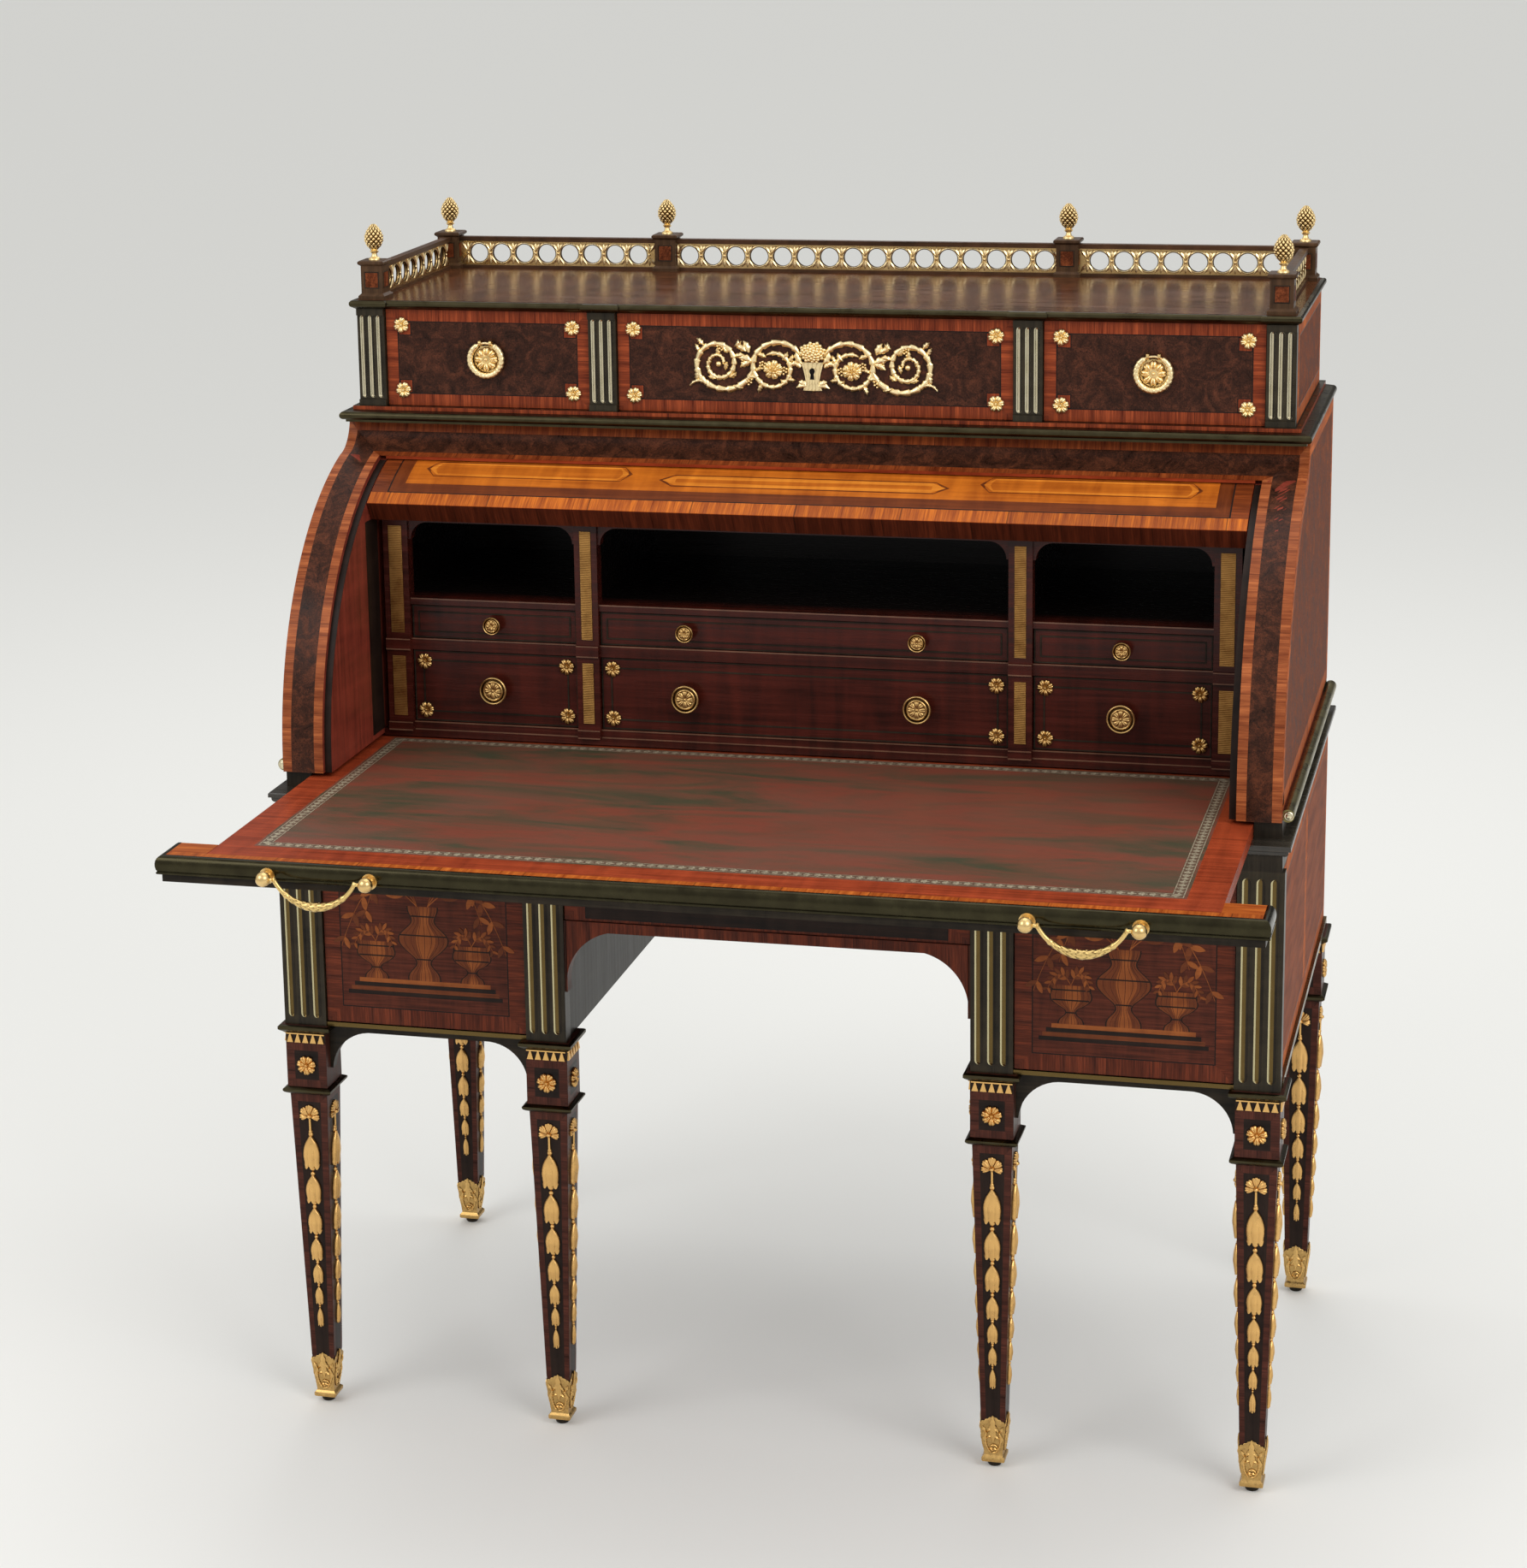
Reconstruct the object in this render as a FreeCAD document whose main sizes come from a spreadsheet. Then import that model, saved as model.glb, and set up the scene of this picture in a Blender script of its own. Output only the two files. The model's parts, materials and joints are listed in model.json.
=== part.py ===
"""Cylinder desk with a drawing-out writing slide.

Millimetres, +Z up, the front of the desk towards -Y.  The origin is on the
floor, midway across the desk and midway between the ball posts of the drawn
slide and the back of the case.
"""
import FreeCAD, Part
import math
import os
import re

from FreeCAD import Vector

DOC = FreeCAD.newDocument("cylinder_desk")

# Driving sizes, in millimetres and degrees.
SIZES = (
    # main heights, from the floor up
    ("leg_height", "474"),
    ("lower_case_height", "276"),
    ("waist_height", "20"),
    ("end_board_height", "360"),
    ("upper_base_height", "18"),
    ("upper_case_height", "114"),
    ("top_thickness", "10"),
    ("post_height", "45"),
    ("finial_height", "42"),
    # plan of the case
    ("case_width", "1132"),
    ("case_depth", "610"),
    ("kneehole_width", "460"),
    ("frieze_rise", "132"),
    ("outer_pilaster_width", "50"),
    ("inner_pilaster_width", "47"),
    ("pilaster_depth", "18"),
    ("side_thickness", "22"),
    ("side_inset", "3"),
    ("kneehole_wall", "18"),
    ("kneehole_wall_setback", "2"),
    ("floor_thickness", "12"),
    ("ceiling_thickness", "10"),
    ("back_thickness", "16"),
    ("bed_thickness", "18"),
    ("cap_thickness", "12"),
    ("cap_projection", "6"),
    ("guide_height", "20"),
    ("bead_height", "5"),
    ("bead_setback", "2"),
    ("side_bead_height", "8"),
    ("side_bead_projection", "4"),
    ("apron_thickness", "18"),
    ("apron_setback", "2"),
    ("apron_depth", "12"),
    ("apron_radius", "48"),
    ("apron_drop", "72"),
    ("spandrel_thickness", "12"),
    ("spandrel_setback", "14"),
    ("spandrel_depth", "10"),
    ("spandrel_radius", "50"),
    ("spandrel_drop", "45"),
    ("spandrel_step", "3"),
    # legs
    ("leg_block", "48"),
    ("leg_block_height", "76"),
    ("leg_top", "44"),
    ("leg_foot", "27"),
    ("capital_height", "10"),
    ("capital_projection", "7"),
    ("collar_height", "9"),
    ("collar_projection", "5"),
    ("sabot_height", "58"),
    ("sabot_lip", "1.5"),
    ("sabot_base", "26"),
    ("sabot_waist", "20.5"),
    ("sabot_base_height", "8"),
    ("button_diameter", "16"),
    ("button_height", "7"),
    # clearances
    ("running_gap", "0.3"),
    ("drawer_gap", "1"),
    ("pin_clearance", "0.05"),
    ("slide_side_gap", "0.5"),
    # writing slide
    ("slide_thickness", "15"),
    ("waist_rail_width", "30"),
    ("slide_length", "508"),
    ("slide_travel", "254"),
    ("rail_overhang", "8"),
    ("rail_depth", "48"),
    ("rail_height", "28"),
    ("nose_depth", "6"),
    ("leather_margin", "38"),
    ("leather_front_margin", "5"),
    ("leather_length", "456"),
    ("leather_thickness", "1.5"),
    # bails on the slide
    ("bail_centre", "398"),
    ("bail_span", "112"),
    ("bail_drop", "30"),
    ("bail_wire", "6.4"),
    ("bail_pin", "4"),
    ("bail_shoulder", "12"),
    ("ball_diameter", "16"),
    ("ball_reach", "14"),
    ("ball_stem", "8"),
    ("ball_rise", "1"),
    ("ball_flange", "17"),
    ("ball_flange_thickness", "2"),
    # cylinder and end boards
    ("axis_setback", "345"),
    ("axis_rise", "10"),
    ("cylinder_radius", "324"),
    ("cylinder_thickness", "14"),
    ("cylinder_rail_thickness", "26"),
    ("cylinder_rail_height", "16"),
    ("cylinder_sweep_angle", "78"),
    ("cylinder_open_angle", "57"),
    ("cylinder_side_gap", "1"),
    ("end_board_thickness", "48"),
    ("end_board_inset", "6"),
    ("end_board_reveal", "6"),
    ("lining_thickness", "8"),
    ("cove_start_angle", "72"),
    ("cove_clearance", "2"),
    ("cove_sag", "6"),
    ("cove_thickness", "40"),
    ("arm_thickness", "5"),
    ("arm_gap", "1"),
    ("arm_rim", "22"),
    ("arm_spoke", "22"),
    ("arm_boss", "20"),
    ("arm_first_angle", "22"),
    ("arm_second_angle", "66"),
    ("pin_diameter", "12"),
    ("pin_depth", "24"),
    ("waist_rail_setback", "24"),
    ("waist_bead_radius", "7"),
    ("waist_bead_set", "5"),
    ("waist_screw_radius", "4"),
    ("waist_screw_height", "1"),
    ("waist_bead_front", "30"),
    ("waist_bead_rise", "4"),
    # pigeonhole interior
    ("interior_setback", "203"),
    ("interior_depth", "300"),
    ("interior_rise", "2"),
    ("interior_margin", "8"),
    ("interior_board", "8"),
    ("interior_notch", "64"),
    ("plinth_height", "11"),
    ("large_drawer_height", "86"),
    ("interior_rail", "14"),
    ("small_drawer_height", "40"),
    ("shelf_thickness", "8"),
    ("pigeonhole_height", "93"),
    ("interior_outer_pilaster", "30"),
    ("interior_inner_pilaster", "27"),
    ("interior_inner_centre", "251.5"),
    ("interior_pilaster_depth", "14"),
    ("interior_pilaster_projection", "4"),
    ("interior_front_setback", "3"),
    ("interior_band", "3"),
    ("arch_radius", "20"),
    ("arch_crown", "3"),
    ("plate_thickness", "1"),
    ("plate_margin", "7"),
    # drawers
    ("front_thickness", "18"),
    ("front_setback", "4"),
    ("drawer_wall", "9"),
    ("drawer_base", "7"),
    ("drawer_headroom", "8"),
    ("drawer_box_inset", "1"),
    ("lower_drawer_depth", "540"),
    ("upper_drawer_depth", "285"),
    ("small_front_thickness", "12"),
    ("small_wall", "6"),
    ("small_base", "5"),
    ("small_headroom", "4"),
    ("interior_drawer_depth", "270"),
    # knobs and pulls
    ("small_knob_diameter", "21"),
    ("small_knob_height", "15"),
    ("large_knob_diameter", "33"),
    ("large_knob_height", "17"),
    ("knob_spread", "135"),
    ("ring_diameter", "46"),
    ("ring_wire", "7.6"),
    ("ring_stand", "7"),
    ("ring_pin", "3.6"),
    ("ring_pin_length", "15"),
    ("ring_lug", "3"),
    ("ring_lug_gap", "0.4"),
    ("ring_lug_reach", "3.4"),
    ("plate_diameter", "31"),
    ("plate_disc", "2.5"),
    ("rosette_diameter", "27"),
    ("rosette_height", "5"),
    ("scroll_width", "290"),
    ("scroll_height", "59"),
    ("scroll_thickness", "4"),
    ("scroll_rod", "5"),
    ("volute_start_angle", "150"),
    ("tendril_start_angle", "198"),
    # upper case
    ("upper_setback", "274"),
    ("upper_back_inset", "15"),
    ("upper_inset", "22"),
    ("upper_pilaster_width", "33"),
    ("upper_inner_centre", "247"),
    ("upper_pilaster_depth", "14"),
    ("upper_side_thickness", "18"),
    ("divider_thickness", "16"),
    ("upper_front_setback", "5"),
    ("pilaster_capital", "8"),
    ("pilaster_plinth", "7"),
    ("capital_reach", "3"),
    ("base_projection", "20"),
    ("cornice_projection", "6"),
    ("cornice_break", "4"),
    # gallery
    ("post_width", "26"),
    ("post_inset", "18"),
    ("post_cap_projection", "3"),
    ("post_cap_height", "6"),
    ("post_foot_height", "7"),
    ("gallery_rail_height", "5.5"),
    ("gallery_sill_height", "4"),
    ("gallery_rail_depth", "10"),
    ("fret_height", "29.5"),
    ("fret_thickness", "3"),
    ("fret_hole", "24.5"),
    ("fret_pitch", "29.2"),
    ("finial_diameter", "23"),
    ("finial_stem", "7"),
    ("finial_flange", "14"),
    # brass flutes
    ("flute_count", "3"),
    ("flute_width_share", "0.19"),
    ("flute_pitch_share", "0.3"),
    ("flute_depth", "2.5"),
    ("flute_wall", "0.7"),
    ("flute_lip", "0.5"),
    ("flute_head_margin", "8"),
    ("flute_foot_margin", "9"),
)

# Places and limits that follow from the driving sizes.
PLACES = (
    ("back_y", "(case_depth + cap_projection + running_gap + slide_travel"
               " + rail_depth + nose_depth + ball_reach + ball_diameter / 2) / 2"),
    ("front_y", "back_y - case_depth"),
    ("half_width", "case_width / 2"),
    ("kneehole_half", "kneehole_width / 2"),
    ("side_outer", "half_width - side_inset"),
    ("side_inner", "side_outer - side_thickness"),
    ("wall_inner", "kneehole_half + kneehole_wall_setback"),
    ("wall_outer", "wall_inner + kneehole_wall"),
    ("bay_low", "kneehole_half + inner_pilaster_width"),
    ("bay_high", "half_width - outer_pilaster_width"),
    ("bed_top", "leg_height + lower_case_height"),
    ("cap_bottom", "bed_top - cap_thickness"),
    ("bed_bottom", "cap_bottom - bed_thickness"),
    ("floor_top", "leg_height + floor_thickness"),
    ("board_front", "front_y + pilaster_depth"),
    ("back_face", "back_y - back_thickness"),
    ("kneehole_height", "leg_height + frieze_rise"),
    ("ceiling_top", "kneehole_height + apron_depth"),
    ("ceiling_bottom", "ceiling_top - ceiling_thickness"),
    ("drawer_face", "front_y + front_setback"),
    ("drawer_back", "drawer_face + front_thickness"),
    ("end_bottom", "bed_top + waist_height"),
    ("end_top", "end_bottom + end_board_height"),
    ("base_top", "end_top + upper_base_height"),
    ("upper_top", "base_top + upper_case_height"),
    ("top_z", "upper_top + top_thickness"),
    ("post_top", "top_z + post_height"),
    ("axis_y", "front_y + axis_setback"),
    ("axis_z", "end_bottom + axis_rise"),
    ("end_outer", "half_width - end_board_inset"),
    ("end_step", "end_outer - end_board_thickness"),
    ("end_inner", "end_step - lining_thickness"),
    ("slide_bottom", "bed_top + running_gap"),
    ("slide_top", "slide_bottom + slide_thickness"),
    ("slide_half", "end_outer - waist_rail_width - slide_side_gap"),
    ("rail_half", "half_width + rail_overhang"),
    ("rail_back", "front_y - cap_projection - running_gap - slide_travel"),
    ("rail_front", "rail_back - rail_depth"),
    ("nose_y", "rail_front - nose_depth"),
    ("rail_bottom", "slide_top - rail_height"),
    ("ball_y", "nose_y - ball_reach"),
    ("ball_z", "slide_top - rail_height / 2 + ball_rise"),
    ("waist_inner", "slide_half + slide_side_gap"),
    ("interior_front", "front_y + interior_setback"),
    ("interior_back", "interior_front + interior_depth"),
    ("interior_half", "end_inner - interior_margin"),
    ("interior_bottom", "slide_top + interior_rise"),
    ("interior_floor", "interior_bottom + interior_board"),
    ("large_low", "interior_floor + plinth_height"),
    ("large_high", "large_low + large_drawer_height"),
    ("small_low", "large_high + interior_rail"),
    ("small_high", "small_low + small_drawer_height"),
    ("hole_low", "small_high + shelf_thickness"),
    ("hole_high", "hole_low + pigeonhole_height"),
    ("interior_top", "hole_high + interior_board"),
    ("inner_bay_low", "interior_inner_centre + interior_inner_pilaster / 2"),
    ("inner_bay_high", "interior_half - interior_outer_pilaster"),
    ("centre_bay", "interior_inner_centre - interior_inner_pilaster / 2"),
    ("interior_face", "interior_front + interior_front_setback"),
    ("upper_front", "front_y + upper_setback"),
    ("upper_back", "back_y - upper_back_inset"),
    ("upper_half", "half_width - upper_inset"),
    ("upper_bay_low", "upper_inner_centre + upper_pilaster_width / 2"),
    ("upper_bay_high", "upper_half - upper_pilaster_width"),
    ("upper_centre_bay", "upper_inner_centre - upper_pilaster_width / 2"),
    ("upper_board_front", "upper_front + upper_pilaster_depth"),
    ("upper_back_face", "upper_back - back_thickness"),
    ("upper_face", "upper_front + upper_front_setback"),
    ("post_x", "upper_half - post_inset"),
    ("post_front", "upper_front + post_inset"),
    ("post_back", "upper_back - post_inset"),
    ("fret_low", "top_z + gallery_sill_height"),
    ("fret_high", "fret_low + fret_height"),
    ("gallery_top", "fret_high + gallery_rail_height"),
    ("front_leg_y", "front_y + leg_block / 2"),
    ("back_leg_y", "back_y - leg_block / 2 - capital_projection"),
    ("outer_leg_x", "half_width - leg_block / 2"),
    ("inner_leg_x", "kneehole_half + leg_block / 2"),
)

NAMED = {}


def sheet(name, rows, formula):
    """A spreadsheet whose aliased cells hold sizes, or sums of them."""
    table = DOC.addObject("Spreadsheet::Sheet", name)
    for row, (alias, text) in enumerate(rows, start=1):
        cell = "B%d" % row
        table.set("A%d" % row, alias)
        table.setAlias(cell, alias)
        NAMED[alias] = name
        table.set(cell, "=" + bind(text, name) if formula else text)
    return table


def bind(text, home=""):
    """Prefix each named size in a sum with the sheet that holds it."""
    def place(match):
        word = match.group(0)
        owner = NAMED.get(word, home)
        return word if owner == home else owner + "." + word
    return re.sub(r"[a-z][a-z_]+[a-z]", place, text)


DIMS = sheet("dims", SIZES, False)
SPOTS = sheet("places", PLACES, True)
DOC.recompute()


def size(alias):
    """The number behind one name, from whichever sheet holds it."""
    return float((DIMS if NAMED[alias] == "dims" else SPOTS).get(alias))


NODES = []


def keep(item):
    """Mark a document object as a sub-part that gets a file of its own."""
    NODES.append(item)
    return item


# Boards: boxes bound to the sheets.

def board(label, x, y, z):
    """A rectangular board between three pairs of named limits."""
    box = DOC.addObject("Part::Box", label)
    box.Label = label
    for side, axis, (low, high) in zip(("Length", "Width", "Height"), "xyz", (x, y, z)):
        box.setExpression(side, bind("(%s) - (%s)" % (high, low)))
        box.setExpression("Placement.Base." + axis, bind(low))
    return box


def mirrored(limits):
    """The same limits on the other side of the desk's middle."""
    return "-(%s)" % limits[1], "-(%s)" % limits[0]


def pair(label, x, y, z):
    """Two boards, one on each side of the desk's middle."""
    return [board(label + "_right", x, y, z), board(label + "_left", mirrored(x), y, z)]


def middle(half):
    """Limits that run the same way to both sides of the middle."""
    return "-(%s)" % half, half


def group(label, members):
    """Separate solids that share one node."""
    item = DOC.addObject("Part::Compound", label)
    item.Label = label
    item.Links = members
    return item


def cut(label, base, tool):
    """One solid less another."""
    item = DOC.addObject("Part::Cut", label)
    item.Label = label
    item.Base, item.Tool = base, tool
    return item


def feature(label, shape):
    """A sub-part whose outline comes from a formula."""
    item = DOC.addObject("Part::Feature", label)
    item.Label = label
    item.Shape = shape
    return item


# Outlines: faces drawn in one plane from lines and three-point arcs.

PLANES = {
    "yz": lambda a, b: Vector(0, a, b),
    "xz": lambda a, b: Vector(a, 0, b),
    "xy": lambda a, b: Vector(a, b, 0),
}


def outline(plane, start, *steps):
    """A closed face; a step is an end point, or a mid point and an end point."""
    at = PLANES[plane]
    edges, here = [], start
    for step in steps + (start,):
        if isinstance(step[0], tuple):
            middle_point, end = step
            edges.append(Part.Arc(at(*here), at(*middle_point), at(*end)).toShape())
        else:
            end = step
            if at(*end).distanceToPoint(at(*here)) > size("pin_clearance"):
                edges.append(Part.LineSegment(at(*here), at(*end)).toShape())
        here = end
    return Part.Face(Part.Wire(edges))


def prism(face, direction, low, high):
    """A face drawn at zero, pushed from one place to another along an axis."""
    face = face.copy()
    face.translate(direction * low)
    return face.extrude(direction * (high - low))


X_AXIS, Y_AXIS, Z_AXIS = Vector(1, 0, 0), Vector(0, 1, 0), Vector(0, 0, 1)


def polar(radius, angle):
    """A point of the cylinder's section, from its axis; zero points forward."""
    turn = math.radians(angle)
    return (size("axis_y") - radius * math.cos(turn), size("axis_z") + radius * math.sin(turn))


def sector(inner, outer, low, high):
    """A ring sector about the cylinder's axis."""
    half = (low + high) / 2
    return outline("yz", polar(inner, low), polar(outer, low),
                   (polar(outer, half), polar(outer, high)), polar(inner, high),
                   (polar(inner, half), polar(inner, low)))


def moulded_slab(half, front, back, low, profile):
    """A board moulded alike along its front and both ends, mitred at the corners.

    The profile starts at the bottom; each step is (projection, rise) or a
    mid point and an end point of that kind.
    """
    def along(sign, origin):
        def turn(step):
            if isinstance(step[0], tuple):
                return tuple(turn(point) for point in step)
            return origin + sign * step[0], low + step[1]
        return tuple(turn(step) for step in profile)

    faces = along(-1, front)
    first, last = faces[0], faces[-1][1] if isinstance(faces[-1][0], tuple) else faces[-1]
    front_face = outline("yz", (back, first[1]), *(faces + ((back, last[1]),)))
    reach = half + max(step[0] if not isinstance(step[0], tuple) else max(step[0][0], step[1][0])
                       for step in profile)
    body = prism(front_face, X_AXIS, -reach, reach)
    ends = along(1, half)
    end_face = outline("xz", (0, first[1]), *(ends + ((0, last[1]),)))
    depth = prism(end_face, Y_AXIS, front - reach, back)
    return body.common(depth.fuse(depth.mirror(Vector(0, 0, 0), X_AXIS)).removeSplitter())


def square(half, x, y, z):
    """A square outline at one height."""
    corners = [Vector(x + a * half, y + b * half, z)
               for a, b in ((-1, -1), (1, -1), (1, 1), (-1, 1), (-1, -1))]
    return Part.makePolygon(corners)


def square_turned(x, y, sections):
    """A square pillar whose half width follows (half, height) sections."""
    return Part.makeLoft([square(half, x, y, z) for half, z in sections], True, True)


def turned(face, centre, direction):
    """A face spun right round an axis."""
    return face.revolve(centre, direction, 360)


def dome(radius, base, rise):
    """Mid point and tip of a round cap that faces forward from a base."""
    ball = (radius ** 2 + rise ** 2) / (2 * rise)
    half = math.asin(radius / ball) / 2
    return (ball * math.sin(half), base - rise + ball * (1 - math.cos(half))), (0, base - rise)


def spots(*columns):
    """Every pairing of left and right for the given distances from the middle."""
    return [sign * column for column in columns for sign in (-1, 1)]


# Legs and feet.

def leg(x, y):
    """A tapered leg with its collar, square block and moulded capital."""
    top, block = size("leg_height"), size("leg_block") / 2
    foot, shoulder = size("leg_foot") / 2, size("leg_top") / 2
    collar, collar_out = size("collar_height"), size("collar_projection")
    capital, capital_out = size("capital_height"), size("capital_projection")
    block_low = top - size("leg_block_height")
    return square_turned(x, y, (
        (foot, size("sabot_height")),
        (shoulder, block_low - collar),
        (block + collar_out / 2, block_low - collar + collar / 4),
        (block + collar_out, block_low - collar / 2),
        (block + collar_out, block_low - collar / 4),
        (block, block_low),
        (block, top - capital),
        (block + capital_out / 2, top - capital + capital / 4),
        (block + capital_out, top - capital / 2),
        (block + capital_out, top - capital / 5),
        (block + capital_out / 2, top),
    ))


def sabot(x, y):
    """A brass shoe under a leg, on a round foot button."""
    lip = size("leg_foot") / 2 + size("sabot_lip")
    base, low = size("sabot_base") / 2, size("button_height")
    step = size("sabot_base_height")
    high = size("sabot_height")
    shoe = square_turned(x, y, (
        (base - size("sabot_lip"), low),
        (base, low + step / 4),
        (base, low + step * 3 / 4),
        (size("sabot_waist") / 2, low + step),
        (lip, high),
    ))
    button = Part.makeCylinder(size("button_diameter") / 2, low, Vector(x, y, 0))
    return shoe.fuse(button)


def legs():
    """Four legs in front, two behind, each in a brass shoe."""
    front = [(x, size("front_leg_y")) for x in spots(size("outer_leg_x"), size("inner_leg_x"))]
    back = [(x, size("back_leg_y")) for x in spots(size("outer_leg_x"))]
    keep(feature("front_legs", Part.makeCompound([leg(*spot) for spot in front])))
    keep(feature("back_legs", Part.makeCompound([leg(*spot) for spot in back])))
    keep(feature("sabots", Part.makeCompound([sabot(*spot) for spot in front + back])))


def arched(low, high, top, crown, radius, drop, step):
    """The face of a strip whose underside is an arch with rounded haunches."""
    share = 1 - math.cos(math.radians(45))
    inward, down, foot = radius * share, drop * share, crown - drop
    return outline(
        "xz", (low, top), (low, foot), (low + step, foot),
        ((low + step + inward, crown - down), (low + step + radius, crown)),
        (high - step - radius, crown),
        ((high - step - inward, crown - down), (high - step, foot)),
        (high, foot), (high, top))


def aprons():
    """Arched strips under the drawers and over the kneehole."""
    low, high = size("inner_leg_x") + size("leg_block") / 2, size("outer_leg_x") - size("leg_block") / 2
    top = size("leg_height")
    crown = top - size("spandrel_depth")
    face = arched(low, high, top, crown, size("spandrel_radius"), size("spandrel_drop"),
                  size("spandrel_step"))
    front = size("front_y") + size("spandrel_setback")
    posts = [leg(x, size("front_leg_y")) for x in (size("inner_leg_x"), size("outer_leg_x"))]
    strip = prism(face, Y_AXIS, front, front + size("spandrel_thickness")).cut(posts)
    keep(feature("leg_spandrels", Part.makeCompound(
        [strip, strip.mirror(Vector(0, 0, 0), X_AXIS)])))

    half, crown = size("kneehole_half"), size("kneehole_height")
    face = arched(-half, half, size("ceiling_top"), crown, size("apron_radius"), size("apron_drop"),
                  size("spandrel_step"))
    front = size("front_y") + size("apron_setback")
    keep(feature("kneehole_apron", prism(face, Y_AXIS, front, front + size("apron_thickness"))))


# Lower case.

def lower_case():
    """Boards of the two pedestals and the kneehole between them."""
    full = ("leg_height", "bed_bottom")
    bay = ("wall_outer", "side_inner")
    keep(group("pedestal_sides",
               pair("lower_side", ("side_inner", "side_outer"), ("board_front", "back_y"), full)
               + pair("kneehole_side", ("wall_inner", "wall_outer"), ("board_front", "back_y"), full)))
    inside = ("drawer_back + drawer_gap", "back_face")
    guide = ("floor_top", "floor_top + guide_height")
    keep(group("case_floors",
               pair("pedestal_floor", bay, inside, ("leg_height", "floor_top"))
               + pair("inner_guide", ("wall_outer", "bay_low + drawer_gap + drawer_box_inset - running_gap"),
                      inside, guide)
               + pair("outer_guide", ("bay_high - drawer_gap - drawer_box_inset + running_gap", "side_inner"),
                      inside, guide)
               + [board("kneehole_ceiling", middle("wall_inner"),
                        ("front_y + apron_setback + apron_thickness", "back_face"),
                        ("ceiling_bottom", "ceiling_top"))]))
    keep(group("drawer_beads", pair(
        "drawer_bead", ("bay_low", "bay_high"), ("front_y + bead_setback", "drawer_back"),
        ("leg_height", "leg_height + bead_height")) + pair(
        "side_bead", ("side_outer", "side_outer + side_bead_projection"), ("board_front", "back_y"),
        ("leg_height", "leg_height + side_bead_height"))))
    keep(board("slide_bed", middle("side_outer"), ("front_y", "back_y"), ("bed_bottom", "cap_bottom")))
    thick, out = size("cap_thickness"), size("cap_projection")
    keep(feature("case_cap", moulded_slab(
        size("half_width"), size("front_y"), size("back_y"), size("cap_bottom"),
        ((0, 0), ((out * 0.45, thick * 0.22), (out / 2, thick / 2)), (out, thick * 0.55),
         (out, thick * 0.9), (out * 0.85, thick)))))


def back_panels():
    """Plain boards that close the back of each part of the desk."""
    keep(group("back_panels",
               pair("pedestal_back", ("wall_outer", "side_inner"), ("back_face", "back_y"),
                    ("leg_height", "bed_bottom"))
               + [board("frieze_back", middle("wall_inner"), ("back_face", "back_y"),
                        ("ceiling_bottom", "bed_bottom")),
                  board("cylinder_back", middle("end_inner"), ("back_face", "back_y"),
                        ("bed_top", "end_top")),
                  board("upper_back_board", middle("upper_half - upper_side_thickness"),
                        ("upper_back_face", "upper_back"), ("base_top", "upper_top"))]))


# End boards, cylinder and their pivots.

def hollow(radius):
    """The cove of the front edge: where it leaves the round, its middle and its head."""
    neck = polar(radius, size("cove_start_angle"))
    head = (size("upper_front") + size("end_board_reveal"), size("end_top"))
    sag = size("cove_sag")
    return neck, ((neck[0] + head[0]) / 2 + sag, (neck[1] + head[1]) / 2 - sag), head


def end_board_face(radius):
    """Side view of an end board: quarter round in front, hollowed under the upper case."""
    front, low = size("axis_y") - radius, size("end_bottom")
    neck, dip, head = hollow(radius)
    return outline("yz", (front, low), (front, size("axis_z")),
                   (polar(radius, size("cove_start_angle") / 2), neck), (dip, head),
                   (size("back_y"), size("end_top")), (size("back_y"), low))


def end_boards():
    """Both end boards with their thinner lining and the bore for a pivot pin."""
    radius = size("cylinder_radius") + size("end_board_reveal")
    outer = prism(end_board_face(radius), X_AXIS, size("end_step"), size("end_outer"))
    lining = prism(end_board_face(size("cylinder_radius")), X_AXIS, size("end_inner"), size("end_step"))
    bore = Part.makeCylinder(size("pin_diameter") / 2, size("pin_depth"),
                             Vector(size("end_inner"), size("axis_y"), size("axis_z")), X_AXIS)
    end = outer.fuse(lining).cut(bore)
    keep(feature("end_boards", Part.makeCompound([end, end.mirror(Vector(0, 0, 0), X_AXIS)])))

    reach = size("arm_gap") + size("arm_thickness") + size("arm_gap")
    pin = Part.makeCylinder(size("pin_diameter") / 2, size("pin_depth") + reach,
                            Vector(size("end_inner") - reach, size("axis_y"), size("axis_z")), X_AXIS)
    keep(feature("pivot_pins", Part.makeCompound([pin, pin.mirror(Vector(0, 0, 0), X_AXIS)])))

    keep(group("waist_rails", pair(
        "waist_rail", ("waist_inner", "end_outer"), ("front_y + waist_rail_setback", "back_y"),
        ("bed_top", "end_bottom"))))
    bead = size("waist_bead_radius")
    height = size("end_bottom") + size("waist_bead_rise")
    side = size("end_outer")
    centre = side + size("waist_bead_set")
    chord = math.sqrt(bead ** 2 - size("waist_bead_set") ** 2)
    round_bar = outline("xz", (side, height - chord), ((centre + bead, height), (side, height + chord)))
    front = size("front_y") + size("waist_bead_front")
    screw = Part.makeCylinder(size("waist_screw_radius"), size("waist_screw_height"),
                              Vector(centre, front, height), -Y_AXIS)
    strip = prism(round_bar, Y_AXIS, front, size("back_y")).fuse(screw)
    keep(feature("waist_mouldings", Part.makeCompound(
        [strip, strip.mirror(Vector(0, 0, 0), X_AXIS)])))


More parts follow.
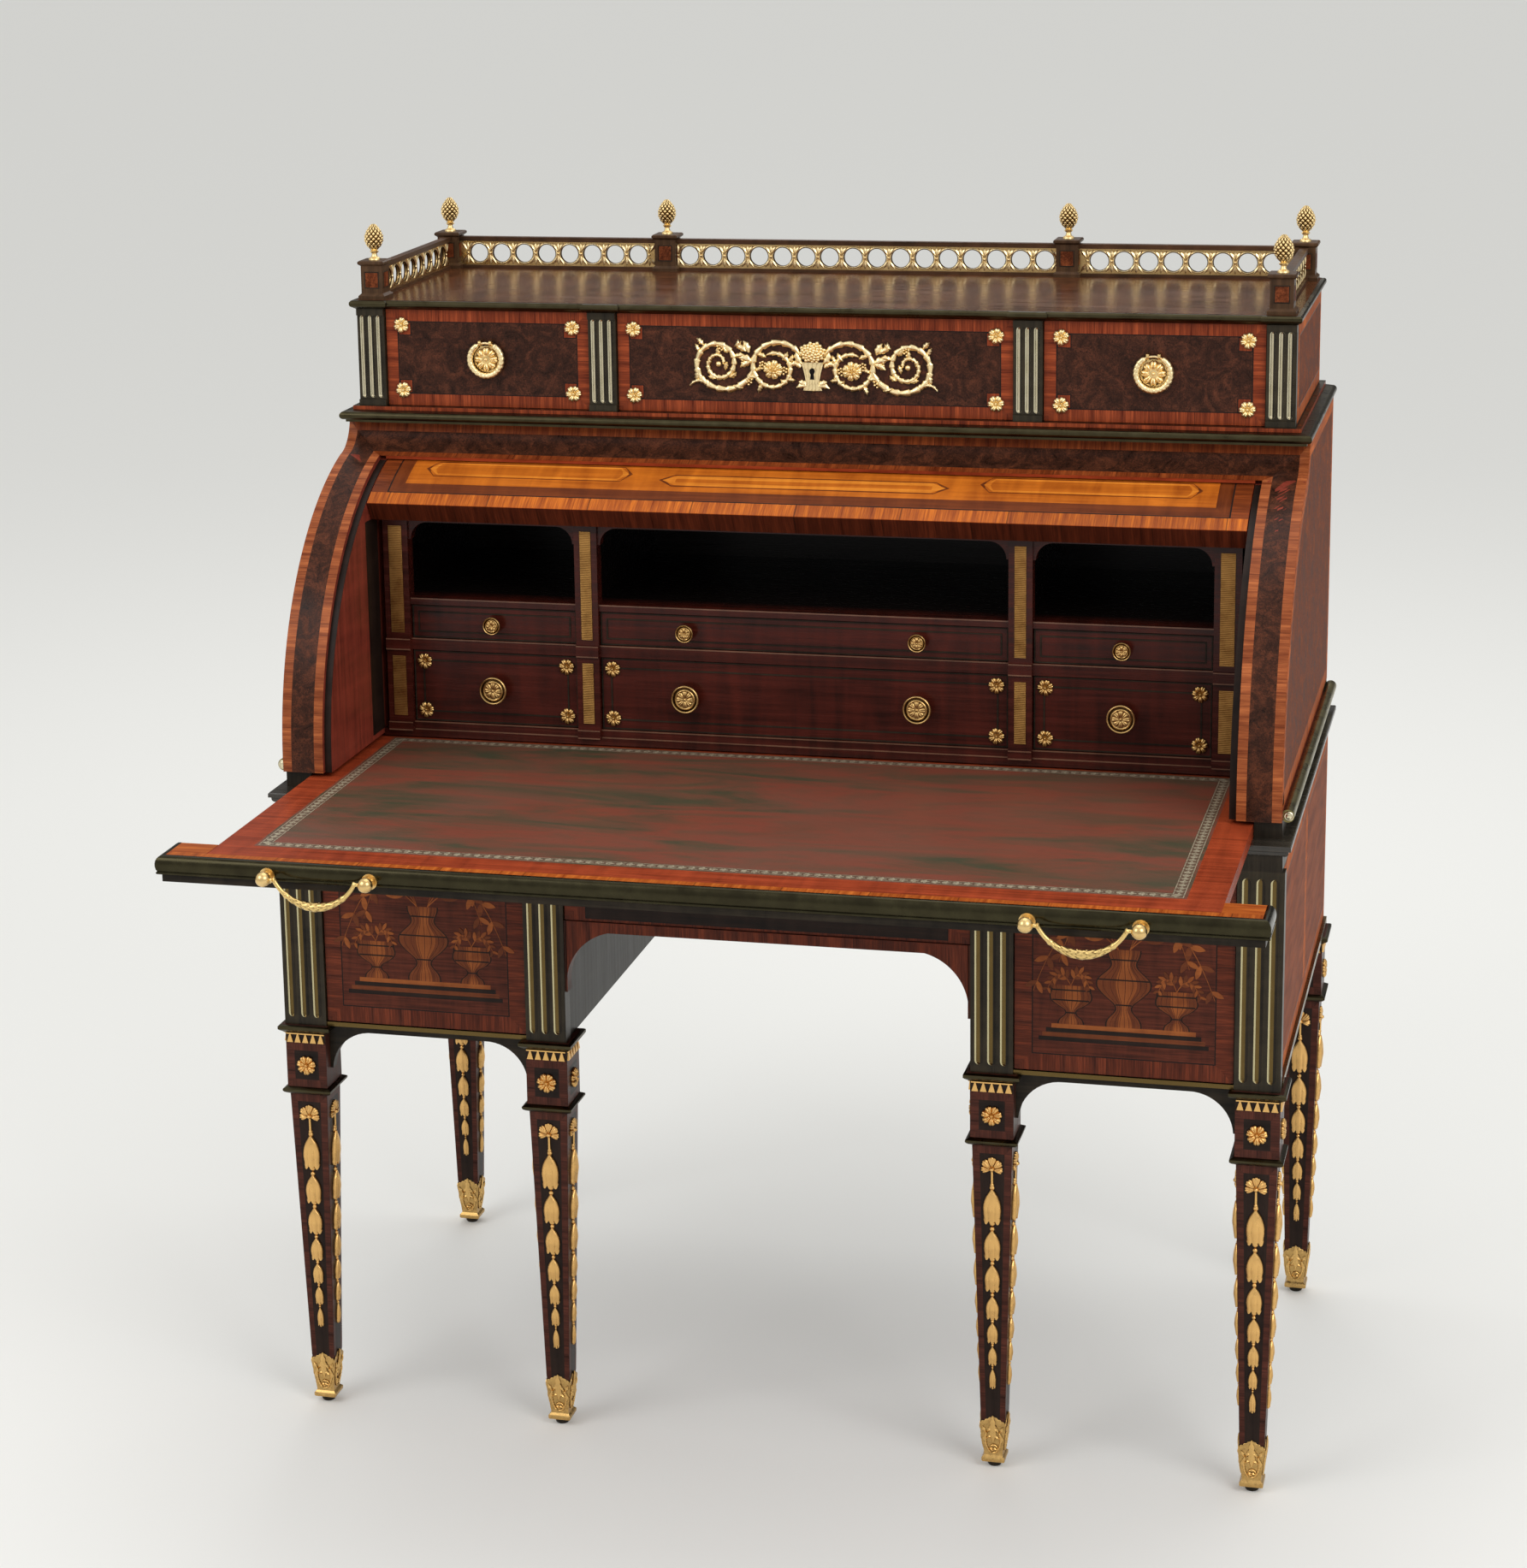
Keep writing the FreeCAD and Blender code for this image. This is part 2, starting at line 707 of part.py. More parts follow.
def cove():
    """The hollow board between the end boards, over the top of the cylinder."""
    outer = size("cylinder_radius") + size("end_board_reveal")
    inner = size("cylinder_radius") + size("cove_clearance")
    neck, dip, head = hollow(outer)
    edge = size("cove_start_angle")
    back = head[0] + size("cove_thickness")
    last = math.degrees(math.acos((size("axis_y") - back) / inner))
    face = outline("yz", polar(inner, edge), neck, (dip, head), (back, head[1]), polar(inner, last),
                   (polar(inner, (edge + last) / 2), polar(inner, edge)))
    half = size("end_inner")
    keep(feature("cove_board", prism(face, X_AXIS, -half, half)))


def cylinder():
    """The curved shell, its thick lower rail and the two arms it turns on."""
    outer = size("cylinder_radius")
    inner = outer - size("cylinder_thickness")
    low = size("cylinder_open_angle")
    high = low + size("cylinder_sweep_angle")
    half = size("end_inner") - size("cylinder_side_gap")
    rail = math.degrees(size("cylinder_rail_height") / outer)
    shell = prism(sector(inner, outer, low + rail, high), X_AXIS, -half, half)
    edge = prism(sector(outer - size("cylinder_rail_thickness"), outer, low, low + rail),
                 X_AXIS, -half, half)
    keep(feature("cylinder_shell", Part.makeCompound([shell, edge])))

    near = size("end_inner") - size("arm_gap") - size("arm_thickness")
    far = size("end_inner") - size("arm_gap")
    rim = prism(sector(inner - size("arm_rim"), inner, low + rail, high), X_AXIS, near, far)
    centre = Vector(near, size("axis_y"), size("axis_z"))
    arm = rim.fuse(Part.makeCylinder(size("arm_boss") / 2, size("arm_thickness"), centre, X_AXIS))
    width = size("arm_spoke") / 2
    for lead in (size("arm_first_angle"), size("arm_second_angle")):
        lean = math.radians(low + lead)
        across = Vector(0, math.sin(lean), math.cos(lean)) * width
        along = Vector(0, -math.cos(lean), math.sin(lean)) * (inner - size("arm_rim") / 2)
        corners = [centre + across, centre + across + along, centre - across + along, centre - across]
        spoke = Part.Face(Part.makePolygon(corners + corners[:1])).extrude(X_AXIS * size("arm_thickness"))
        arm = arm.fuse(spoke)
    bore = Part.makeCylinder(size("pin_diameter") / 2 + size("pin_clearance"),
                             size("arm_thickness"), centre, X_AXIS)
    arm = arm.cut(bore).removeSplitter()
    keep(feature("cylinder_arms", Part.makeCompound([arm, arm.mirror(Vector(0, 0, 0), X_AXIS)])))


# Writing slide.

def writing_slide():
    """Panel with its leather, the front rail, its brass nose and four ball posts."""
    panel = board("slide_blank", middle("slide_half"), ("rail_back", "rail_back + slide_length"),
                  ("slide_bottom", "slide_top"))
    leather_x = middle("slide_half - leather_margin")
    leather_y = ("rail_back + leather_front_margin",
                 "rail_back + leather_front_margin + leather_length")
    leather_z = ("slide_top - leather_thickness", "slide_top")
    pocket = board("leather_pocket", leather_x, leather_y, leather_z)
    keep(cut("slide_panel", panel, pocket))
    keep(board("leather_top", leather_x, leather_y, leather_z))
    keep(board("slide_rail", middle("rail_half"), ("rail_front", "rail_back"),
               ("rail_bottom", "slide_top")))

    half, depth, tall = size("rail_half"), size("nose_depth"), size("rail_height")
    moulding = moulded_slab(half, size("rail_front"), size("rail_back"), size("rail_bottom"), (
        (0, 0), (depth / 2, 0), (depth / 2, tall / 7),
        ((depth, tall / 2), (depth / 2, tall * 6 / 7)), (depth / 2, tall), (0, tall)))
    core = Part.makeBox(half * 2, size("rail_depth"), tall,
                        Vector(-half, size("rail_front"), size("rail_bottom")))
    keep(feature("slide_nose", moulding.cut(core)))
    keep(feature("bail_posts", Part.makeCompound(
        [ball_post(side * size("bail_centre"), end) for side in (-1, 1) for end in (-1, 1)])))
    for name, side in (("bail_left", -1), ("bail_right", 1)):
        keep(feature(name, bail(side * size("bail_centre"))))


def ball_post(centre, end):
    """A ball on a stem, bored on its inner side for the end of a bail."""
    half = size("bail_span") / 2
    radius = size("ball_diameter") / 2
    spot = Vector(centre + end * half, size("ball_y"), size("ball_z"))
    ball = Part.makeSphere(radius, spot)
    nose = size("nose_y")
    stem = Part.makeCylinder(size("ball_stem") / 2, nose - size("ball_y"), spot, Y_AXIS)
    flange_thick = size("ball_flange_thickness")
    flange = Part.makeCylinder(size("ball_flange") / 2, flange_thick,
                               Vector(spot.x, nose - flange_thick, spot.z), Y_AXIS)
    bore = Part.makeCylinder(size("bail_pin") / 2 + size("pin_clearance"), radius + size("bail_pin"),
                             spot, X_AXIS * -end)
    return ball.fuse([stem, flange]).cut(bore)


def bail(centre):
    """A bowed handle hanging between two ball posts."""
    y, z = size("ball_y"), size("ball_z")
    reach = size("bail_span") / 2 - size("bail_shoulder")
    wire = size("bail_wire") / 2
    ends = [Vector(centre - reach, y, z), Vector(centre + reach, y, z)]
    bow = Part.Arc(ends[0], Vector(centre, y, z - size("bail_drop") + wire), ends[1]).toShape()
    tangent = bow.tangentAt(bow.FirstParameter)
    section = Part.Wire(Part.makeCircle(wire, ends[0], tangent))
    shape = Part.Wire([bow]).makePipeShell([section], True, True)
    pin = size("bail_span") / 2 - reach - size("pin_clearance") * 2
    for end, sign in zip(ends, (-1, 1)):
        shape = shape.fuse([Part.makeSphere(wire, end),
                            Part.makeCylinder(size("bail_pin") / 2, pin, end, X_AXIS * sign)])
    return shape


# Upper case and gallery.

def upper_case():
    """Moulded base, uprights, pilasters and the top board."""
    out, tall = size("base_projection"), size("upper_base_height")
    keep(feature("upper_base", moulded_slab(
        size("upper_half"), size("upper_front"), size("back_y"), size("end_top"), (
            (out * 0.7, 0), (out * 0.7, tall / 6),
            ((out, tall * 0.45), (out * 0.75, tall * 0.7)),
            (out / 3, tall * 0.75), (out / 3, tall)))))
    upright = ("base_top", "upper_top")
    keep(group("upper_uprights",
               pair("upper_side", ("upper_half - upper_side_thickness", "upper_half"),
                    ("upper_board_front", "upper_back"), upright)
               + pair("upper_divider", ("upper_inner_centre - divider_thickness / 2",
                                        "upper_inner_centre + divider_thickness / 2"),
                      ("upper_board_front", "upper_back_face"), upright)))
    keep(feature("top_board", top_board()))


def top_board():
    """The top with its cornice edge, which breaks forward over each pilaster."""
    out, tall = size("cornice_projection"), size("top_thickness")
    profile = ((0, 0), (out / 2, tall / 5), ((out, tall / 2), (out, tall * 0.8)), (out * 0.7, tall))
    front, low = size("upper_front"), size("upper_top")
    breaks = []
    for inner, outer in (("upper_bay_high", "upper_half"), ("upper_centre_bay", "upper_bay_low")):
        half = (size(outer) - size(inner)) / 2
        cap = moulded_slab(half, front - size("cornice_break"), size("upper_board_front"), low, profile)
        breaks += [cap.translated(X_AXIS * x) for x in spots(size(inner) + half)]
    board_shape = moulded_slab(size("upper_half"), front, size("upper_back"), low, profile)
    return board_shape.fuse(breaks).removeSplitter()


def pilasters():
    """Grooved pilasters on the fronts of both cases, each groove lined with a brass flute."""
    lower = ("front_y", "board_front"), ("leg_height", "bed_bottom")
    upper = ("upper_front", "upper_board_front"), ("base_top", "upper_top")
    blocks, members, liners = [], [], []
    for name, x, (y, z) in (("lower_outer_pilaster", ("bay_high", "half_width"), lower),
                            ("lower_inner_pilaster", ("kneehole_half", "bay_low"), lower),
                            ("upper_outer_pilaster", ("upper_bay_high", "upper_half"), upper),
                            ("upper_inner_pilaster", ("upper_centre_bay", "upper_bay_low"), upper)):
        grooves, strips = flutes(size(x[0]), size(x[1]), size(y[0]), size(z[0]), size(z[1]))
        for post, sign in zip(pair(name, x, y, z), (1, -1)):
            if sign < 0:
                grooves, strips = [[shape.mirror(Vector(0, 0, 0), X_AXIS) for shape in row]
                                   for row in (grooves, strips)]
            bed = feature(post.Label + "_grooves", Part.makeCompound(grooves))
            members.append(cut(post.Label + "_grooved", post, bed))
            liners += strips
        if y is upper[0]:
            reach = ("upper_front - capital_reach", "upper_front")
            blocks += pair(name + "_capital", x, reach, ("upper_top - pilaster_capital", "upper_top"))
            blocks += pair(name + "_plinth", x, reach, ("base_top", "base_top + pilaster_plinth"))
    keep(group("pilasters", members + blocks))
    keep(feature("pilaster_flutes", Part.makeCompound(liners)))


def flutes(low, high, face, bottom, top):
    """The grooves of one pilaster and their hollowed brass linings, round at both ends."""
    count, depth, wall = int(size("flute_count")), size("flute_depth"), size("flute_wall")
    half = size("flute_width_share") * (high - low) / 2
    pitch = size("flute_pitch_share") * (high - low)
    foot, head = bottom + size("flute_foot_margin") + half, top - size("flute_head_margin") - half
    chord, scoop = half - size("flute_lip"), depth - wall
    ball = (chord ** 2 + scoop ** 2) / (2 * scoop)
    grooves, strips = [], []
    for k in range(count):
        x = (low + high) / 2 + pitch * (k - (count - 1) / 2)
        front = outline("xz", (x - half, foot), ((x, foot - half), (x + half, foot)), (x + half, head),
                        ((x, head + half), (x - half, head)))
        groove = prism(front, Y_AXIS, face, face + depth)
        axis = Vector(x, face + scoop - ball, foot)
        hollowed = Part.makeCylinder(ball, head - foot, axis, Z_AXIS).fuse(
            [Part.makeSphere(ball, axis), Part.makeSphere(ball, axis + Z_AXIS * (head - foot))])
        grooves.append(groove)
        strips.append(groove.cut(hollowed))
    return grooves, strips


def gallery():
    """Posts, rails, the pierced fret between them and a pinecone on each post."""
    half, low, high = size("post_width") / 2, size("top_z"), size("post_top")
    out, cap, foot = size("post_cap_projection"), size("post_cap_height"), size("post_foot_height")
    columns = [(x, size("post_front")) for x in spots(size("post_x"))]
    columns += [(x, size("post_back")) for x in spots(size("post_x"), size("upper_inner_centre"))]
    posts = [square_turned(x, y, (
        (half + out, low), (half + out, low + foot * 0.6), (half, low + foot), (half, high - cap),
        (half + out, high - cap * 0.6), (half + out, high - cap * 0.2), (half + out / 2, high)))
        for x, y in columns]
    keep(feature("gallery_posts", Part.makeCompound(posts)))

    post, deep = size("post_x"), size("gallery_rail_depth") / 2
    bars = (low, size("gallery_sill_height")), (size("fret_high"), size("gallery_rail_height"))
    back, front, centre = size("post_back"), size("post_front"), size("upper_inner_centre")
    spans = [("x", -post, -centre, back), ("x", -centre, centre, back), ("x", centre, post, back),
             ("y", front, back, -post), ("y", front, back, post)]
    rails, frets = [], []
    every_post = posts[0].fuse(posts[1:])
    for direction, start, end, place in spans:
        for height, tall in bars:
            rails.append(span_box(direction, start, end, place, deep, height, tall).cut(every_post))
        frets.append(fret(direction, start + half, end - half, place).cut(every_post))
    keep(feature("gallery_rails", Part.makeCompound(rails)))
    keep(feature("gallery_fret", Part.makeCompound(frets)))
    keep(feature("finials", Part.makeCompound([finial(x, y) for x, y in columns])))


def span_box(direction, start, end, place, deep, low, tall):
    """A straight bar from one post's middle to the next."""
    if direction == "x":
        return Part.makeBox(end - start, deep * 2, tall, Vector(start, place - deep, low))
    return Part.makeBox(deep * 2, end - start, tall, Vector(place - deep, start, low))


def fret(direction, start, end, place):
    """A brass strip pierced with a row of circles."""
    deep, low, tall = size("fret_thickness") / 2, size("fret_low"), size("fret_height")
    strip = span_box(direction, start, end, place, deep, low, tall)
    count = int((end - start) / size("fret_pitch"))
    first = (start + end) / 2 - size("fret_pitch") * (count - 1) / 2
    holes = []
    for k in range(count):
        along = first + k * size("fret_pitch")
        spot, axis = ((Vector(along, place - deep, low + tall / 2), Y_AXIS) if direction == "x"
                      else (Vector(place - deep, along, low + tall / 2), X_AXIS))
        holes.append(Part.makeCylinder(size("fret_hole") / 2, deep * 2, spot, axis))
    return strip.cut(holes)


def finial(x, y):
    """A pinecone on a short stem with a round foot."""
    low, tall = size("post_top"), size("finial_height")
    flange, stem, cone = size("finial_flange") / 2, size("finial_stem") / 2, size("finial_diameter") / 2
    face = outline("xz", (0, low), (flange, low), (flange, low + tall * 0.06),
                   ((stem, low + tall * 0.14), (stem, low + tall * 0.24)),
                   (cone * 0.6, low + tall * 0.3),
                   ((cone, low + tall * 0.5), (cone * 0.62, low + tall * 0.8)), (0, low + tall))
    shape = turned(face, Vector(0, 0, 0), Z_AXIS)
    shape.translate(Vector(x, y, 0))
    return shape


# Pigeonhole interior.

def interior():
    """The fixed pigeonhole case and the brass plates on its pilasters."""
    deep = ("interior_front", "interior_back")
    notch_y = ("axis_y - interior_notch / 2", "axis_y + interior_notch / 2")
    whole = board("interior_floor_blank", middle("end_inner"), deep, ("interior_bottom", "interior_floor"))
    notches = group("interior_notches", pair(
        "interior_notch_block", ("interior_half", "end_inner"), notch_y, ("interior_bottom", "interior_floor")))
    tall = ("interior_floor", "interior_top")
    face = ("interior_front - interior_pilaster_projection", "interior_front + interior_pilaster_depth")
    behind = ("interior_front + interior_pilaster_depth", "interior_back - interior_board")
    rails = [("plinth", "interior_floor", "large_low", "interior_back - interior_board"),
             ("drawer_rail", "large_high", "small_low", "interior_front + interior_pilaster_depth")]
    bays = [("right", ("inner_bay_low", "inner_bay_high")),
            ("left", mirrored(("inner_bay_low", "inner_bay_high"))), ("middle", middle("centre_bay"))]
    members = [cut("interior_floor_board", whole, notches),
               board("interior_roof", middle("interior_half"), behind, ("hole_high", "interior_top")),
               board("interior_back_board", middle("interior_half"),
                     ("interior_back - interior_board", "interior_back"), tall)]
    upright = ("interior_floor", "hole_high")
    members += pair("interior_side", ("interior_half - interior_board", "interior_half"), behind, upright)
    members += pair("interior_divider", ("interior_inner_centre - interior_board / 2",
                                         "interior_inner_centre + interior_board / 2"), behind, upright)
    members += pair("interior_outer_post", ("inner_bay_high", "interior_half"), face, tall)
    members += pair("interior_inner_post", ("centre_bay", "inner_bay_low"), face, tall)
    proud = ("interior_front - interior_pilaster_projection - interior_band",
             "interior_front - interior_pilaster_projection")
    for name, x in (("outer", ("inner_bay_high", "interior_half")), ("inner", ("centre_bay", "inner_bay_low"))):
        for band, low, high, end in rails:
            members += pair("%s_band_%s" % (name, band), x, proud, (low, high))
    for name, low, high, end in rails:
        members += [board("%s_%s" % (name, bay), x, ("interior_front", end), (low, high))
                    for bay, x in bays]
    members += [board("rail_frame_right", ("interior_inner_centre + interior_board / 2",
                                           "interior_half - interior_board"), behind,
                      ("large_high + running_gap", "small_low")),
                board("rail_frame_left", mirrored(("interior_inner_centre + interior_board / 2",
                                                   "interior_half - interior_board")), behind,
                      ("large_high + running_gap", "small_low")),
                board("rail_frame_middle", middle("interior_inner_centre - interior_board / 2"), behind,
                      ("large_high + running_gap", "small_low"))]
    members += [board("shelf_right", ("interior_inner_centre + interior_board / 2",
                                      "interior_half - interior_board"), behind, ("small_high", "hole_low")),
                board("shelf_left", mirrored(("interior_inner_centre + interior_board / 2",
                                              "interior_half - interior_board")), behind,
                      ("small_high", "hole_low")),
                board("shelf_middle", middle("interior_inner_centre - interior_board / 2"), behind,
                      ("small_high", "hole_low"))]
    members += [board("shelf_edge_" + bay, x, ("interior_front", "interior_front + interior_pilaster_depth"),
                      ("small_high", "hole_low")) for bay, x in bays]
    keep(group("pigeonhole_case", members))

    arches = []
    arch_front = size("interior_front")
    for low, high in ((size("inner_bay_low"), size("inner_bay_high")),
                      (-size("inner_bay_high"), -size("inner_bay_low")),
                      (-size("centre_bay"), size("centre_bay"))):
        crown = size("interior_top") - size("arch_crown") - size("interior_board")
        face_shape = arched(low, high, size("interior_top"), crown, size("arch_radius"), size("arch_radius"),
                            size("spandrel_step"))
        arches.append(prism(face_shape, Y_AXIS, arch_front, arch_front + size("interior_pilaster_depth")))
    keep(feature("pigeonhole_arches", Part.makeCompound(arches)))

    margin = "plate_margin"
    thin = ("interior_front - interior_pilaster_projection - plate_thickness",
            "interior_front - interior_pilaster_projection")
    plates = []
    for name, z in (("lower", ("large_low + %s" % margin, "large_high - %s" % margin)),
                    ("upper", ("small_low + %s" % margin, "hole_high - %s" % margin))):
        plates += pair("outer_plate_" + name, ("inner_bay_high + %s" % margin, "interior_half - %s" % margin),
                       thin, z)
        plates += pair("inner_plate_" + name, ("centre_bay + %s" % margin, "inner_bay_low - %s" % margin),
                       thin, z)
    keep(group("interior_plates", plates))


# Drawers.

def drawer(label, x, z, seat, face, front, depth, wall, base, headroom):
    """A front, two sides, a back and a bottom, each a board of its own."""
    front_back = "%s + %s" % (face, front)
    low, high = "%s + drawer_box_inset" % x[0], "%s - drawer_box_inset" % x[1]
    rear = "%s + %s" % (face, depth)
    top = "%s - %s" % (z[1], headroom)
    inside = ("%s + %s" % (low, wall), "%s - %s" % (high, wall))
    parts = [
        board(label + "_front", x, (face, front_back), z),
        board(label + "_side_low", (low, inside[0]), (front_back, rear), (seat, top)),
        board(label + "_side_high", (inside[1], high), (front_back, rear), (seat, top)),
        board(label + "_back", inside, ("%s - %s" % (rear, wall), rear), (seat, top)),
        board(label + "_bottom", inside, (front_back, "%s - %s" % (rear, wall)),
              (seat, "%s + %s" % (seat, base))),
    ]
    return keep(group(label, parts))


def inset(limits):
    """A drawer front leaves the same joint all round its opening."""
    return "%s + drawer_gap" % limits[0], "%s - drawer_gap" % limits[1]


def sides_of(label, limits, build):
    """Build the right-hand and the left-hand one of a pair of drawers."""
    build(label % "right", limits)
    build(label % "left", mirrored(limits))


def drawers():
    """Every drawer of the desk, closed."""
    def lower(label, x):
        drawer(label, inset(x), inset(("leg_height + bead_height", "bed_bottom")),
               "floor_top + running_gap", "drawer_face", "front_thickness", "lower_drawer_depth",
               "drawer_wall", "drawer_base", "drawer_headroom")

    def upper(label, x):
        drawer(label, inset(x), inset(("base_top", "upper_top")), "base_top + running_gap", "upper_face",
               "front_thickness", "upper_drawer_depth", "drawer_wall", "drawer_base", "drawer_headroom")

    def small(label, x):
        drawer(label, inset(x), inset(("small_low", "small_high")), "small_low + running_gap",
               "interior_face", "small_front_thickness", "interior_drawer_depth", "small_wall",
               "small_base", "small_headroom")

    def large(label, x):
        drawer(label, inset(x), inset(("large_low", "large_high")), "large_low + running_gap",
               "interior_face", "small_front_thickness", "interior_drawer_depth", "small_wall",
               "small_base", "small_headroom")

    sides_of("lower_%s_drawer", ("bay_low", "bay_high"), lower)
    drawer("centre_drawer", inset(middle("kneehole_half")), inset(("ceiling_top", "bed_bottom")),
           "ceiling_top + running_gap", "drawer_face", "front_thickness", "lower_drawer_depth",
           "drawer_wall", "drawer_base", "drawer_headroom")
    sides_of("upper_%s_drawer", ("upper_bay_low", "upper_bay_high"), upper)
    upper("upper_centre_drawer", middle("upper_centre_bay"))
    sides_of("small_%s_drawer", ("inner_bay_low", "inner_bay_high"), small)
    small("small_centre_drawer", middle("centre_bay"))
    sides_of("large_%s_drawer", ("inner_bay_low", "inner_bay_high"), large)
    large("large_centre_drawer", middle("centre_bay"))


def knob(x, z, diameter, height):
    """A turned brass knob with a rimmed, domed head."""
    radius, face = diameter / 2, size("interior_face")
    neck = radius * 0.38
    profile = outline("xy", (0, face), (radius * 0.55, face), (radius * 0.5, face - height * 0.12),
                      (neck, face - height * 0.2), (neck, face - height * 0.5),
                      (radius * 0.9, face - height * 0.68),
                      ((radius, face - height * 0.78), (radius * 0.92, face - height * 0.92)),
                      (radius * 0.8, face - height * 0.86),
                      dome(radius * 0.8, face - height * 0.86, height * 0.14))
    shape = turned(profile, Vector(0, 0, 0), Y_AXIS)
    shape.translate(Vector(x, 0, z))
    return shape


def knobs():
    """One knob on each side drawer and two on each middle drawer of the interior."""
    side = (size("inner_bay_low") + size("inner_bay_high")) / 2
    for row in ("small", "large"):
        z = (size(row + "_low") + size(row + "_high")) / 2
        wide, tall = size(row + "_knob_diameter"), size(row + "_knob_height")
        for name, places in (("right", (side,)), ("left", (-side,)),
                             ("centre", (-size("knob_spread"), size("knob_spread")))):
            keep(feature("%s_%s_knob" % (row, name), Part.makeCompound(
                [knob(x, z, wide, tall) for x in places])))


# Pulls and the scroll mount of the upper drawers.

def ring_pulls():
    """A ring hung at its top from two lugs of a rosette plate."""
    side = (size("upper_bay_low") + size("upper_bay_high")) / 2
    for name, x in (("left", -side), ("right", side)):
        keep(feature("ring_plate_" + name, ring_plate(x)))
        keep(feature("ring_" + name, ring(x)))


def ring_places(x):
    """Middle of the ring and of its hinge."""
    z = (size("base_top") + size("upper_top")) / 2
    radius = (size("ring_diameter") - size("ring_wire")) / 2
    y = size("upper_face") - size("ring_stand")
    return Vector(x, y, z), Vector(x, y, z + radius), radius


def lug_limits():
    """Distances from the ring's middle to the two faces of a lug."""
    far = size("ring_pin_length") / 2 + size("ring_lug_gap")
    return far - size("ring_lug"), far


def ring(x):
    """The ring, narrowed to its hinge pin where it passes between the lugs."""
    centre, hinge, radius = ring_places(x)
    wire = size("ring_wire") / 2
    shape = Part.makeTorus(radius, wire, centre, Y_AXIS)
    near, far = lug_limits()
    gap = size("ring_lug_gap")
    for sign in (-1, 1):
        low = min(sign * (near - gap), sign * (far + gap))
        slot = Part.makeBox(far - near + gap * 2, wire * 4, wire * 4,
                            Vector(x + low, hinge.y - wire * 2, hinge.z - wire * 2))
        shape = shape.cut(slot)
    reach = far + gap
    pin = Part.makeCylinder(size("ring_pin") / 2, (reach + wire) * 2,
                            hinge - X_AXIS * (reach + wire), X_AXIS)
    return shape.fuse(pin)


def ring_plate(x):
    """A disc with a domed rosette and two bored lugs for the ring."""
    centre, hinge, radius = ring_places(x)
    face = size("upper_face")
    disc = Part.makeCylinder(size("plate_diameter") / 2, size("plate_disc"),
                             Vector(x, face - size("plate_disc"), centre.z), Y_AXIS)
    half, tall = size("rosette_diameter") / 2, size("rosette_height")
    base = face - size("plate_disc")
    rosette = turned(outline("xy", (0, base), (half, base), dome(half, base, tall)),
                     Vector(0, 0, 0), Y_AXIS)
    rosette.translate(Vector(x, 0, centre.z))
    shape = disc.fuse(rosette)
    near, far = lug_limits()
    reach = size("ring_lug_reach")
    bore = size("ring_pin") / 2 + size("pin_clearance")
    for sign in (-1, 1):
        low = min(sign * near, sign * far)
        arm = Part.makeBox(far - near, face - hinge.y, reach * 2, Vector(x + low, hinge.y, hinge.z - reach))
        eye = Part.makeCylinder(reach, far - near, Vector(x + low, hinge.y, hinge.z), X_AXIS)
        bridge = Part.makeBox(far - near, size("plate_disc"), hinge.z - centre.z,
                              Vector(x + low, face - size("plate_disc"), centre.z))
        hole = Part.makeCylinder(bore, far - near, Vector(x + low, hinge.y, hinge.z), X_AXIS)
        shape = shape.fuse([arm, eye, bridge]).cut(hole)
    return shape


VOLUTE_SHARES = (1.0, 0.66, 0.55, 0.33)
TENDRIL_SHARES = (1.0, 0.56, 0.56, 0.28, 0.17)


def volute(x, z, radius, shares, start, turn, width, face, thick):
    """A flat scroll that winds inwards in half turns about one spot of the drawer front.

    Each share of the radius is reached half a turn after the one before; the
    band narrows with it, and ends in a round eye.
    """
    def edge(side):
        def point(share, angle):
            reach = radius * share + side * width * (1 + share) / 4
            return x + reach * math.cos(angle), z + reach * math.sin(angle)
        angles = [start + turn * math.pi * k for k in range(len(shares))]
        ends = [point(share, angle) for share, angle in zip(shares, angles)]
        mids = [point((a + b) / 2, angle + turn * math.pi / 2)
                for a, b, angle in zip(shares, shares[1:], angles)]
        return ends, mids
    (outer, outer_mid), (inner, inner_mid) = edge(1), edge(-1)
    forward = tuple(zip(outer_mid, outer[1:]))
    back = tuple(zip(reversed(inner_mid), reversed(inner[:-1])))
    band = prism(outline("xz", outer[0], *(forward + (inner[-1],) + back)), Y_AXIS, face - thick, face)
    last = start + turn * math.pi * (len(shares) - 1)
    reach = radius * shares[-1]
    eye = Part.makeCylinder(width, thick, Vector(x + reach * math.cos(last), face - thick,
                                                 z + reach * math.sin(last)), Y_AXIS)
    return band.fuse(eye)


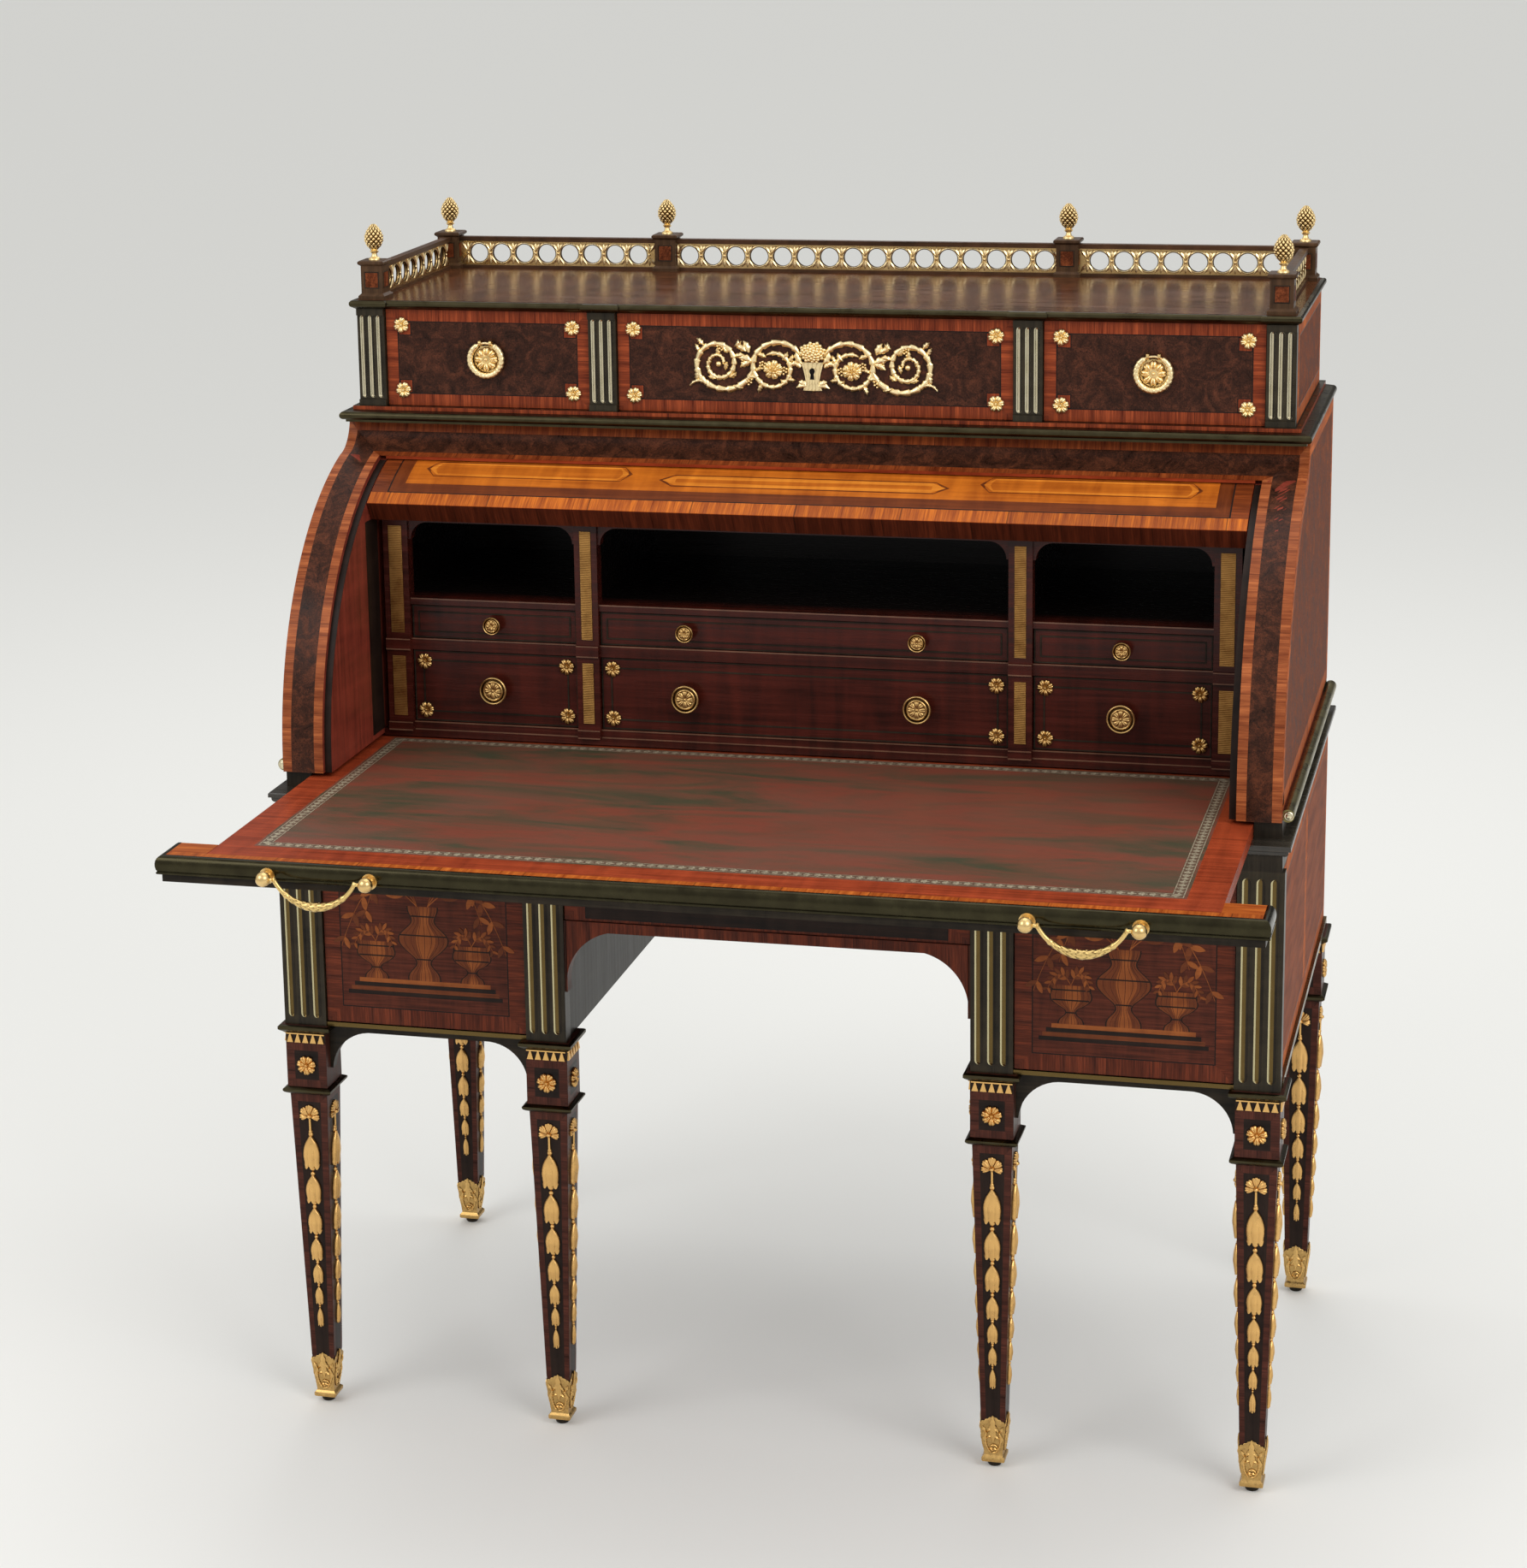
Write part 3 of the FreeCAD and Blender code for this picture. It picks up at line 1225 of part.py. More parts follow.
def scroll_mount():
    """A pierced mount of paired scrolls on either side of a keyhole shield."""
    wide, tall, thick = size("scroll_width") / 2, size("scroll_height"), size("scroll_thickness")
    rod, face = size("scroll_rod"), size("upper_face")
    z = (size("base_top") + size("upper_top")) / 2
    low = z - tall / 2

    near = volute(wide * 0.31, low + tall * 0.43, tall * 0.6, VOLUTE_SHARES,
                  math.radians(size("volute_start_angle")), -1, rod, face, thick)
    far = volute(wide * 0.765, low + tall * 0.57, tall * 0.73, TENDRIL_SHARES,
                 math.radians(size("tendril_start_angle")), 1, rod, face, thick)
    tail = outline("xz", (wide * 0.68, low + rod), ((wide * 0.86, low), (wide, low + tall * 0.1)),
                   ((wide * 0.9, low + tall * 0.26), (wide * 0.78, low + tall * 0.12)))
    half = near.fuse([far, prism(tail, Y_AXIS, face - thick, face)])
    shield = outline("xz", (-wide * 0.11, low), (wide * 0.11, low), (wide * 0.07, low + tall * 0.35),
                     ((wide * 0.13, low + tall * 0.75), (0, low + tall)),
                     ((-wide * 0.13, low + tall * 0.75), (-wide * 0.07, low + tall * 0.35)))
    body = prism(shield, Y_AXIS, face - thick, face).fuse([half, half.mirror(Vector(0, 0, 0), X_AXIS)])
    slot = rod / 3
    keyhole = outline("xz", (-slot, z - tall * 0.2), (slot, z - tall * 0.2), (slot, z),
                      ((0, z + slot * 3), (-slot, z)))
    keep(feature("scroll_mount", body.cut(prism(keyhole, Y_AXIS, face - thick, face))))


def check_and_write():
    """Refuse a failed object or shape, then write one file for each sub-part."""
    DOC.recompute()
    for item in DOC.Objects:
        if "Invalid" in item.State or "Error" in item.State:
            raise RuntimeError("%s failed: %s" % (item.Label, item.State))
    for item in NODES:
        if item.Shape.isNull() or not item.Shape.isValid():
            raise RuntimeError("%s has no valid shape" % item.Label)
    os.makedirs("parts", exist_ok=True)
    for item in NODES:
        item.Shape.exportStep("parts/%s.step" % item.Label)
    print("%d sub-parts, %d solids" % (len(NODES), sum(len(item.Shape.Solids) for item in NODES)))


legs()
aprons()
lower_case()
back_panels()
end_boards()
cove()
cylinder()
writing_slide()
upper_case()
pilasters()
gallery()
interior()
drawers()
knobs()
ring_pulls()
scroll_mount()
check_and_write()
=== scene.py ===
"""Veneers, gilt mounts, leather and studio light for the cylinder desk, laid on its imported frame."""

import json
import logging
import math
from dataclasses import dataclass, field, replace
from enum import Enum
from typing import Callable, Sequence

import bpy
import numpy as np
from mathutils import Matrix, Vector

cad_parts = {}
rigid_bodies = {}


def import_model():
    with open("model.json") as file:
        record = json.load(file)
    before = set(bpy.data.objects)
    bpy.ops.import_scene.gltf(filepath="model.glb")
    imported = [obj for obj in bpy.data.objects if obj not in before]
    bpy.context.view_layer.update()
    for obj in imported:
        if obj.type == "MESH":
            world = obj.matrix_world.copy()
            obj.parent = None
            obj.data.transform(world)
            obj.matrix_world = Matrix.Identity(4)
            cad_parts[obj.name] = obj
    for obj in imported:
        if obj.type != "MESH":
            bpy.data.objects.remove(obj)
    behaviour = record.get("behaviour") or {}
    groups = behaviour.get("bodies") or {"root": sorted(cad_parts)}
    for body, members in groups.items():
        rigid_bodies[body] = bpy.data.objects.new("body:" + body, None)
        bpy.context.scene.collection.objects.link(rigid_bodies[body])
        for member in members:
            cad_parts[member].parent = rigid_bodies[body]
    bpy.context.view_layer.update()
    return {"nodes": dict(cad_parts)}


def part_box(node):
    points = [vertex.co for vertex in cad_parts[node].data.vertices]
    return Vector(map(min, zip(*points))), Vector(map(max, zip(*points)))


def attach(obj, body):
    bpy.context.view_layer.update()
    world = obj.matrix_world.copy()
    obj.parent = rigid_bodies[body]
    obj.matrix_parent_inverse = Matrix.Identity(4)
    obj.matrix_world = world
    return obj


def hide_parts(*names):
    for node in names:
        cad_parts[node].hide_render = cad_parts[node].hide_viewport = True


Array = np.ndarray
Pair = tuple[float, float]
Triple = tuple[float, float, float]
Colour = Triple
Lay = Callable[[Array, Array, float], Array]
Socket = bpy.types.NodeSocket
Material = bpy.types.Material
MM = 0.001
# How deep the flat back of an ornament sits in its face, in millimetres.
SEAT = 0.3
# How much prouder than the veneer round them inlaid pieces and string lines lie, in millimetres.
INLAY_RISE = 0.06
LINE_RISE = 0.12
# Edges of chased work up to this many degrees are shaded as round.
CHASED = 60.0
LOG = logging.getLogger("desk")


def clear_stage() -> None:
    """Removes whatever Blender starts with."""
    for thing in list(bpy.data.objects):
        bpy.data.objects.remove(thing)


clear_stage()
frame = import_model()


# Mesh arrays.

@dataclass
class Surface:
    """A mesh in arrays, in millimetres, with a finish number for each face.

    points is (n, 3), faces is (m, 4) with -1 last for a triangle, grain is (n, 2) along and
    across the grain, and relief is how far each point stands out, from 0 to 1.
    """

    points: Array
    faces: Array
    finish: Array
    grain: Array
    relief: Array

    @classmethod
    def of(cls, points: Array, faces: Array, grain: Array | None = None,
           relief: Array | None = None) -> "Surface":
        """Fills in the arrays that a shape leaves out, and turns its faces outwards.

        Args:
            points: Corner points, any leading shape.
            faces: Corner numbers of each face.
            grain: Grain coordinates for each point.
            relief: Relief for each point.
        Returns:
            The closed surface with its normals outside.
        """
        points = points.reshape(-1, 3)
        count = len(points)
        grain = np.zeros((count, 2)) if grain is None else grain.reshape(-1, 2)
        relief = np.full(count, 0.7) if relief is None else relief.reshape(-1)
        made = cls(points, faces, np.zeros(len(faces), int), grain, relief)
        return made.flipped() if made.volume() < 0 else made

    def volume(self) -> float:
        """Signed volume, summed over the faces as tetrahedra from the middle."""
        points = self.points - self.points.mean(0)
        a, b, c, d = (points[self.faces[:, k]] for k in range(4))
        first = np.einsum("ij,ij->i", a, np.cross(b, c)).sum()
        quad = self.faces[:, 3] >= 0
        return float(first + np.einsum("ij,ij->i", a[quad], np.cross(c[quad], d[quad])).sum())

    def flipped(self) -> "Surface":
        """The same surface with every face turned round."""
        faces = self.faces[:, ::-1].copy()
        three = self.faces[:, 3] < 0
        faces[three] = self.faces[three][:, [2, 1, 0, 3]]
        return replace(self, faces=faces)

    def painted(self, finish: "Finish") -> "Surface":
        """The same surface with one finish all over."""
        return replace(self, finish=np.full(len(self.faces), finish.number))

    def placed(self, matrices: Array) -> "Surface":
        """A copy for each matrix, all in one surface.

        Args:
            matrices: One (4, 4) matrix, or (k, 4, 4) of them, none of them a mirror.
        Returns:
            The copies joined.
        """
        matrices = np.asarray(matrices, float).reshape(-1, 4, 4)
        copies, count = len(matrices), len(self.points)
        points = np.einsum("kij,nj->kni", matrices[:, :3, :3], self.points) + matrices[:, None, :3, 3]
        step = np.arange(copies)[:, None, None] * count
        faces = np.where(self.faces < 0, -1, self.faces + step)
        return Surface(points.reshape(-1, 3), faces.reshape(-1, 4), np.tile(self.finish, copies),
                       np.tile(self.grain, (copies, 1)), np.tile(self.relief, copies))

    def set_down(self, x: float, y: float, z: float = 0.0, spin: float = 0.0) -> "Surface":
        """A copy at one place, turned about z by spin degrees."""
        return self.placed(Facing.TOP.at([(x, y, z)], spin))

    def mirrored(self) -> "Surface":
        """The surface mirrored left to right, faces still outwards."""
        return replace(self.flipped(), points=self.points * (-1, 1, 1))


def joined(parts: Sequence[Surface]) -> Surface:
    """Puts surfaces together into one, without merging points.

    Args:
        parts: The surfaces.
    Returns:
        One surface that holds them all.
    """
    starts = np.cumsum([0] + [len(part.points) for part in parts[:-1]])
    faces = [np.where(part.faces < 0, -1, part.faces + start) for part, start in zip(parts, starts)]
    points, finish, grain, relief = (np.concatenate([getattr(part, name) for part in parts])
                                     for name in ("points", "finish", "grain", "relief"))
    return Surface(points, np.concatenate(faces), finish, grain, relief)


def turns(count: int) -> Array:
    """Even angles once round, in radians."""
    return np.linspace(0, math.tau, count, endpoint=False)


def grid_faces(rows: int, columns: int, wrap_rows: bool = False, wrap_columns: bool = False) -> Array:
    """Quads between neighbouring points of a grid numbered row by row.

    Args:
        rows: Count of rows.
        columns: Count of columns.
        wrap_rows: Whether the last row joins the first.
        wrap_columns: Whether the last column joins the first.
    Returns:
        The (m, 4) faces.
    """
    row, column = np.meshgrid(np.arange(rows if wrap_rows else rows - 1),
                              np.arange(columns if wrap_columns else columns - 1), indexing="ij")
    below, right = (row + 1) % rows, (column + 1) % columns
    return np.stack([row * columns + column, row * columns + right,
                     below * columns + right, below * columns + column], -1).reshape(-1, 4)


def ring_solid(rings: Array, relief: Array | None = None) -> Surface:
    """A closed solid through a row of rings, with a point in the middle of each end.

    Args:
        rings: (n, k, 3) points, k round each ring.
        relief: (n, k) relief.
    Returns:
        The closed surface.
    """
    count, sides = rings.shape[:2]
    total = count * sides
    around = np.arange(sides)
    after = (around + 1) % sides
    last = total - sides
    none = np.full(sides, -1)
    caps = [np.stack([after, around, np.full(sides, total), none], 1),
            np.stack([around + last, after + last, np.full(sides, total + 1), none], 1)]
    faces = np.concatenate([grid_faces(count, sides, wrap_columns=True)] + caps)
    points = np.concatenate([rings.reshape(-1, 3), rings[0].mean(0)[None], rings[-1].mean(0)[None]])
    if relief is not None:
        relief = np.concatenate([relief.reshape(-1), [relief[0].mean(), relief[-1].mean()]])
    return Surface.of(points, faces, relief=relief)


def slab(top: Array, bottom: Array, grain: Array | None = None, relief: Array | None = None) -> Surface:
    """A closed plate between two grids of the same shape, with a wall round the edge.

    Args:
        top: (r, c, 3) upper points.
        bottom: (r, c, 3) lower points.
        grain: (r, c, 2) grain coordinates, used on both sides.
        relief: (r, c) relief of the top; the bottom has none.
    Returns:
        The closed plate.
    """
    rows, columns = top.shape[:2]
    count = rows * columns
    number = np.arange(count).reshape(rows, columns)
    loop = np.concatenate([number[0, :-1], number[:-1, -1], number[-1, :0:-1], number[:0:-1, 0]])
    ahead = np.roll(loop, -1)
    face = grid_faces(rows, columns)
    walls = np.stack([ahead, loop, loop + count, ahead + count], 1)
    faces = np.concatenate([face, face[:, ::-1] + count, walls])
    points = np.concatenate([top.reshape(-1, 3), bottom.reshape(-1, 3)])
    if grain is not None:
        grain = np.concatenate([grain.reshape(-1, 2)] * 2)
    if relief is not None:
        relief = np.concatenate([relief.reshape(-1), np.zeros(count)])
    return Surface.of(points, faces, grain, relief)


def raised(x: Array, y: Array, high: Array, relief: Array) -> Surface:
    """An ornament whose top is a height over each (x, y), on a flat back.

    Args:
        x: (r, c) places to the right.
        y: (r, c) places upwards.
        high: (r, c) heights.
        relief: (r, c) relief.
    Returns:
        The closed ornament.
    """
    return slab(np.stack([x, y, high], -1), np.stack([x, y, np.full_like(high, -SEAT)], -1), relief=relief)


def tube(path: Array, radius: Array, normal: Array, sides: int = 8, swell: Array | None = None) -> Surface:
    """A round bar along a path that lies in one plane: each ring is path + r (cos a N + sin a B).

    Args:
        path: (n, 3) points of the middle line.
        radius: (n,) radius at each point.
        normal: The plane's normal.
        sides: Points round the bar.
        swell: (n, sides) factor on the radius.
    Returns:
        The closed bar.
    """
    along = np.gradient(path, axis=0)
    along /= np.linalg.norm(along, axis=1, keepdims=True)
    normal = np.asarray(normal, float) / np.linalg.norm(normal)
    side = np.cross(along, normal)
    angle = turns(sides)
    reach = radius[:, None] * (np.ones((len(path), sides)) if swell is None else swell)
    rings = path[:, None] + reach[..., None] * (np.cos(angle)[None, :, None] * side[:, None]
                                                + np.sin(angle)[None, :, None] * normal)
    # Painted shade: relief drops where the bar is thinner than its widest, so gilt darkens in the dips
    # between wraps.
    relief = np.clip((reach / reach.max(1, keepdims=True) - 0.8) * 4, 0.1, 1)
    return ring_solid(rings, relief)


def lathe(profile: Sequence[Pair], sides: int = 32) -> Surface:
    """A turned solid: the profile's (radius, height) pairs carried once round the z axis.

    Args:
        profile: Radius and height pairs from one end to the other.
        sides: Points round the solid.
    Returns:
        The closed solid.
    """
    turn = turns(sides)
    radius, height = np.array(profile, float).T
    rings = np.stack([radius[:, None] * np.cos(turn), radius[:, None] * np.sin(turn),
                      np.repeat(height[:, None], sides, 1)], -1)
    return ring_solid(rings)


class Facing(Enum):
    """Which way a face looks: its right, its up and its outward direction."""

    FRONT = ((1, 0, 0), (0, 0, 1), (0, -1, 0))
    BACK = ((-1, 0, 0), (0, 0, 1), (0, 1, 0))
    RIGHT = ((0, 1, 0), (0, 0, 1), (1, 0, 0))
    LEFT = ((0, -1, 0), (0, 0, 1), (-1, 0, 0))
    TOP = ((1, 0, 0), (0, 1, 0), (0, 0, 1))

    @property
    def axes(self) -> Array:
        """The three directions as rows."""
        return np.array(self.value, float)

    def at(self, places: Sequence[Sequence[float]], spin: Sequence[float] | float = 0.0,
           scale: Sequence[float] | float = 1.0) -> Array:
        """Matrices that put an ornament, made in x right, y up and z out, on this face.

        Args:
            places: (k, 3) places of the ornament's middle.
            spin: Turn about the outward direction, in degrees.
            scale: Size factor.
        Returns:
            (k, 4, 4) matrices.
        """
        places = np.asarray(places, float).reshape(-1, 3)
        turn = np.radians(np.broadcast_to(spin, len(places)))
        factor = np.broadcast_to(scale, len(places))[:, None, None]
        cosine, sine, zero = np.cos(turn), np.sin(turn), np.zeros(len(places))
        local = np.stack([np.stack([cosine, -sine, zero], 1), np.stack([sine, cosine, zero], 1),
                          np.stack([zero, zero, zero + 1], 1)], 1)
        matrices = np.tile(np.eye(4), (len(places), 1, 1))
        matrices[:, :3, :3] = self.axes.T @ local * factor
        matrices[:, :3, 3] = places
        return matrices

    def flat(self, corner: Sequence[float]) -> Lay:
        """A mapping from (u right, v up, h out) of this face to the desk's frame.

        Args:
            corner: The place where u, v and h are 0.
        Returns:
            The mapping.
        """
        right, up, out = self.axes
        start = np.asarray(corner, float)
        return lambda u, v, h: start + u[..., None] * right + v[..., None] * up + h * out


ROUND = (Facing.FRONT, Facing.BACK, Facing.LEFT, Facing.RIGHT)


@dataclass
class Veneer:
    """Thin pieces of wood laid edge to edge on one face, which lay maps from u, v and h."""

    lay: Lay
    thick: float = 0.3
    sunk: float = 0.15
    parts: list[Surface] = field(default_factory=list)

    def sheet(self, u: Array, v: Array, finish: "Finish", upright: bool = False, rise: float = 0.0) -> None:
        """One piece whose outline is a grid of (u, v); its grain coordinates are u and v.

        Args:
            u: (r, c) places to the right.
            v: (r, c) places upwards.
            finish: The wood.
            upright: Whether the piece runs along v, which swaps the grain coordinates.
            rise: How much prouder than its neighbours it lies.
        """
        grain = np.stack([v, u] if upright else [u, v], -1)
        made = slab(self.lay(u, v, self.thick + rise), self.lay(u, v, -self.sunk), grain)
        self.parts.append(made.painted(finish))

    def patch(self, corners: Sequence[Pair], finish: "Finish", upright: bool = False,
              steps: tuple[int, int] = (1, 1), rise: float = 0.0) -> None:
        """A four-cornered piece: the corners mixed in proportion on a grid.

        Args:
            corners: Lower left, lower right, upper right, upper left.
            finish: The wood.
            upright: Whether the piece runs along v.
            steps: Divisions along u and along v.
            rise: How much prouder it lies.
        """
        a, b, c, d = np.array(corners, float)
        s = np.linspace(0, 1, steps[0] + 1)[None, :, None]
        t = np.linspace(0, 1, steps[1] + 1)[:, None, None]
        spot = (1 - t) * ((1 - s) * a + s * b) + t * ((1 - s) * d + s * c)
        self.sheet(spot[..., 0], spot[..., 1], finish, upright, rise)

    def rect(self, low: Pair, high: Pair, finish: "Finish",
             upright: bool = False, steps: tuple[int, int] = (1, 1), rise: float = 0.0) -> None:
        """A rectangle between two corners."""
        self.patch([low, (high[0], low[1]), high, (low[0], high[1])], finish, upright, steps, rise)

    def border(self, low: Pair, high: Pair, width: float, finish: "Finish",
               steps: tuple[int, int] = (1, 1), rise: float = 0.0) -> None:
        """A frame of four mitred bands inside a rectangle.

        Args:
            low: Lower left corner.
            high: Upper right corner.
            width: Width of the bands.
            finish: The wood.
            steps: Divisions of the bands along u and along v.
            rise: How much prouder it lies.
        """
        (x0, y0), (x1, y1) = low, high
        a, b, c, d = x0 + width, y0 + width, x1 - width, y1 - width
        lying, standing = (steps[0], 1), (1, steps[1])
        self.patch([(x0, y0), (x1, y0), (c, b), (a, b)], finish, False, lying, rise)
        self.patch([(a, d), (c, d), (x1, y1), (x0, y1)], finish, False, lying, rise)
        self.patch([(x0, y0), (a, b), (a, d), (x0, y1)], finish, True, standing, rise)
        self.patch([(c, b), (x1, y0), (x1, y1), (c, d)], finish, True, standing, rise)

    def ribbon(self, edge: Array, other: Array, finish: "Finish", upright: bool = False,
               rise: float = 0.0) -> None:
        """A piece ruled between two lines of (n, 2) points."""
        both = np.stack([edge, other], 1)
        self.sheet(both[..., 0], both[..., 1], finish, upright, rise)

    def stave(self, left: Array, right: Array, height: Array, finish: "Finish", rise: float = 0.0) -> None:
        """An upright piece between two lines over the same heights."""
        self.ribbon(np.stack([left, height], 1), np.stack([right, height], 1), finish, True, rise)

    def panel(self, low: Pair, high: Pair, width: float,
              woods: tuple["Finish", "Finish"], upright: bool = False) -> tuple[Pair, Pair]:
        """A crossbanded panel: a mitred border with a field inside it.

        Args:
            low: Lower left corner.
            high: Upper right corner.
            width: Width of the bands.
            woods: The border's wood and the field's.
            upright: Whether the field's grain runs along v.
        Returns:
            The field's two corners.
        """
        self.border(low, high, width, woods[0])
        inner = (low[0] + width, low[1] + width), (high[0] - width, high[1] - width)
        self.rect(*inner, woods[1], upright)
        return inner

    def whole(self) -> Surface:
        """All the pieces in one surface."""
        return joined(self.parts)


# Materials.

def linear(colour: Sequence[float]) -> tuple[float, float, float, float]:
    """An 0 to 255 display colour as linear red, green, blue and alpha."""
    share = np.array(colour[:3], float) / 255
    value = np.where(share <= 0.04045, share / 12.92, ((share + 0.055) / 1.055) ** 2.4)
    return (*map(float, value), 1.0)


class Nodes:
    """Adds nodes to one tree and links them."""

    def __init__(self, tree: bpy.types.NodeTree) -> None:
        """Starts with an empty tree."""
        self.tree = tree
        tree.nodes.clear()

    def feed(self, socket: Socket, value: object) -> None:
        """Links a socket to another, or sets its value."""
        if isinstance(value, Socket):
            self.tree.links.new(value, socket)
        else:
            socket.default_value = value

    def add(self, kind: str, *values: object, **settings: object) -> bpy.types.Node:
        """Adds a node with its first inputs fed in order.

        Args:
            kind: The node's type, without its first word.
            values: What goes into each input.
            settings: The node's own settings.
        Returns:
            The node.
        """
        node = self.tree.nodes.new("ShaderNode" + kind)
        for name, value in settings.items():
            setattr(node, name, value)
        for socket, value in zip(node.inputs, values):
            self.feed(socket, value)
        return node

    def fed(self, kind: str, **inputs: object) -> bpy.types.Node:
        """A node with its inputs fed by name."""
        node = self.add(kind)
        for name, value in inputs.items():
            self.feed(node.inputs[name], value)
        return node

    def place(self) -> Socket:
        """The point in the desk's own frame, in metres."""
        return self.add("TexCoord").outputs["Object"]

    def grain(self) -> Socket:
        """The piece's own grain map: along and across, in metres."""
        return self.add("UVMap", uv_map="grain").outputs[0]

    def relief(self) -> Socket:
        """How far the point stands out on its mount, from 0 to 1."""
        return self.add("Attribute", attribute_name="relief", attribute_type="GEOMETRY").outputs["Fac"]

    def axis(self, vector: Socket, number: int) -> Socket:
        """One of a vector's three parts."""
        return self.add("SeparateXYZ", vector).outputs[number]

    def stretched(self, vector: Socket, scale: Sequence[float]) -> Socket:
        """The vector multiplied along each axis."""
        return self.add("Mapping", vector, (0, 0, 0), (0, 0, 0), tuple(scale)).outputs[0]

    def noise(self, vector: Socket, scale: float = 1.0, detail: float = 4.0, rough: float = 0.55,
              twist: float = 0.0) -> Socket:
        """Soft noise from 0 to 1."""
        return self.fed("TexNoise", Vector=vector, Scale=scale, Detail=detail, Roughness=rough,
                        Distortion=twist).outputs[0]

    def cells(self, vector: Socket, scale: float) -> Socket:
        """Distance to the nearest of scattered points."""
        return self.fed("TexVoronoi", Vector=vector, Scale=scale).outputs["Distance"]

    def sum(self, kind: str, a: object, b: object = 0.0, c: object = 0.0) -> Socket:
        """One step of arithmetic."""
        return self.add("Math", a, b, c, operation=kind).outputs[0]

    def ramp(self, value: object, stops: Sequence[tuple[float, Sequence[float]]]) -> Socket:
        """A colour picked along a row of display colours.

        Args:
            value: Where to pick, from 0 to 1.
            stops: Places and colours of the row.
        Returns:
            The colour.
        """
        node = self.add("ValToRGB", value)
        row = node.color_ramp.elements
        while len(row) < len(stops):
            row.new(0.5)
        for element, (place, colour) in zip(row, stops):
            element.position, element.color = place, linear(colour)
        return node.outputs[0]

    def level(self, value: object, low: float, high: float, start: float = 0.0, end: float = 1.0) -> Socket:
        """The value moved from one range to another, and kept inside it."""
        return self.add("MapRange", value, low, high, start, end).outputs[0]

    def mix(self, share: object, a: object, b: object, kind: str = "MIX") -> Socket:
        """Two colours mixed by a share.

        Args:
            share: How much of the second, from 0 to 1.
            a: First colour, a socket, a display colour or a list of linear values.
            b: Second colour.
            kind: Blender's word for the way of mixing.
        Returns:
            The mixed colour.
        """
        node = self.add("Mix", share, data_type="RGBA", blend_type=kind)
        # The node's colours are its inputs 6 and 7 and its output 2.
        for number, value in ((6, a), (7, b)):
            self.feed(node.inputs[number], linear(value) if isinstance(value, tuple) else value)
        return node.outputs[2]


class NodeBench(Nodes):
    """Builds the nodes of one material round a Principled shader."""

    def __init__(self, name: str) -> None:
        """Starts a material with only its shader and output."""
        self.material = bpy.data.materials.new(name)
        self.material.use_nodes = True
        super().__init__(self.material.node_tree)
        self.shader = self.add("BsdfPrincipled")
        self.add("OutputMaterial", self.shader.outputs[0])

    def bump(self, height: Socket, depth: float, strength: float) -> None:
        """Fine relief on the shader's normal, depth in metres."""
        node = self.fed("Bump", Strength=strength, Distance=depth, Height=height)
        self.feed(self.shader.inputs["Normal"], node.outputs[0])

    def done(self, colour: object, rough: object, metal: float = 0.0, level: float = 0.5) -> None:
        """Feeds the shader.

        Args:
            colour: Base colour, a socket or a display colour.
            rough: Roughness, a socket or a number.
            metal: Metallic share.
            level: Specular level.
        """
        put = self.shader.inputs
        self.feed(put["Base Color"], linear(colour) if isinstance(colour, tuple) else colour)
        self.feed(put["Roughness"], rough)
        put["Metallic"].default_value = metal
        put["Specular IOR Level"].default_value = level


class Recipe:
    """A finish that can be made into a material; each kind paints its own nodes."""

    def make(self, name: str) -> Material:
        """Makes the material.

        Args:
            name: Name of the material.
        Returns:
            The material.
        """
        bench = NodeBench(name)
        self.paint(bench)
        return bench.material

    def paint(self, bench: NodeBench) -> None:
        """Builds the nodes on a bench that holds only the shader."""
        raise NotImplementedError


# Specular level of polished veneer.
POLISH = 0.12


@dataclass(frozen=True)
class Crossband(Recipe):
    """Striped veneer cut in short lengths, its grain across the band."""

    light: Colour
    dark: Colour
    length: float = 0.056
    rough: float = 0.3
    polish: float = POLISH
    joint_share: float = 0.012
    joint: Colour = (30, 16, 10)
    dull: Colour = (176, 160, 150)

    def paint(self, bench: NodeBench) -> None:
        """Streaks fast along the band and slow across it.

        Each length has a shade of its own, with a dark joint between.

        Args:
            bench: Where the nodes go.
        """
        grain = bench.grain()
        lengths = bench.sum("DIVIDE", bench.axis(grain, 0), self.length)
        shade = bench.add("TexWhiteNoise", noise_dimensions="1D")
        bench.feed(shade.inputs["W"], bench.sum("FLOOR", lengths))
        fine = bench.noise(bench.stretched(grain, (620, 26, 1)), 1.0, 5.0, 0.62)
        broad = bench.noise(bench.stretched(grain, (120, 9, 1)), 1.0, 2.0)
        streak = bench.sum("MULTIPLY_ADD", broad, 0.5, bench.sum("MULTIPLY", fine, 0.5))
        middle = tuple((a + b) / 2 for a, b in zip(self.light, self.dark))
        colour = bench.ramp(streak, [(0.36, self.dark), (0.5, middle), (0.64, self.light)])
        tint = bench.level(shade.outputs["Value"], 0, 1, 0.0, 0.42)
        colour = bench.mix(tint, colour, bench.mix(1.0, colour, self.dull, "MULTIPLY"))
        joint = bench.sum("LESS_THAN", bench.sum("FRACT", lengths), self.joint_share)
        colour = bench.mix(bench.sum("MULTIPLY", joint, 0.6), colour, self.joint)
        bench.bump(fine, 0.00012, 0.35)
        rough = bench.level(broad, 0.2, 0.8, self.rough - 0.06, self.rough + 0.08)
        bench.done(colour, rough, level=self.polish)


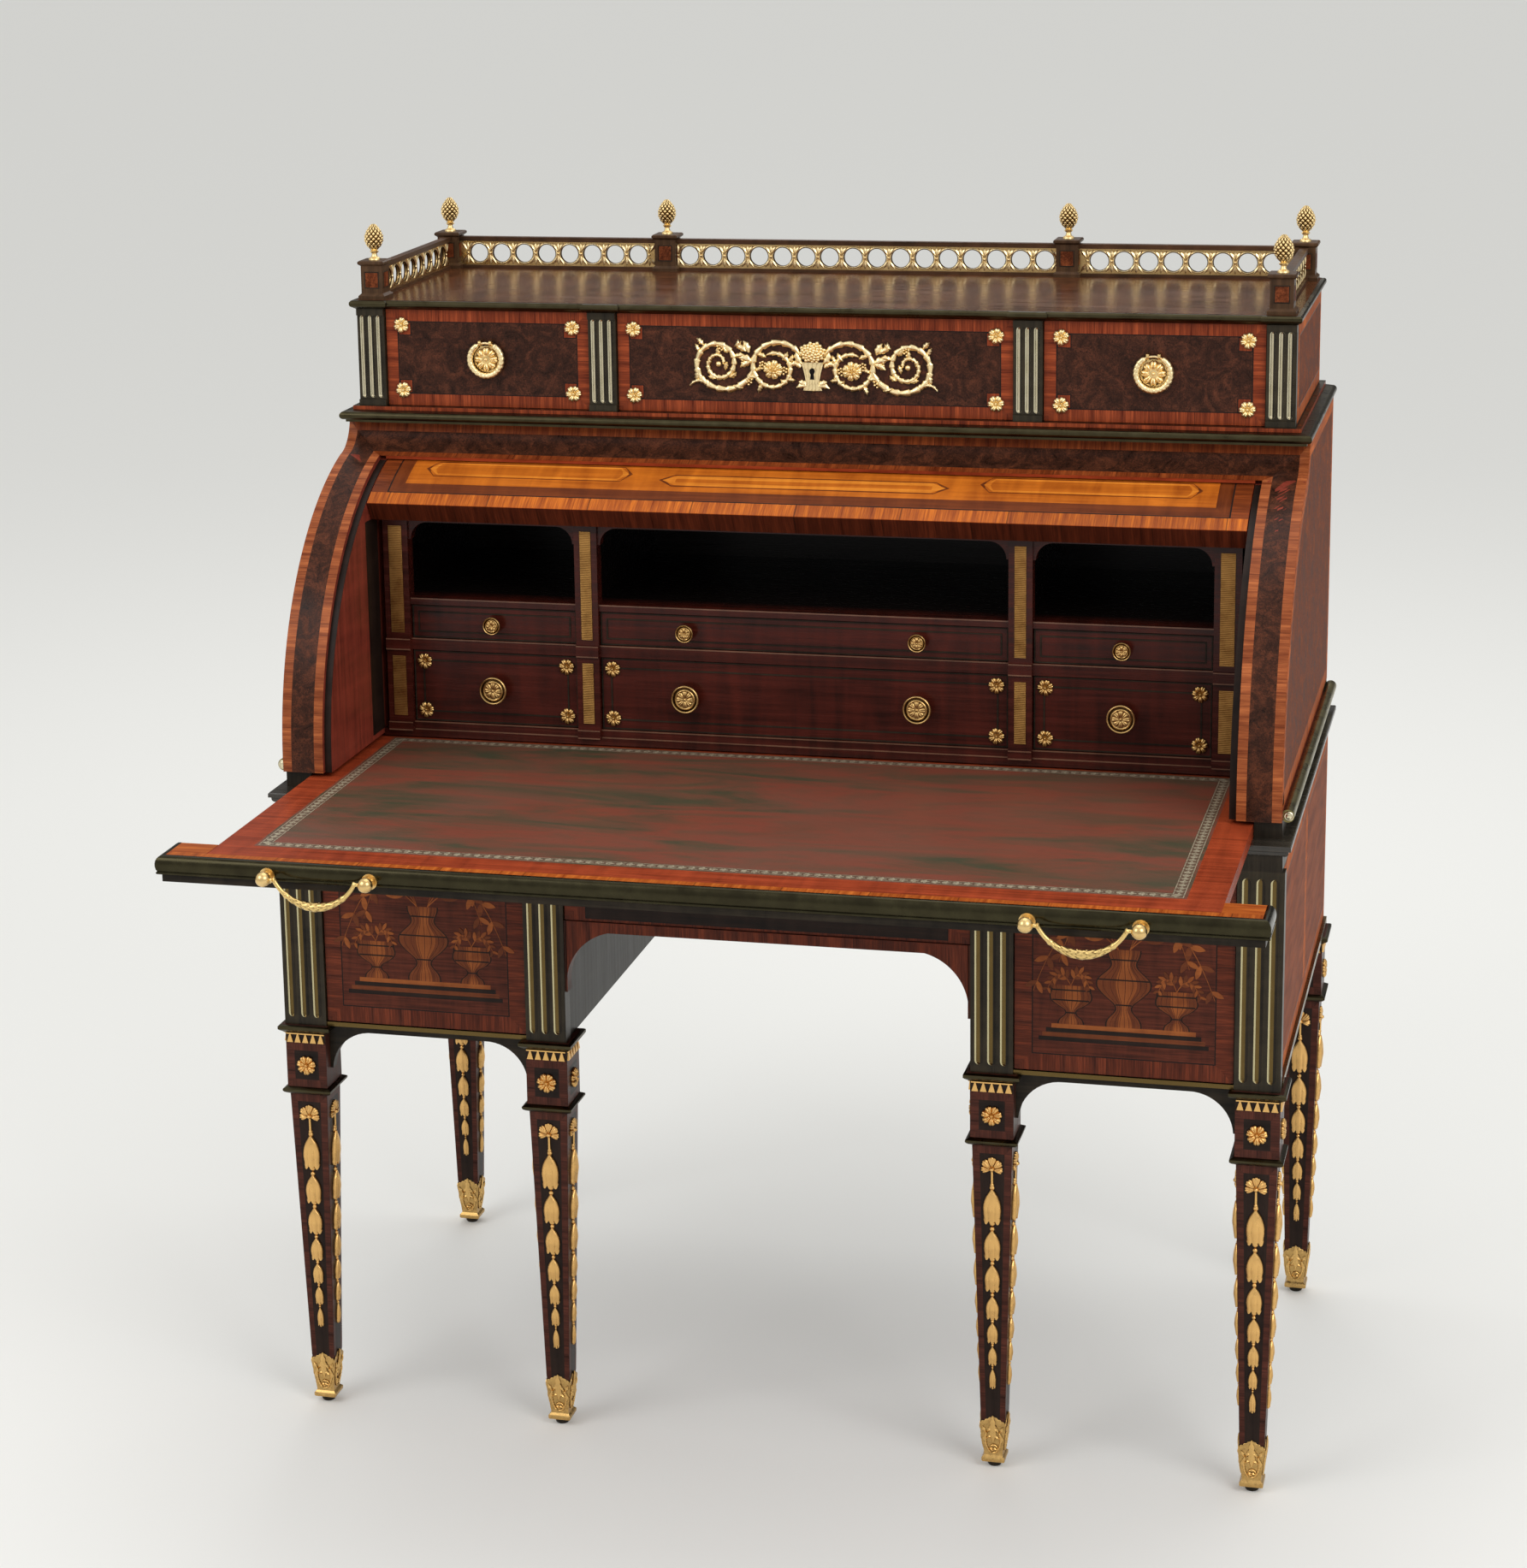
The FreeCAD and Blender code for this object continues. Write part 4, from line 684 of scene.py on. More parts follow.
@dataclass(frozen=True)
class Burl(Recipe):
    """Mottled root wood with small dark eyes."""

    light: Colour
    middle: Colour
    dark: Colour
    rough: float = 0.3
    polish: float = POLISH

    def paint(self, bench: NodeBench) -> None:
        """Twisted clouds of two sizes, with dots where a third is densest.

        Args:
            bench: Where the nodes go.
        """
        place = bench.place()
        cloud = bench.noise(place, 44, 8, 0.66, 1.4)
        curl = bench.noise(place, 320, 4, 0.6, 2.0)
        value = bench.sum("MULTIPLY_ADD", curl, 0.45, bench.sum("MULTIPLY", cloud, 0.62))
        colour = bench.ramp(value, [(0.36, self.dark), (0.52, self.middle), (0.7, self.light)])
        eyes = bench.level(bench.cells(place, 210), 0.1, 0.3, 1, 0)
        gathered = bench.level(bench.noise(place, 22, 2), 0.48, 0.62)
        dots = bench.sum("MULTIPLY", bench.sum("MULTIPLY", eyes, gathered), 0.75)
        bench.bump(curl, 0.0001, 0.3)
        rough = bench.level(cloud, 0.3, 0.7, self.rough - 0.05, self.rough + 0.1)
        bench.done(bench.mix(dots, colour, self.dark), rough, level=self.polish)


class Run(Enum):
    """The way the grain of a solid board runs: how fast its pattern changes along x, y and z."""

    X = (0.04, 1.0, 1.0)
    Y = (1.0, 0.04, 1.0)
    Z = (1.0, 1.0, 0.04)


@dataclass(frozen=True)
class Wood(Recipe):
    """Straight-grained wood with pores and a soft broad figure.

    Where it has a hollow, painted shade turns it near black beyond that depth along y, in metres.
    """

    light: Colour
    dark: Colour
    run: Run = Run.X
    veneer: bool = False
    rough: float = 0.34
    figure: float = 0.4
    polish: float = POLISH
    pace: float = 1.0
    hollow: float | None = None
    painted_shade_colour: Colour = (15, 9, 7)

    def paint(self, bench: NodeBench) -> None:
        """Noise drawn out along the grain: rings, pores and a slow cross figure.

        Args:
            bench: Where the nodes go.
        """
        place = bench.grain() if self.veneer else bench.place()
        way = np.array((Run.X if self.veneer else self.run).value)
        rings = bench.noise(bench.stretched(place, way * 150 * self.pace), 1.0, 6, 0.6, 0.4)
        pores = bench.noise(bench.stretched(place, way * 1500 * self.pace), 1.0, 2, 0.5)
        slow = bench.noise(bench.stretched(place, (1.2 - way) * 40 * self.pace), 1.0, 3, 0.5, 0.6)
        value = bench.sum("MULTIPLY_ADD", slow, self.figure, bench.sum("MULTIPLY", rings, 1 - self.figure))
        colour = bench.ramp(value, [(0.34, self.dark), (0.66, self.light)])
        colour = bench.mix(bench.level(pores, 0.58, 0.72, 0, 0.5), colour, self.dark)
        # Painted shade: near black deeper in than the hollow depth along y.
        if self.hollow is not None:
            deep = bench.level(bench.axis(place, 1), self.hollow, self.hollow + 0.03)
            colour = bench.mix(deep, colour, self.painted_shade_colour)
        bench.bump(pores, 0.00012, 0.3)
        rough = bench.level(rings, 0.3, 0.7, self.rough - 0.05, self.rough + 0.08)
        bench.done(colour, rough, level=self.polish)


@dataclass(frozen=True)
class Gilt(Recipe):
    """Fire-gilt bronze: bright where it stands out, with painted shade turning it brown in the hollows.

    Where it has a lower colour, that takes over between two heights, in metres, so it is darker towards the
    bottom.
    """

    light: Colour
    dark: Colour
    rough: float = 0.26
    chased: bool = True
    lower_colour: Colour | None = None
    bright_above: float = 0.78
    lower_below: float = 0.74

    def paint(self, bench: NodeBench) -> None:
        """Colour by relief, with painted shade darkening the low parts, and a little wear, over fine chasing
        marks.

        Args:
            bench: Where the nodes go.
        """
        place = bench.place()
        wear = bench.noise(place, 240 if self.chased else 50, 3, 0.6)
        chase = bench.noise(place, 1500, 2, 0.5)
        if self.chased:
            # Painted shade: low relief pulls the colour towards the dark stop.
            value = bench.sum("MULTIPLY_ADD", wear, 0.35, bench.sum("SUBTRACT", bench.relief(), 0.18))
            colour = bench.ramp(value, [(0.08, self.dark), (0.55, self.light)])
        else:
            colour = bench.ramp(wear, [(0.15, self.dark), (0.85, self.light)])
        # Darker towards the bottom: the lower colour takes over below a height.
        if self.lower_colour:
            below = bench.level(bench.axis(place, 2), self.bright_above, self.lower_below)
            colour = bench.mix(below, colour, self.lower_colour)
        bench.bump(chase, 0.0002, 0.3 if self.chased else 0.04)
        rough = bench.level(wear, 0.3, 0.75, self.rough - 0.06, self.rough + 0.14)
        bench.done(colour, rough, metal=1.0)


@dataclass(frozen=True)
class Reeding(Recipe):
    """A brass plate ruled with fine lines across."""

    light: Colour
    dark: Colour
    pitch: float = 0.0016

    def paint(self, bench: NodeBench) -> None:
        """A round wave up the plate, its hollows darkened by painted shade, with patches of tarnish.

        Args:
            bench: Where the nodes go.
        """
        place = bench.place()
        turn = bench.sum("MULTIPLY", bench.axis(place, 2), math.tau / self.pitch)
        wave = bench.level(bench.sum("SINE", turn), -1, 1)
        tarnish = bench.noise(place, 60, 5, 0.65)
        value = bench.sum("MULTIPLY_ADD", wave, 0.35, bench.sum("MULTIPLY", tarnish, 0.8))
        colour = bench.ramp(value, [(0.3, self.dark), (0.75, self.light)])
        bench.bump(wave, 0.0003, 0.8)
        bench.done(colour, bench.level(tarnish, 0.3, 0.7, 0.3, 0.48), metal=1.0)


@dataclass(frozen=True)
class Leather(Recipe):
    """Old writing leather, faded in long streaks."""

    red: Colour
    brown: Colour
    green: Colour
    scuffed: Colour = (60, 42, 34)

    def paint(self, bench: NodeBench) -> None:
        """Streaks along the desk in three colours, over a fine pebbled grain.

        Args:
            bench: Where the nodes go.
        """
        place = bench.place()
        streak = bench.noise(bench.stretched(place, (3.2, 14, 1)), 1.0, 8, 0.68, 0.5)
        patch = bench.noise(bench.stretched(place, (5, 9, 1)), 1.0, 4, 0.6, 0.4)
        stops = [(0.38, self.green), (0.47, self.brown), (0.56, self.red), (0.68, self.brown)]
        colour = bench.ramp(streak, stops)
        colour = bench.mix(bench.level(patch, 0.45, 0.7, 0, 0.4), colour, self.brown)
        pebble = bench.noise(place, 1400, 3, 0.6)
        scuff = bench.noise(bench.stretched(place, (60, 160, 1)), 1.0, 4, 0.7)
        colour = bench.mix(bench.level(scuff, 0.6, 0.8, 0, 0.35), colour, self.scuffed)
        bench.bump(pebble, 0.0002, 0.35)
        bench.done(colour, bench.level(patch, 0.3, 0.7, 0.38, 0.52), level=0.4)


@dataclass(frozen=True)
class Tooling(Recipe):
    """A gilt border pressed into leather: a running row of leaves between two fillets."""

    gold: Colour
    ground: Colour
    pitch: float = 0.011
    width: float = 0.013

    def paint(self, bench: NodeBench) -> None:
        """Leaf shapes from a wave along the border and its distance from the middle, worn by noise.

        Args:
            bench: Where the nodes go.
        """
        grain = bench.grain()
        across = bench.sum("DIVIDE", bench.axis(grain, 1), self.width)
        off = bench.sum("ABSOLUTE", bench.sum("SUBTRACT", across, 0.5))
        turn = bench.sum("MULTIPLY", bench.axis(grain, 0), math.tau / self.pitch)
        leaf = bench.sum("MULTIPLY_ADD", bench.sum("SINE", turn), 0.16, 0.17)
        thrice = bench.sum("COSINE", bench.sum("MULTIPLY", turn, 3.0))
        bud = bench.sum("MULTIPLY_ADD", thrice, 0.06, leaf)
        flower = bench.level(bench.sum("SUBTRACT", bud, off), -0.02, 0.03)
        line = bench.level(bench.sum("ABSOLUTE", bench.sum("SUBTRACT", off, 0.43)), 0.025, 0.05, 1, 0)
        wear = bench.level(bench.noise(bench.place(), 420, 4, 0.7), 0.36, 0.6)
        mask = bench.sum("MULTIPLY", bench.sum("MAXIMUM", flower, line), wear)
        bench.feed(bench.shader.inputs["Metallic"], bench.sum("MULTIPLY", mask, 0.6))
        bench.done(bench.mix(mask, self.ground, self.gold), 0.42)


@dataclass(frozen=True)
class Plain(Recipe):
    """A near-even surface with slight clouding: iron, string lines or shadow."""

    light: Colour
    dark: Colour
    rough: float = 0.45
    metal: float = 0.0
    scale: float = 90.0

    def paint(self, bench: NodeBench) -> None:
        """Two close colours mixed by soft noise.

        Args:
            bench: Where the nodes go.
        """
        cloud = bench.noise(bench.place(), self.scale, 4, 0.6)
        colour = bench.ramp(cloud, [(0.3, self.dark), (0.7, self.light)])
        rough = bench.level(cloud, 0.2, 0.8, self.rough - 0.05, self.rough + 0.05)
        bench.done(colour, rough, self.metal, POLISH)


class Finish(Enum):
    """Every finish on the desk, each with the recipe that makes it."""

    UPPER_BAND = Crossband((178, 84, 46), (90, 34, 19))
    COVE_BAND = Crossband((162, 80, 36), (92, 38, 18), 0.07)
    END_BAND = Crossband((188, 108, 62), (112, 52, 28), 0.034)
    LOWER_BAND = Crossband((132, 62, 38), (60, 26, 17), 0.05)
    LEG_BAND = Crossband((98, 52, 40), (50, 26, 20), 0.03)
    SLIDE_BAND = Crossband((206, 114, 44), (142, 62, 22), 0.09)
    CYLINDER_BAND = Crossband((218, 120, 36), (128, 54, 16), 0.12)
    CYLINDER_END = Crossband((150, 72, 30), (84, 36, 16), 0.12)
    EDGE_BAND = Crossband((104, 46, 26), (56, 22, 13), 0.1)
    SIDE_BAND = Crossband((204, 110, 54), (122, 58, 28), 0.05, 0.5, 0.02)
    SIDE_FIELD = Wood((150, 82, 52), (92, 46, 30), veneer=True, rough=0.5, figure=0.5, polish=0.02, pace=1.4)
    SIDE_BURL = Burl((148, 80, 47), (94, 48, 29), (44, 22, 14), 0.5, 0.02)
    EDGE_BURL = Burl((100, 54, 34), (56, 31, 21), (24, 14, 10))
    DARK_BURL = Burl((96, 54, 37), (55, 31, 22), (24, 14, 10))
    GOLD = Wood((206, 114, 32), (146, 70, 18), veneer=True, figure=0.5)
    PALE_GOLD = Wood((228, 142, 48), (182, 98, 28), veneer=True, figure=0.5)
    BROWN_BAND = Wood((120, 58, 24), (82, 36, 15), veneer=True)
    DRAWER_FIELD = Wood((104, 50, 34), (50, 24, 17), veneer=True, figure=0.25, pace=2.2)
    DARK_FIELD = Wood((46, 33, 27), (22, 15, 12), veneer=True)
    BOXWOOD = Wood((166, 96, 48), (116, 60, 30), veneer=True, figure=0.55)
    BOXWOOD_SHADE = Wood((124, 66, 36), (84, 43, 25), veneer=True)
    RED_MAHOGANY = Wood((168, 70, 38), (108, 40, 21))
    # The lining turns near black with painted shade beyond 0.4 m back.
    LINING = Wood((146, 62, 46), (96, 40, 30), Run.Z, hollow=0.4)
    DARK_MAHOGANY = Wood((76, 29, 20), (36, 15, 11))
    HOLLOW_MAHOGANY = Wood((76, 27, 18), (36, 13, 9), rough=0.24, polish=0.24, hollow=0.075)
    TOP_WOOD = Wood((104, 62, 36), (52, 29, 18), rough=0.18, polish=0.22)
    POST_WOOD = Wood((92, 66, 45), (50, 35, 24), Run.Z)
    RAIL_WOOD = Wood((92, 62, 42), (50, 34, 23))
    CAP_WOOD = Wood((60, 54, 46), (30, 27, 22), rough=0.22, polish=0.5)
    EBONY = Wood((52, 45, 36), (22, 19, 15), Run.Z)
    PILASTER_WOOD = Wood((60, 52, 38), (30, 26, 19), Run.Z, rough=0.3, polish=0.16)
    INNER_MAHOGANY = Wood((80, 28, 19), (38, 14, 10), rough=0.24, polish=0.24)
    # Painted highlight: pale brown strips along the interior's moulding edges.
    INNER_EDGE = Wood((122, 86, 66), (84, 56, 43), rough=0.24, polish=0.4)
    EBONY_LONG = Wood((54, 46, 36), (22, 18, 14))
    LEG_WOOD = Wood((84, 46, 36), (48, 27, 21), Run.Z)
    CASE_WOOD = Wood((88, 48, 34), (54, 28, 20), Run.Z, rough=0.4)
    BACK_WOOD = Wood((112, 78, 52), (76, 50, 33), Run.Z, rough=0.6, polish=0.1)
    BOX_WOOD = Wood((142, 104, 68), (104, 72, 46), Run.Y, rough=0.6, polish=0.1)
    BRIGHT_GILT = Gilt((250, 226, 174), (150, 112, 62), 0.3)
    CONE_GILT = Gilt((244, 214, 154), (84, 58, 26), 0.3)
    WORN_GILT = Gilt((200, 164, 106), (74, 52, 26), 0.3)
    PLAIN_GILT = Gilt((242, 212, 152), (206, 168, 104), 0.24, False)
    LEG_GILT = Gilt((224, 178, 110), (104, 68, 32), 0.3)
    SHOE_GILT = Gilt((226, 184, 114), (84, 58, 28), 0.28)
    FLUTE_BRASS = Gilt((222, 212, 184), (196, 182, 146), 0.26, False, (100, 82, 48))
    DARK_BRASS = Gilt((78, 72, 52), (52, 46, 32), 0.3, False)
    NOSE_BRASS = Gilt((66, 62, 44), (46, 42, 31), 0.2, False)
    BAR_BRASS = Gilt((150, 140, 94), (112, 102, 64), 0.26, False)
    RIM_BRASS = Gilt((92, 66, 36), (52, 36, 18), 0.34, False)
    # Painted highlight on the flutes, and the real colour of the waist screws.
    EDGE_BRASS = Gilt((232, 224, 196), (206, 194, 158), 0.22, False, (188, 178, 140))
    BAIL_GILT = Gilt((226, 194, 126), (98, 72, 34), 0.28)
    REEDED_BRASS = Reeding((188, 144, 82), (104, 70, 35))
    HIDE = Leather((122, 61, 45), (98, 65, 48), (64, 64, 45))
    TOOLED = Tooling((206, 196, 168), (92, 72, 56))
    IRON = Plain((70, 68, 66), (44, 42, 40), 0.45, 0.9)
    STRING = Plain((34, 28, 26), (20, 16, 14), 0.35)
    SHADOW = Plain((20, 14, 10), (12, 9, 7), 0.6)

    @property
    def number(self) -> int:
        """Its place in the list."""
        return list(Finish).index(self)


class Workshop:
    """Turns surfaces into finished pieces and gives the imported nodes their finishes."""

    def __init__(self) -> None:
        """Starts with no materials made."""
        self.materials: dict[Finish, Material] = {}
        self.order = list(Finish)

    def material(self, finish: Finish) -> Material:
        """The finish's material, made when first asked for."""
        if finish not in self.materials:
            self.materials[finish] = finish.value.make(finish.name.lower())
        return self.materials[finish]

    def piece(self, name: str, surface: Surface, body: str, smooth: float = 40.0,
              replaces: Sequence[str] = ()) -> None:
        """Puts a surface into the scene as one piece of the desk.

        Args:
            name: Name of the piece.
            surface: Its mesh in millimetres.
            body: The body it rides on.
            smooth: Edges sharper than this many degrees stay crisp.
            replaces: Nodes that it stands for.
        """
        mesh = bpy.data.meshes.new(name)
        used, index = np.unique(surface.finish, return_inverse=True)
        real = surface.faces >= 0
        corners = surface.faces[real]
        starts = np.concatenate([[0], np.cumsum(real.sum(1))[:-1]])
        mesh.vertices.add(len(surface.points))
        mesh.loops.add(len(corners))
        mesh.polygons.add(len(surface.faces))
        mesh.vertices.foreach_set("co", (surface.points * MM).astype(np.float32).ravel())
        mesh.loops.foreach_set("vertex_index", corners.astype(np.int32))
        mesh.polygons.foreach_set("loop_start", starts.astype(np.int32))
        mesh.polygons.foreach_set("material_index", index.astype(np.int32))
        mesh.polygons.foreach_set("use_smooth", np.ones(len(surface.faces), bool))
        mesh.update(calc_edges=True)
        grain, relief = surface.grain[corners] * MM, surface.relief
        mesh.uv_layers.new(name="grain").uv.foreach_set("vector", grain.astype(np.float32).ravel())
        stored = mesh.attributes.new("relief", "FLOAT", "POINT").data
        stored.foreach_set("value", relief.astype(np.float32))
        mesh.set_sharp_from_angle(angle=math.radians(smooth))
        for number in used:
            mesh.materials.append(self.material(self.order[number]))
        thing = bpy.data.objects.new(name, mesh)
        bpy.context.scene.collection.objects.link(thing)
        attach(thing, body)
        if replaces:
            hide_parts(*replaces)
        LOG.info("piece %s on %s: %d faces", name, body, len(surface.faces))

    def veneer(self, name: str, surface: Surface, body: str = "carcass") -> None:
        """A veneered piece."""
        self.piece(name, surface, body)

    def mount(self, name: str, surface: Surface, finish: Finish, body: str = "carcass",
              replaces: Sequence[str] = ()) -> None:
        """A chased gilt piece in one finish."""
        self.piece(name, surface.painted(finish), body, CHASED, replaces)

    def dress(self, finish: Finish, *nodes: str) -> None:
        """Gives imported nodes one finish.

        Args:
            finish: The finish.
            nodes: Names of the nodes.
        """
        for node in nodes:
            slots = frame["nodes"][node].data.materials
            slots.clear()
            slots.append(self.material(finish))
            LOG.info("node %s in %s", node, finish.name.lower())


def limits(node: str) -> tuple[Array, Array]:
    """Lowest and highest corner of a node, in millimetres."""
    low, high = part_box(node)
    return np.array(low) / MM, np.array(high) / MM


# Ornament shapes, each in x right, y up and z out.

def rosette(radius: float, height: float, petals: int = 6) -> Surface:
    """A flower of petals rolled up round a small button.

    Its rim is R (0.78 + 0.22 |cos(n a / 2)|^0.45), less a cleft at each tip.

    Args:
        radius: To the tips of the petals.
        height: Of the rolled petals.
        petals: Count of petals.
    Returns:
        The closed flower on a flat back.
    """
    turn = turns(petals * 10)[None]
    share = np.array([0.04, 0.1, 0.16, 0.2, 0.27, 0.38, 0.5, 0.64, 0.78, 0.89, 0.96, 1.0])[:, None]
    lobe = np.abs(np.cos(petals * turn / 2))
    cleft = np.exp(-(np.arccos(np.clip(lobe, 0, 1)) / 0.24) ** 2)
    rim = radius * (0.78 + 0.22 * lobe ** 0.45 - 0.06 * cleft)
    roll = np.sin(math.pi * np.clip((share - 0.16) / 0.94, 0, 1)) ** 0.7
    petal = roll * (0.36 + 0.64 * lobe ** 0.6) * (1 - 0.32 * cleft * (share > 0.3))
    button = np.sqrt(np.clip(1 - (share / 0.21) ** 2, 0, 1)) * 0.95
    high = np.maximum(petal, button) * height + 0.12 * height
    x, y = share * rim * np.cos(turn), share * rim * np.sin(turn)
    top = np.stack([x, y, high], -1)
    base = np.stack([x[-1], y[-1], np.full_like(x[-1], -SEAT)], -1)[None]
    relief = np.concatenate([high / height, np.zeros((1, turn.size))])
    return ring_solid(np.concatenate([top, base]), relief)


def leaf(length: float, width: float, height: float, lobes: int = 3, bend: float = 0.0, rows: int = 14,
         columns: int = 7) -> Surface:
    """A lobed leaf whose midrib turns evenly by bend.

    Its half width is w sin(pi t^0.8)^0.8, notched between the lobes.

    Args:
        length: Along the midrib.
        width: Across the widest part.
        height: Of the midrib.
        lobes: Count of lobes on a side.
        bend: Turn of the midrib from foot to tip, in degrees.
        rows: Points along the leaf.
        columns: Points across it.
    Returns:
        The closed leaf, its foot at the origin, growing along y.
    """
    t = np.linspace(0.02, 1, rows)[:, None]
    c = np.linspace(-1, 1, columns)[None]
    lean = np.radians(bend) * t
    step = length / rows
    mid_x = np.cumsum(np.sin(lean), 0) * step
    mid_y = np.cumsum(np.cos(lean), 0) * step
    notch = 1 - 0.34 * np.abs(np.sin(math.pi * lobes * t)) ** 3 * (t < 0.9)
    half = width / 2 * np.sin(math.pi * np.clip(t, 0, 1) ** 0.8 * 0.97 + 0.05) ** 0.8 * notch
    x = mid_x + c * half * np.cos(lean)
    y = mid_y - c * half * np.sin(lean) + 0.25 * np.abs(c) ** 2 * half
    groove = 1 - 0.35 * np.exp(-((np.abs(c) - 0.5) / 0.18) ** 2)
    high = height * (0.15 + 0.85 * np.sin(math.pi * (0.15 + 0.8 * t)) ** 0.7 * (1 - 0.8 * c ** 2) * groove)
    return raised(x, y, high, np.clip(high / height + 0.1, 0, 1))


def husk(width: float, length: float, height: float) -> Surface:
    """A hanging bell flower: an onion dome that narrows to a flared lip of three points.

    Two fine grooves run down it.

    Args:
        width: Across the widest part.
        length: From the neck down.
        height: Of the middle.
    Returns:
        The closed husk, its neck at the origin, hanging along -y.
    """
    t = np.linspace(0, 1, 20)[:, None]
    c = np.linspace(-1, 1, 17)[None]
    half = width / 2 * np.interp(t, (0, 0.08, 0.2, 0.35, 0.5, 0.64, 0.78, 0.9, 1.0),
                                 (0.14, 0.34, 0.64, 0.86, 0.97, 1.0, 0.96, 0.9, 0.95))
    lip = 0.13 * t ** 5 * (np.abs(np.cos(1.5 * math.pi * c)) - 0.6)
    x, y = c * half, -length * (t + lip) + 0 * c
    groove = 1 - 0.22 * np.exp(-((np.abs(c) - 0.42) / 0.09) ** 2) * np.clip(t * 3 - 0.5, 0, 1)
    round_ = np.interp(t, (0, 0.3, 0.6, 0.85, 1), (0.45, 0.85, 1.0, 0.82, 0.7))
    high = height * (0.1 + 0.9 * np.sqrt(1 - 0.95 * c ** 2) * round_ * groove)
    # Painted shade: the relief drops in the grooves and at the far sides, so the gilt darkens there.
    tint = np.clip(0.95 - 3.0 * (1 - groove) - 0.5 * np.abs(c) ** 6, 0, 1) + 0 * high
    return raised(x, y, high, tint)


def bead(radius: float, height: float, sides: int = 10) -> Surface:
    """A dome: half an ellipsoid with its flat side down."""
    angle = np.linspace(0, math.pi / 2 * 0.92, 5)[::-1]
    return lathe([(radius * math.cos(a), height * math.sin(a)) for a in angle] + [(radius, -SEAT)], sides)


def palmette(size: float, height: float) -> Surface:
    """A leafy fan: five lobes over 250 degrees, each edge cut into three, with grooves down to a button.

    Args:
        size: Radius of the fan.
        height: Of its lobes.
    Returns:
        The closed fan on a flat back, its button at the origin.
    """
    share_round = np.linspace(0, 1, 91)[None]
    turn = math.radians(-35) + math.radians(250) * share_round
    share = np.linspace(0.1, 1, 11)[:, None]
    lobe = np.abs(np.sin(5 * math.pi * share_round)) ** 0.5
    frill = np.abs(np.sin(15 * math.pi * share_round)) ** 0.6
    reach = size * (0.66 + 0.12 * np.sin(turn) + 0.18 * lobe + 0.06 * frill) * share
    fold = (0.45 + 0.4 * lobe + 0.15 * frill) * share ** 0.3
    high = height * (0.3 + 0.7 * np.sin(math.pi * (0.2 + 0.72 * share))) * fold
    x, y = reach * np.cos(turn), reach * np.sin(turn)
    fan = raised(x, y, high, np.clip(fold * 1.3 - 0.35, 0, 1))
    return joined([fan, bead(size * 0.24, height * 1.3, 14)])


def pinecone(radius: float, tall: float, low: float) -> Surface:
    """A cone on a turned foot: an egg whose radius swells into scales where two spirals of ten cross.

    Args:
        radius: Widest radius of the cone.
        tall: Height of the whole finial.
        low: Height of its foot.
    Returns:
        The closed finial about the z axis.
    """
    turn = turns(112)[None]
    t = np.linspace(0, 1, 66)[:, None]
    egg = np.sin(math.pi * (0.13 + 0.835 * t ** 0.92)) ** 0.78
    scale = (np.abs(np.cos(5 * turn + 15 * t)) * np.abs(np.cos(5 * turn - 15 * t))) ** 0.5
    reach = radius * egg * (0.74 + 0.26 * scale)
    height = low + tall * (0.3 + 0.685 * t) + tall * 0.012 * scale
    cone = np.stack([reach * np.cos(turn), reach * np.sin(turn), height + 0 * turn], -1)
    foot = np.array([(0.6, 0.0), (0.6, 0.03), (0.5, 0.06), (0.34, 0.08), (0.27, 0.13), (0.25, 0.18),
                     (0.42, 0.21), (0.44, 0.24), (0.3, 0.27)])
    ring = foot[:, :1] * radius
    stem = np.stack([ring * np.cos(turn), ring * np.sin(turn), low + tall * foot[:, 1:] + 0 * turn], -1)
    # Painted shade: low relief between the scales, so the gilt darkens there.
    relief = np.concatenate([np.full((len(foot), turn.size), 0.8), np.clip(1.6 * scale - 0.6, 0, 1)])
    return ring_solid(np.concatenate([stem, cone]), relief)


def spiral(centre: Pair, radii: Sequence[float], start: float, turn: int, points: int = 90) -> Array:
    """A winding line: one radius for each quarter turn, joined smoothly.

    Args:
        centre: Its middle.
        radii: Radius at each quarter turn.
        start: Angle of its first point, in degrees.
        turn: 1 to wind leftwards, -1 rightwards.
        points: Count of points.
    Returns:
        (n, 2) points.
    """
    quarters = np.linspace(0, len(radii) - 1, points)
    radius = np.interp(quarters, np.arange(len(radii)), radii)
    soft = np.convolve(np.pad(radius, 8, mode="edge"), np.ones(17) / 17, "valid")
    angle = math.radians(start) + turn * math.pi / 2 * quarters
    return np.stack([centre[0] + soft * np.cos(angle), centre[1] + soft * np.sin(angle)], 1)


def flat_bar(line: Array, first: float, last: float, rise: float = 1.2) -> Surface:
    """A round bar that tapers along a line in the plane of its mount."""
    path = np.column_stack([line, np.full(len(line), rise)])
    share = np.linspace(0, 1, len(line))
    radius = (first + (last - first) * share) * np.clip(np.minimum(share, 1 - share) * 14 + 0.35, 0, 1)
    return tube(path, radius, (0, 0, 1), 8)


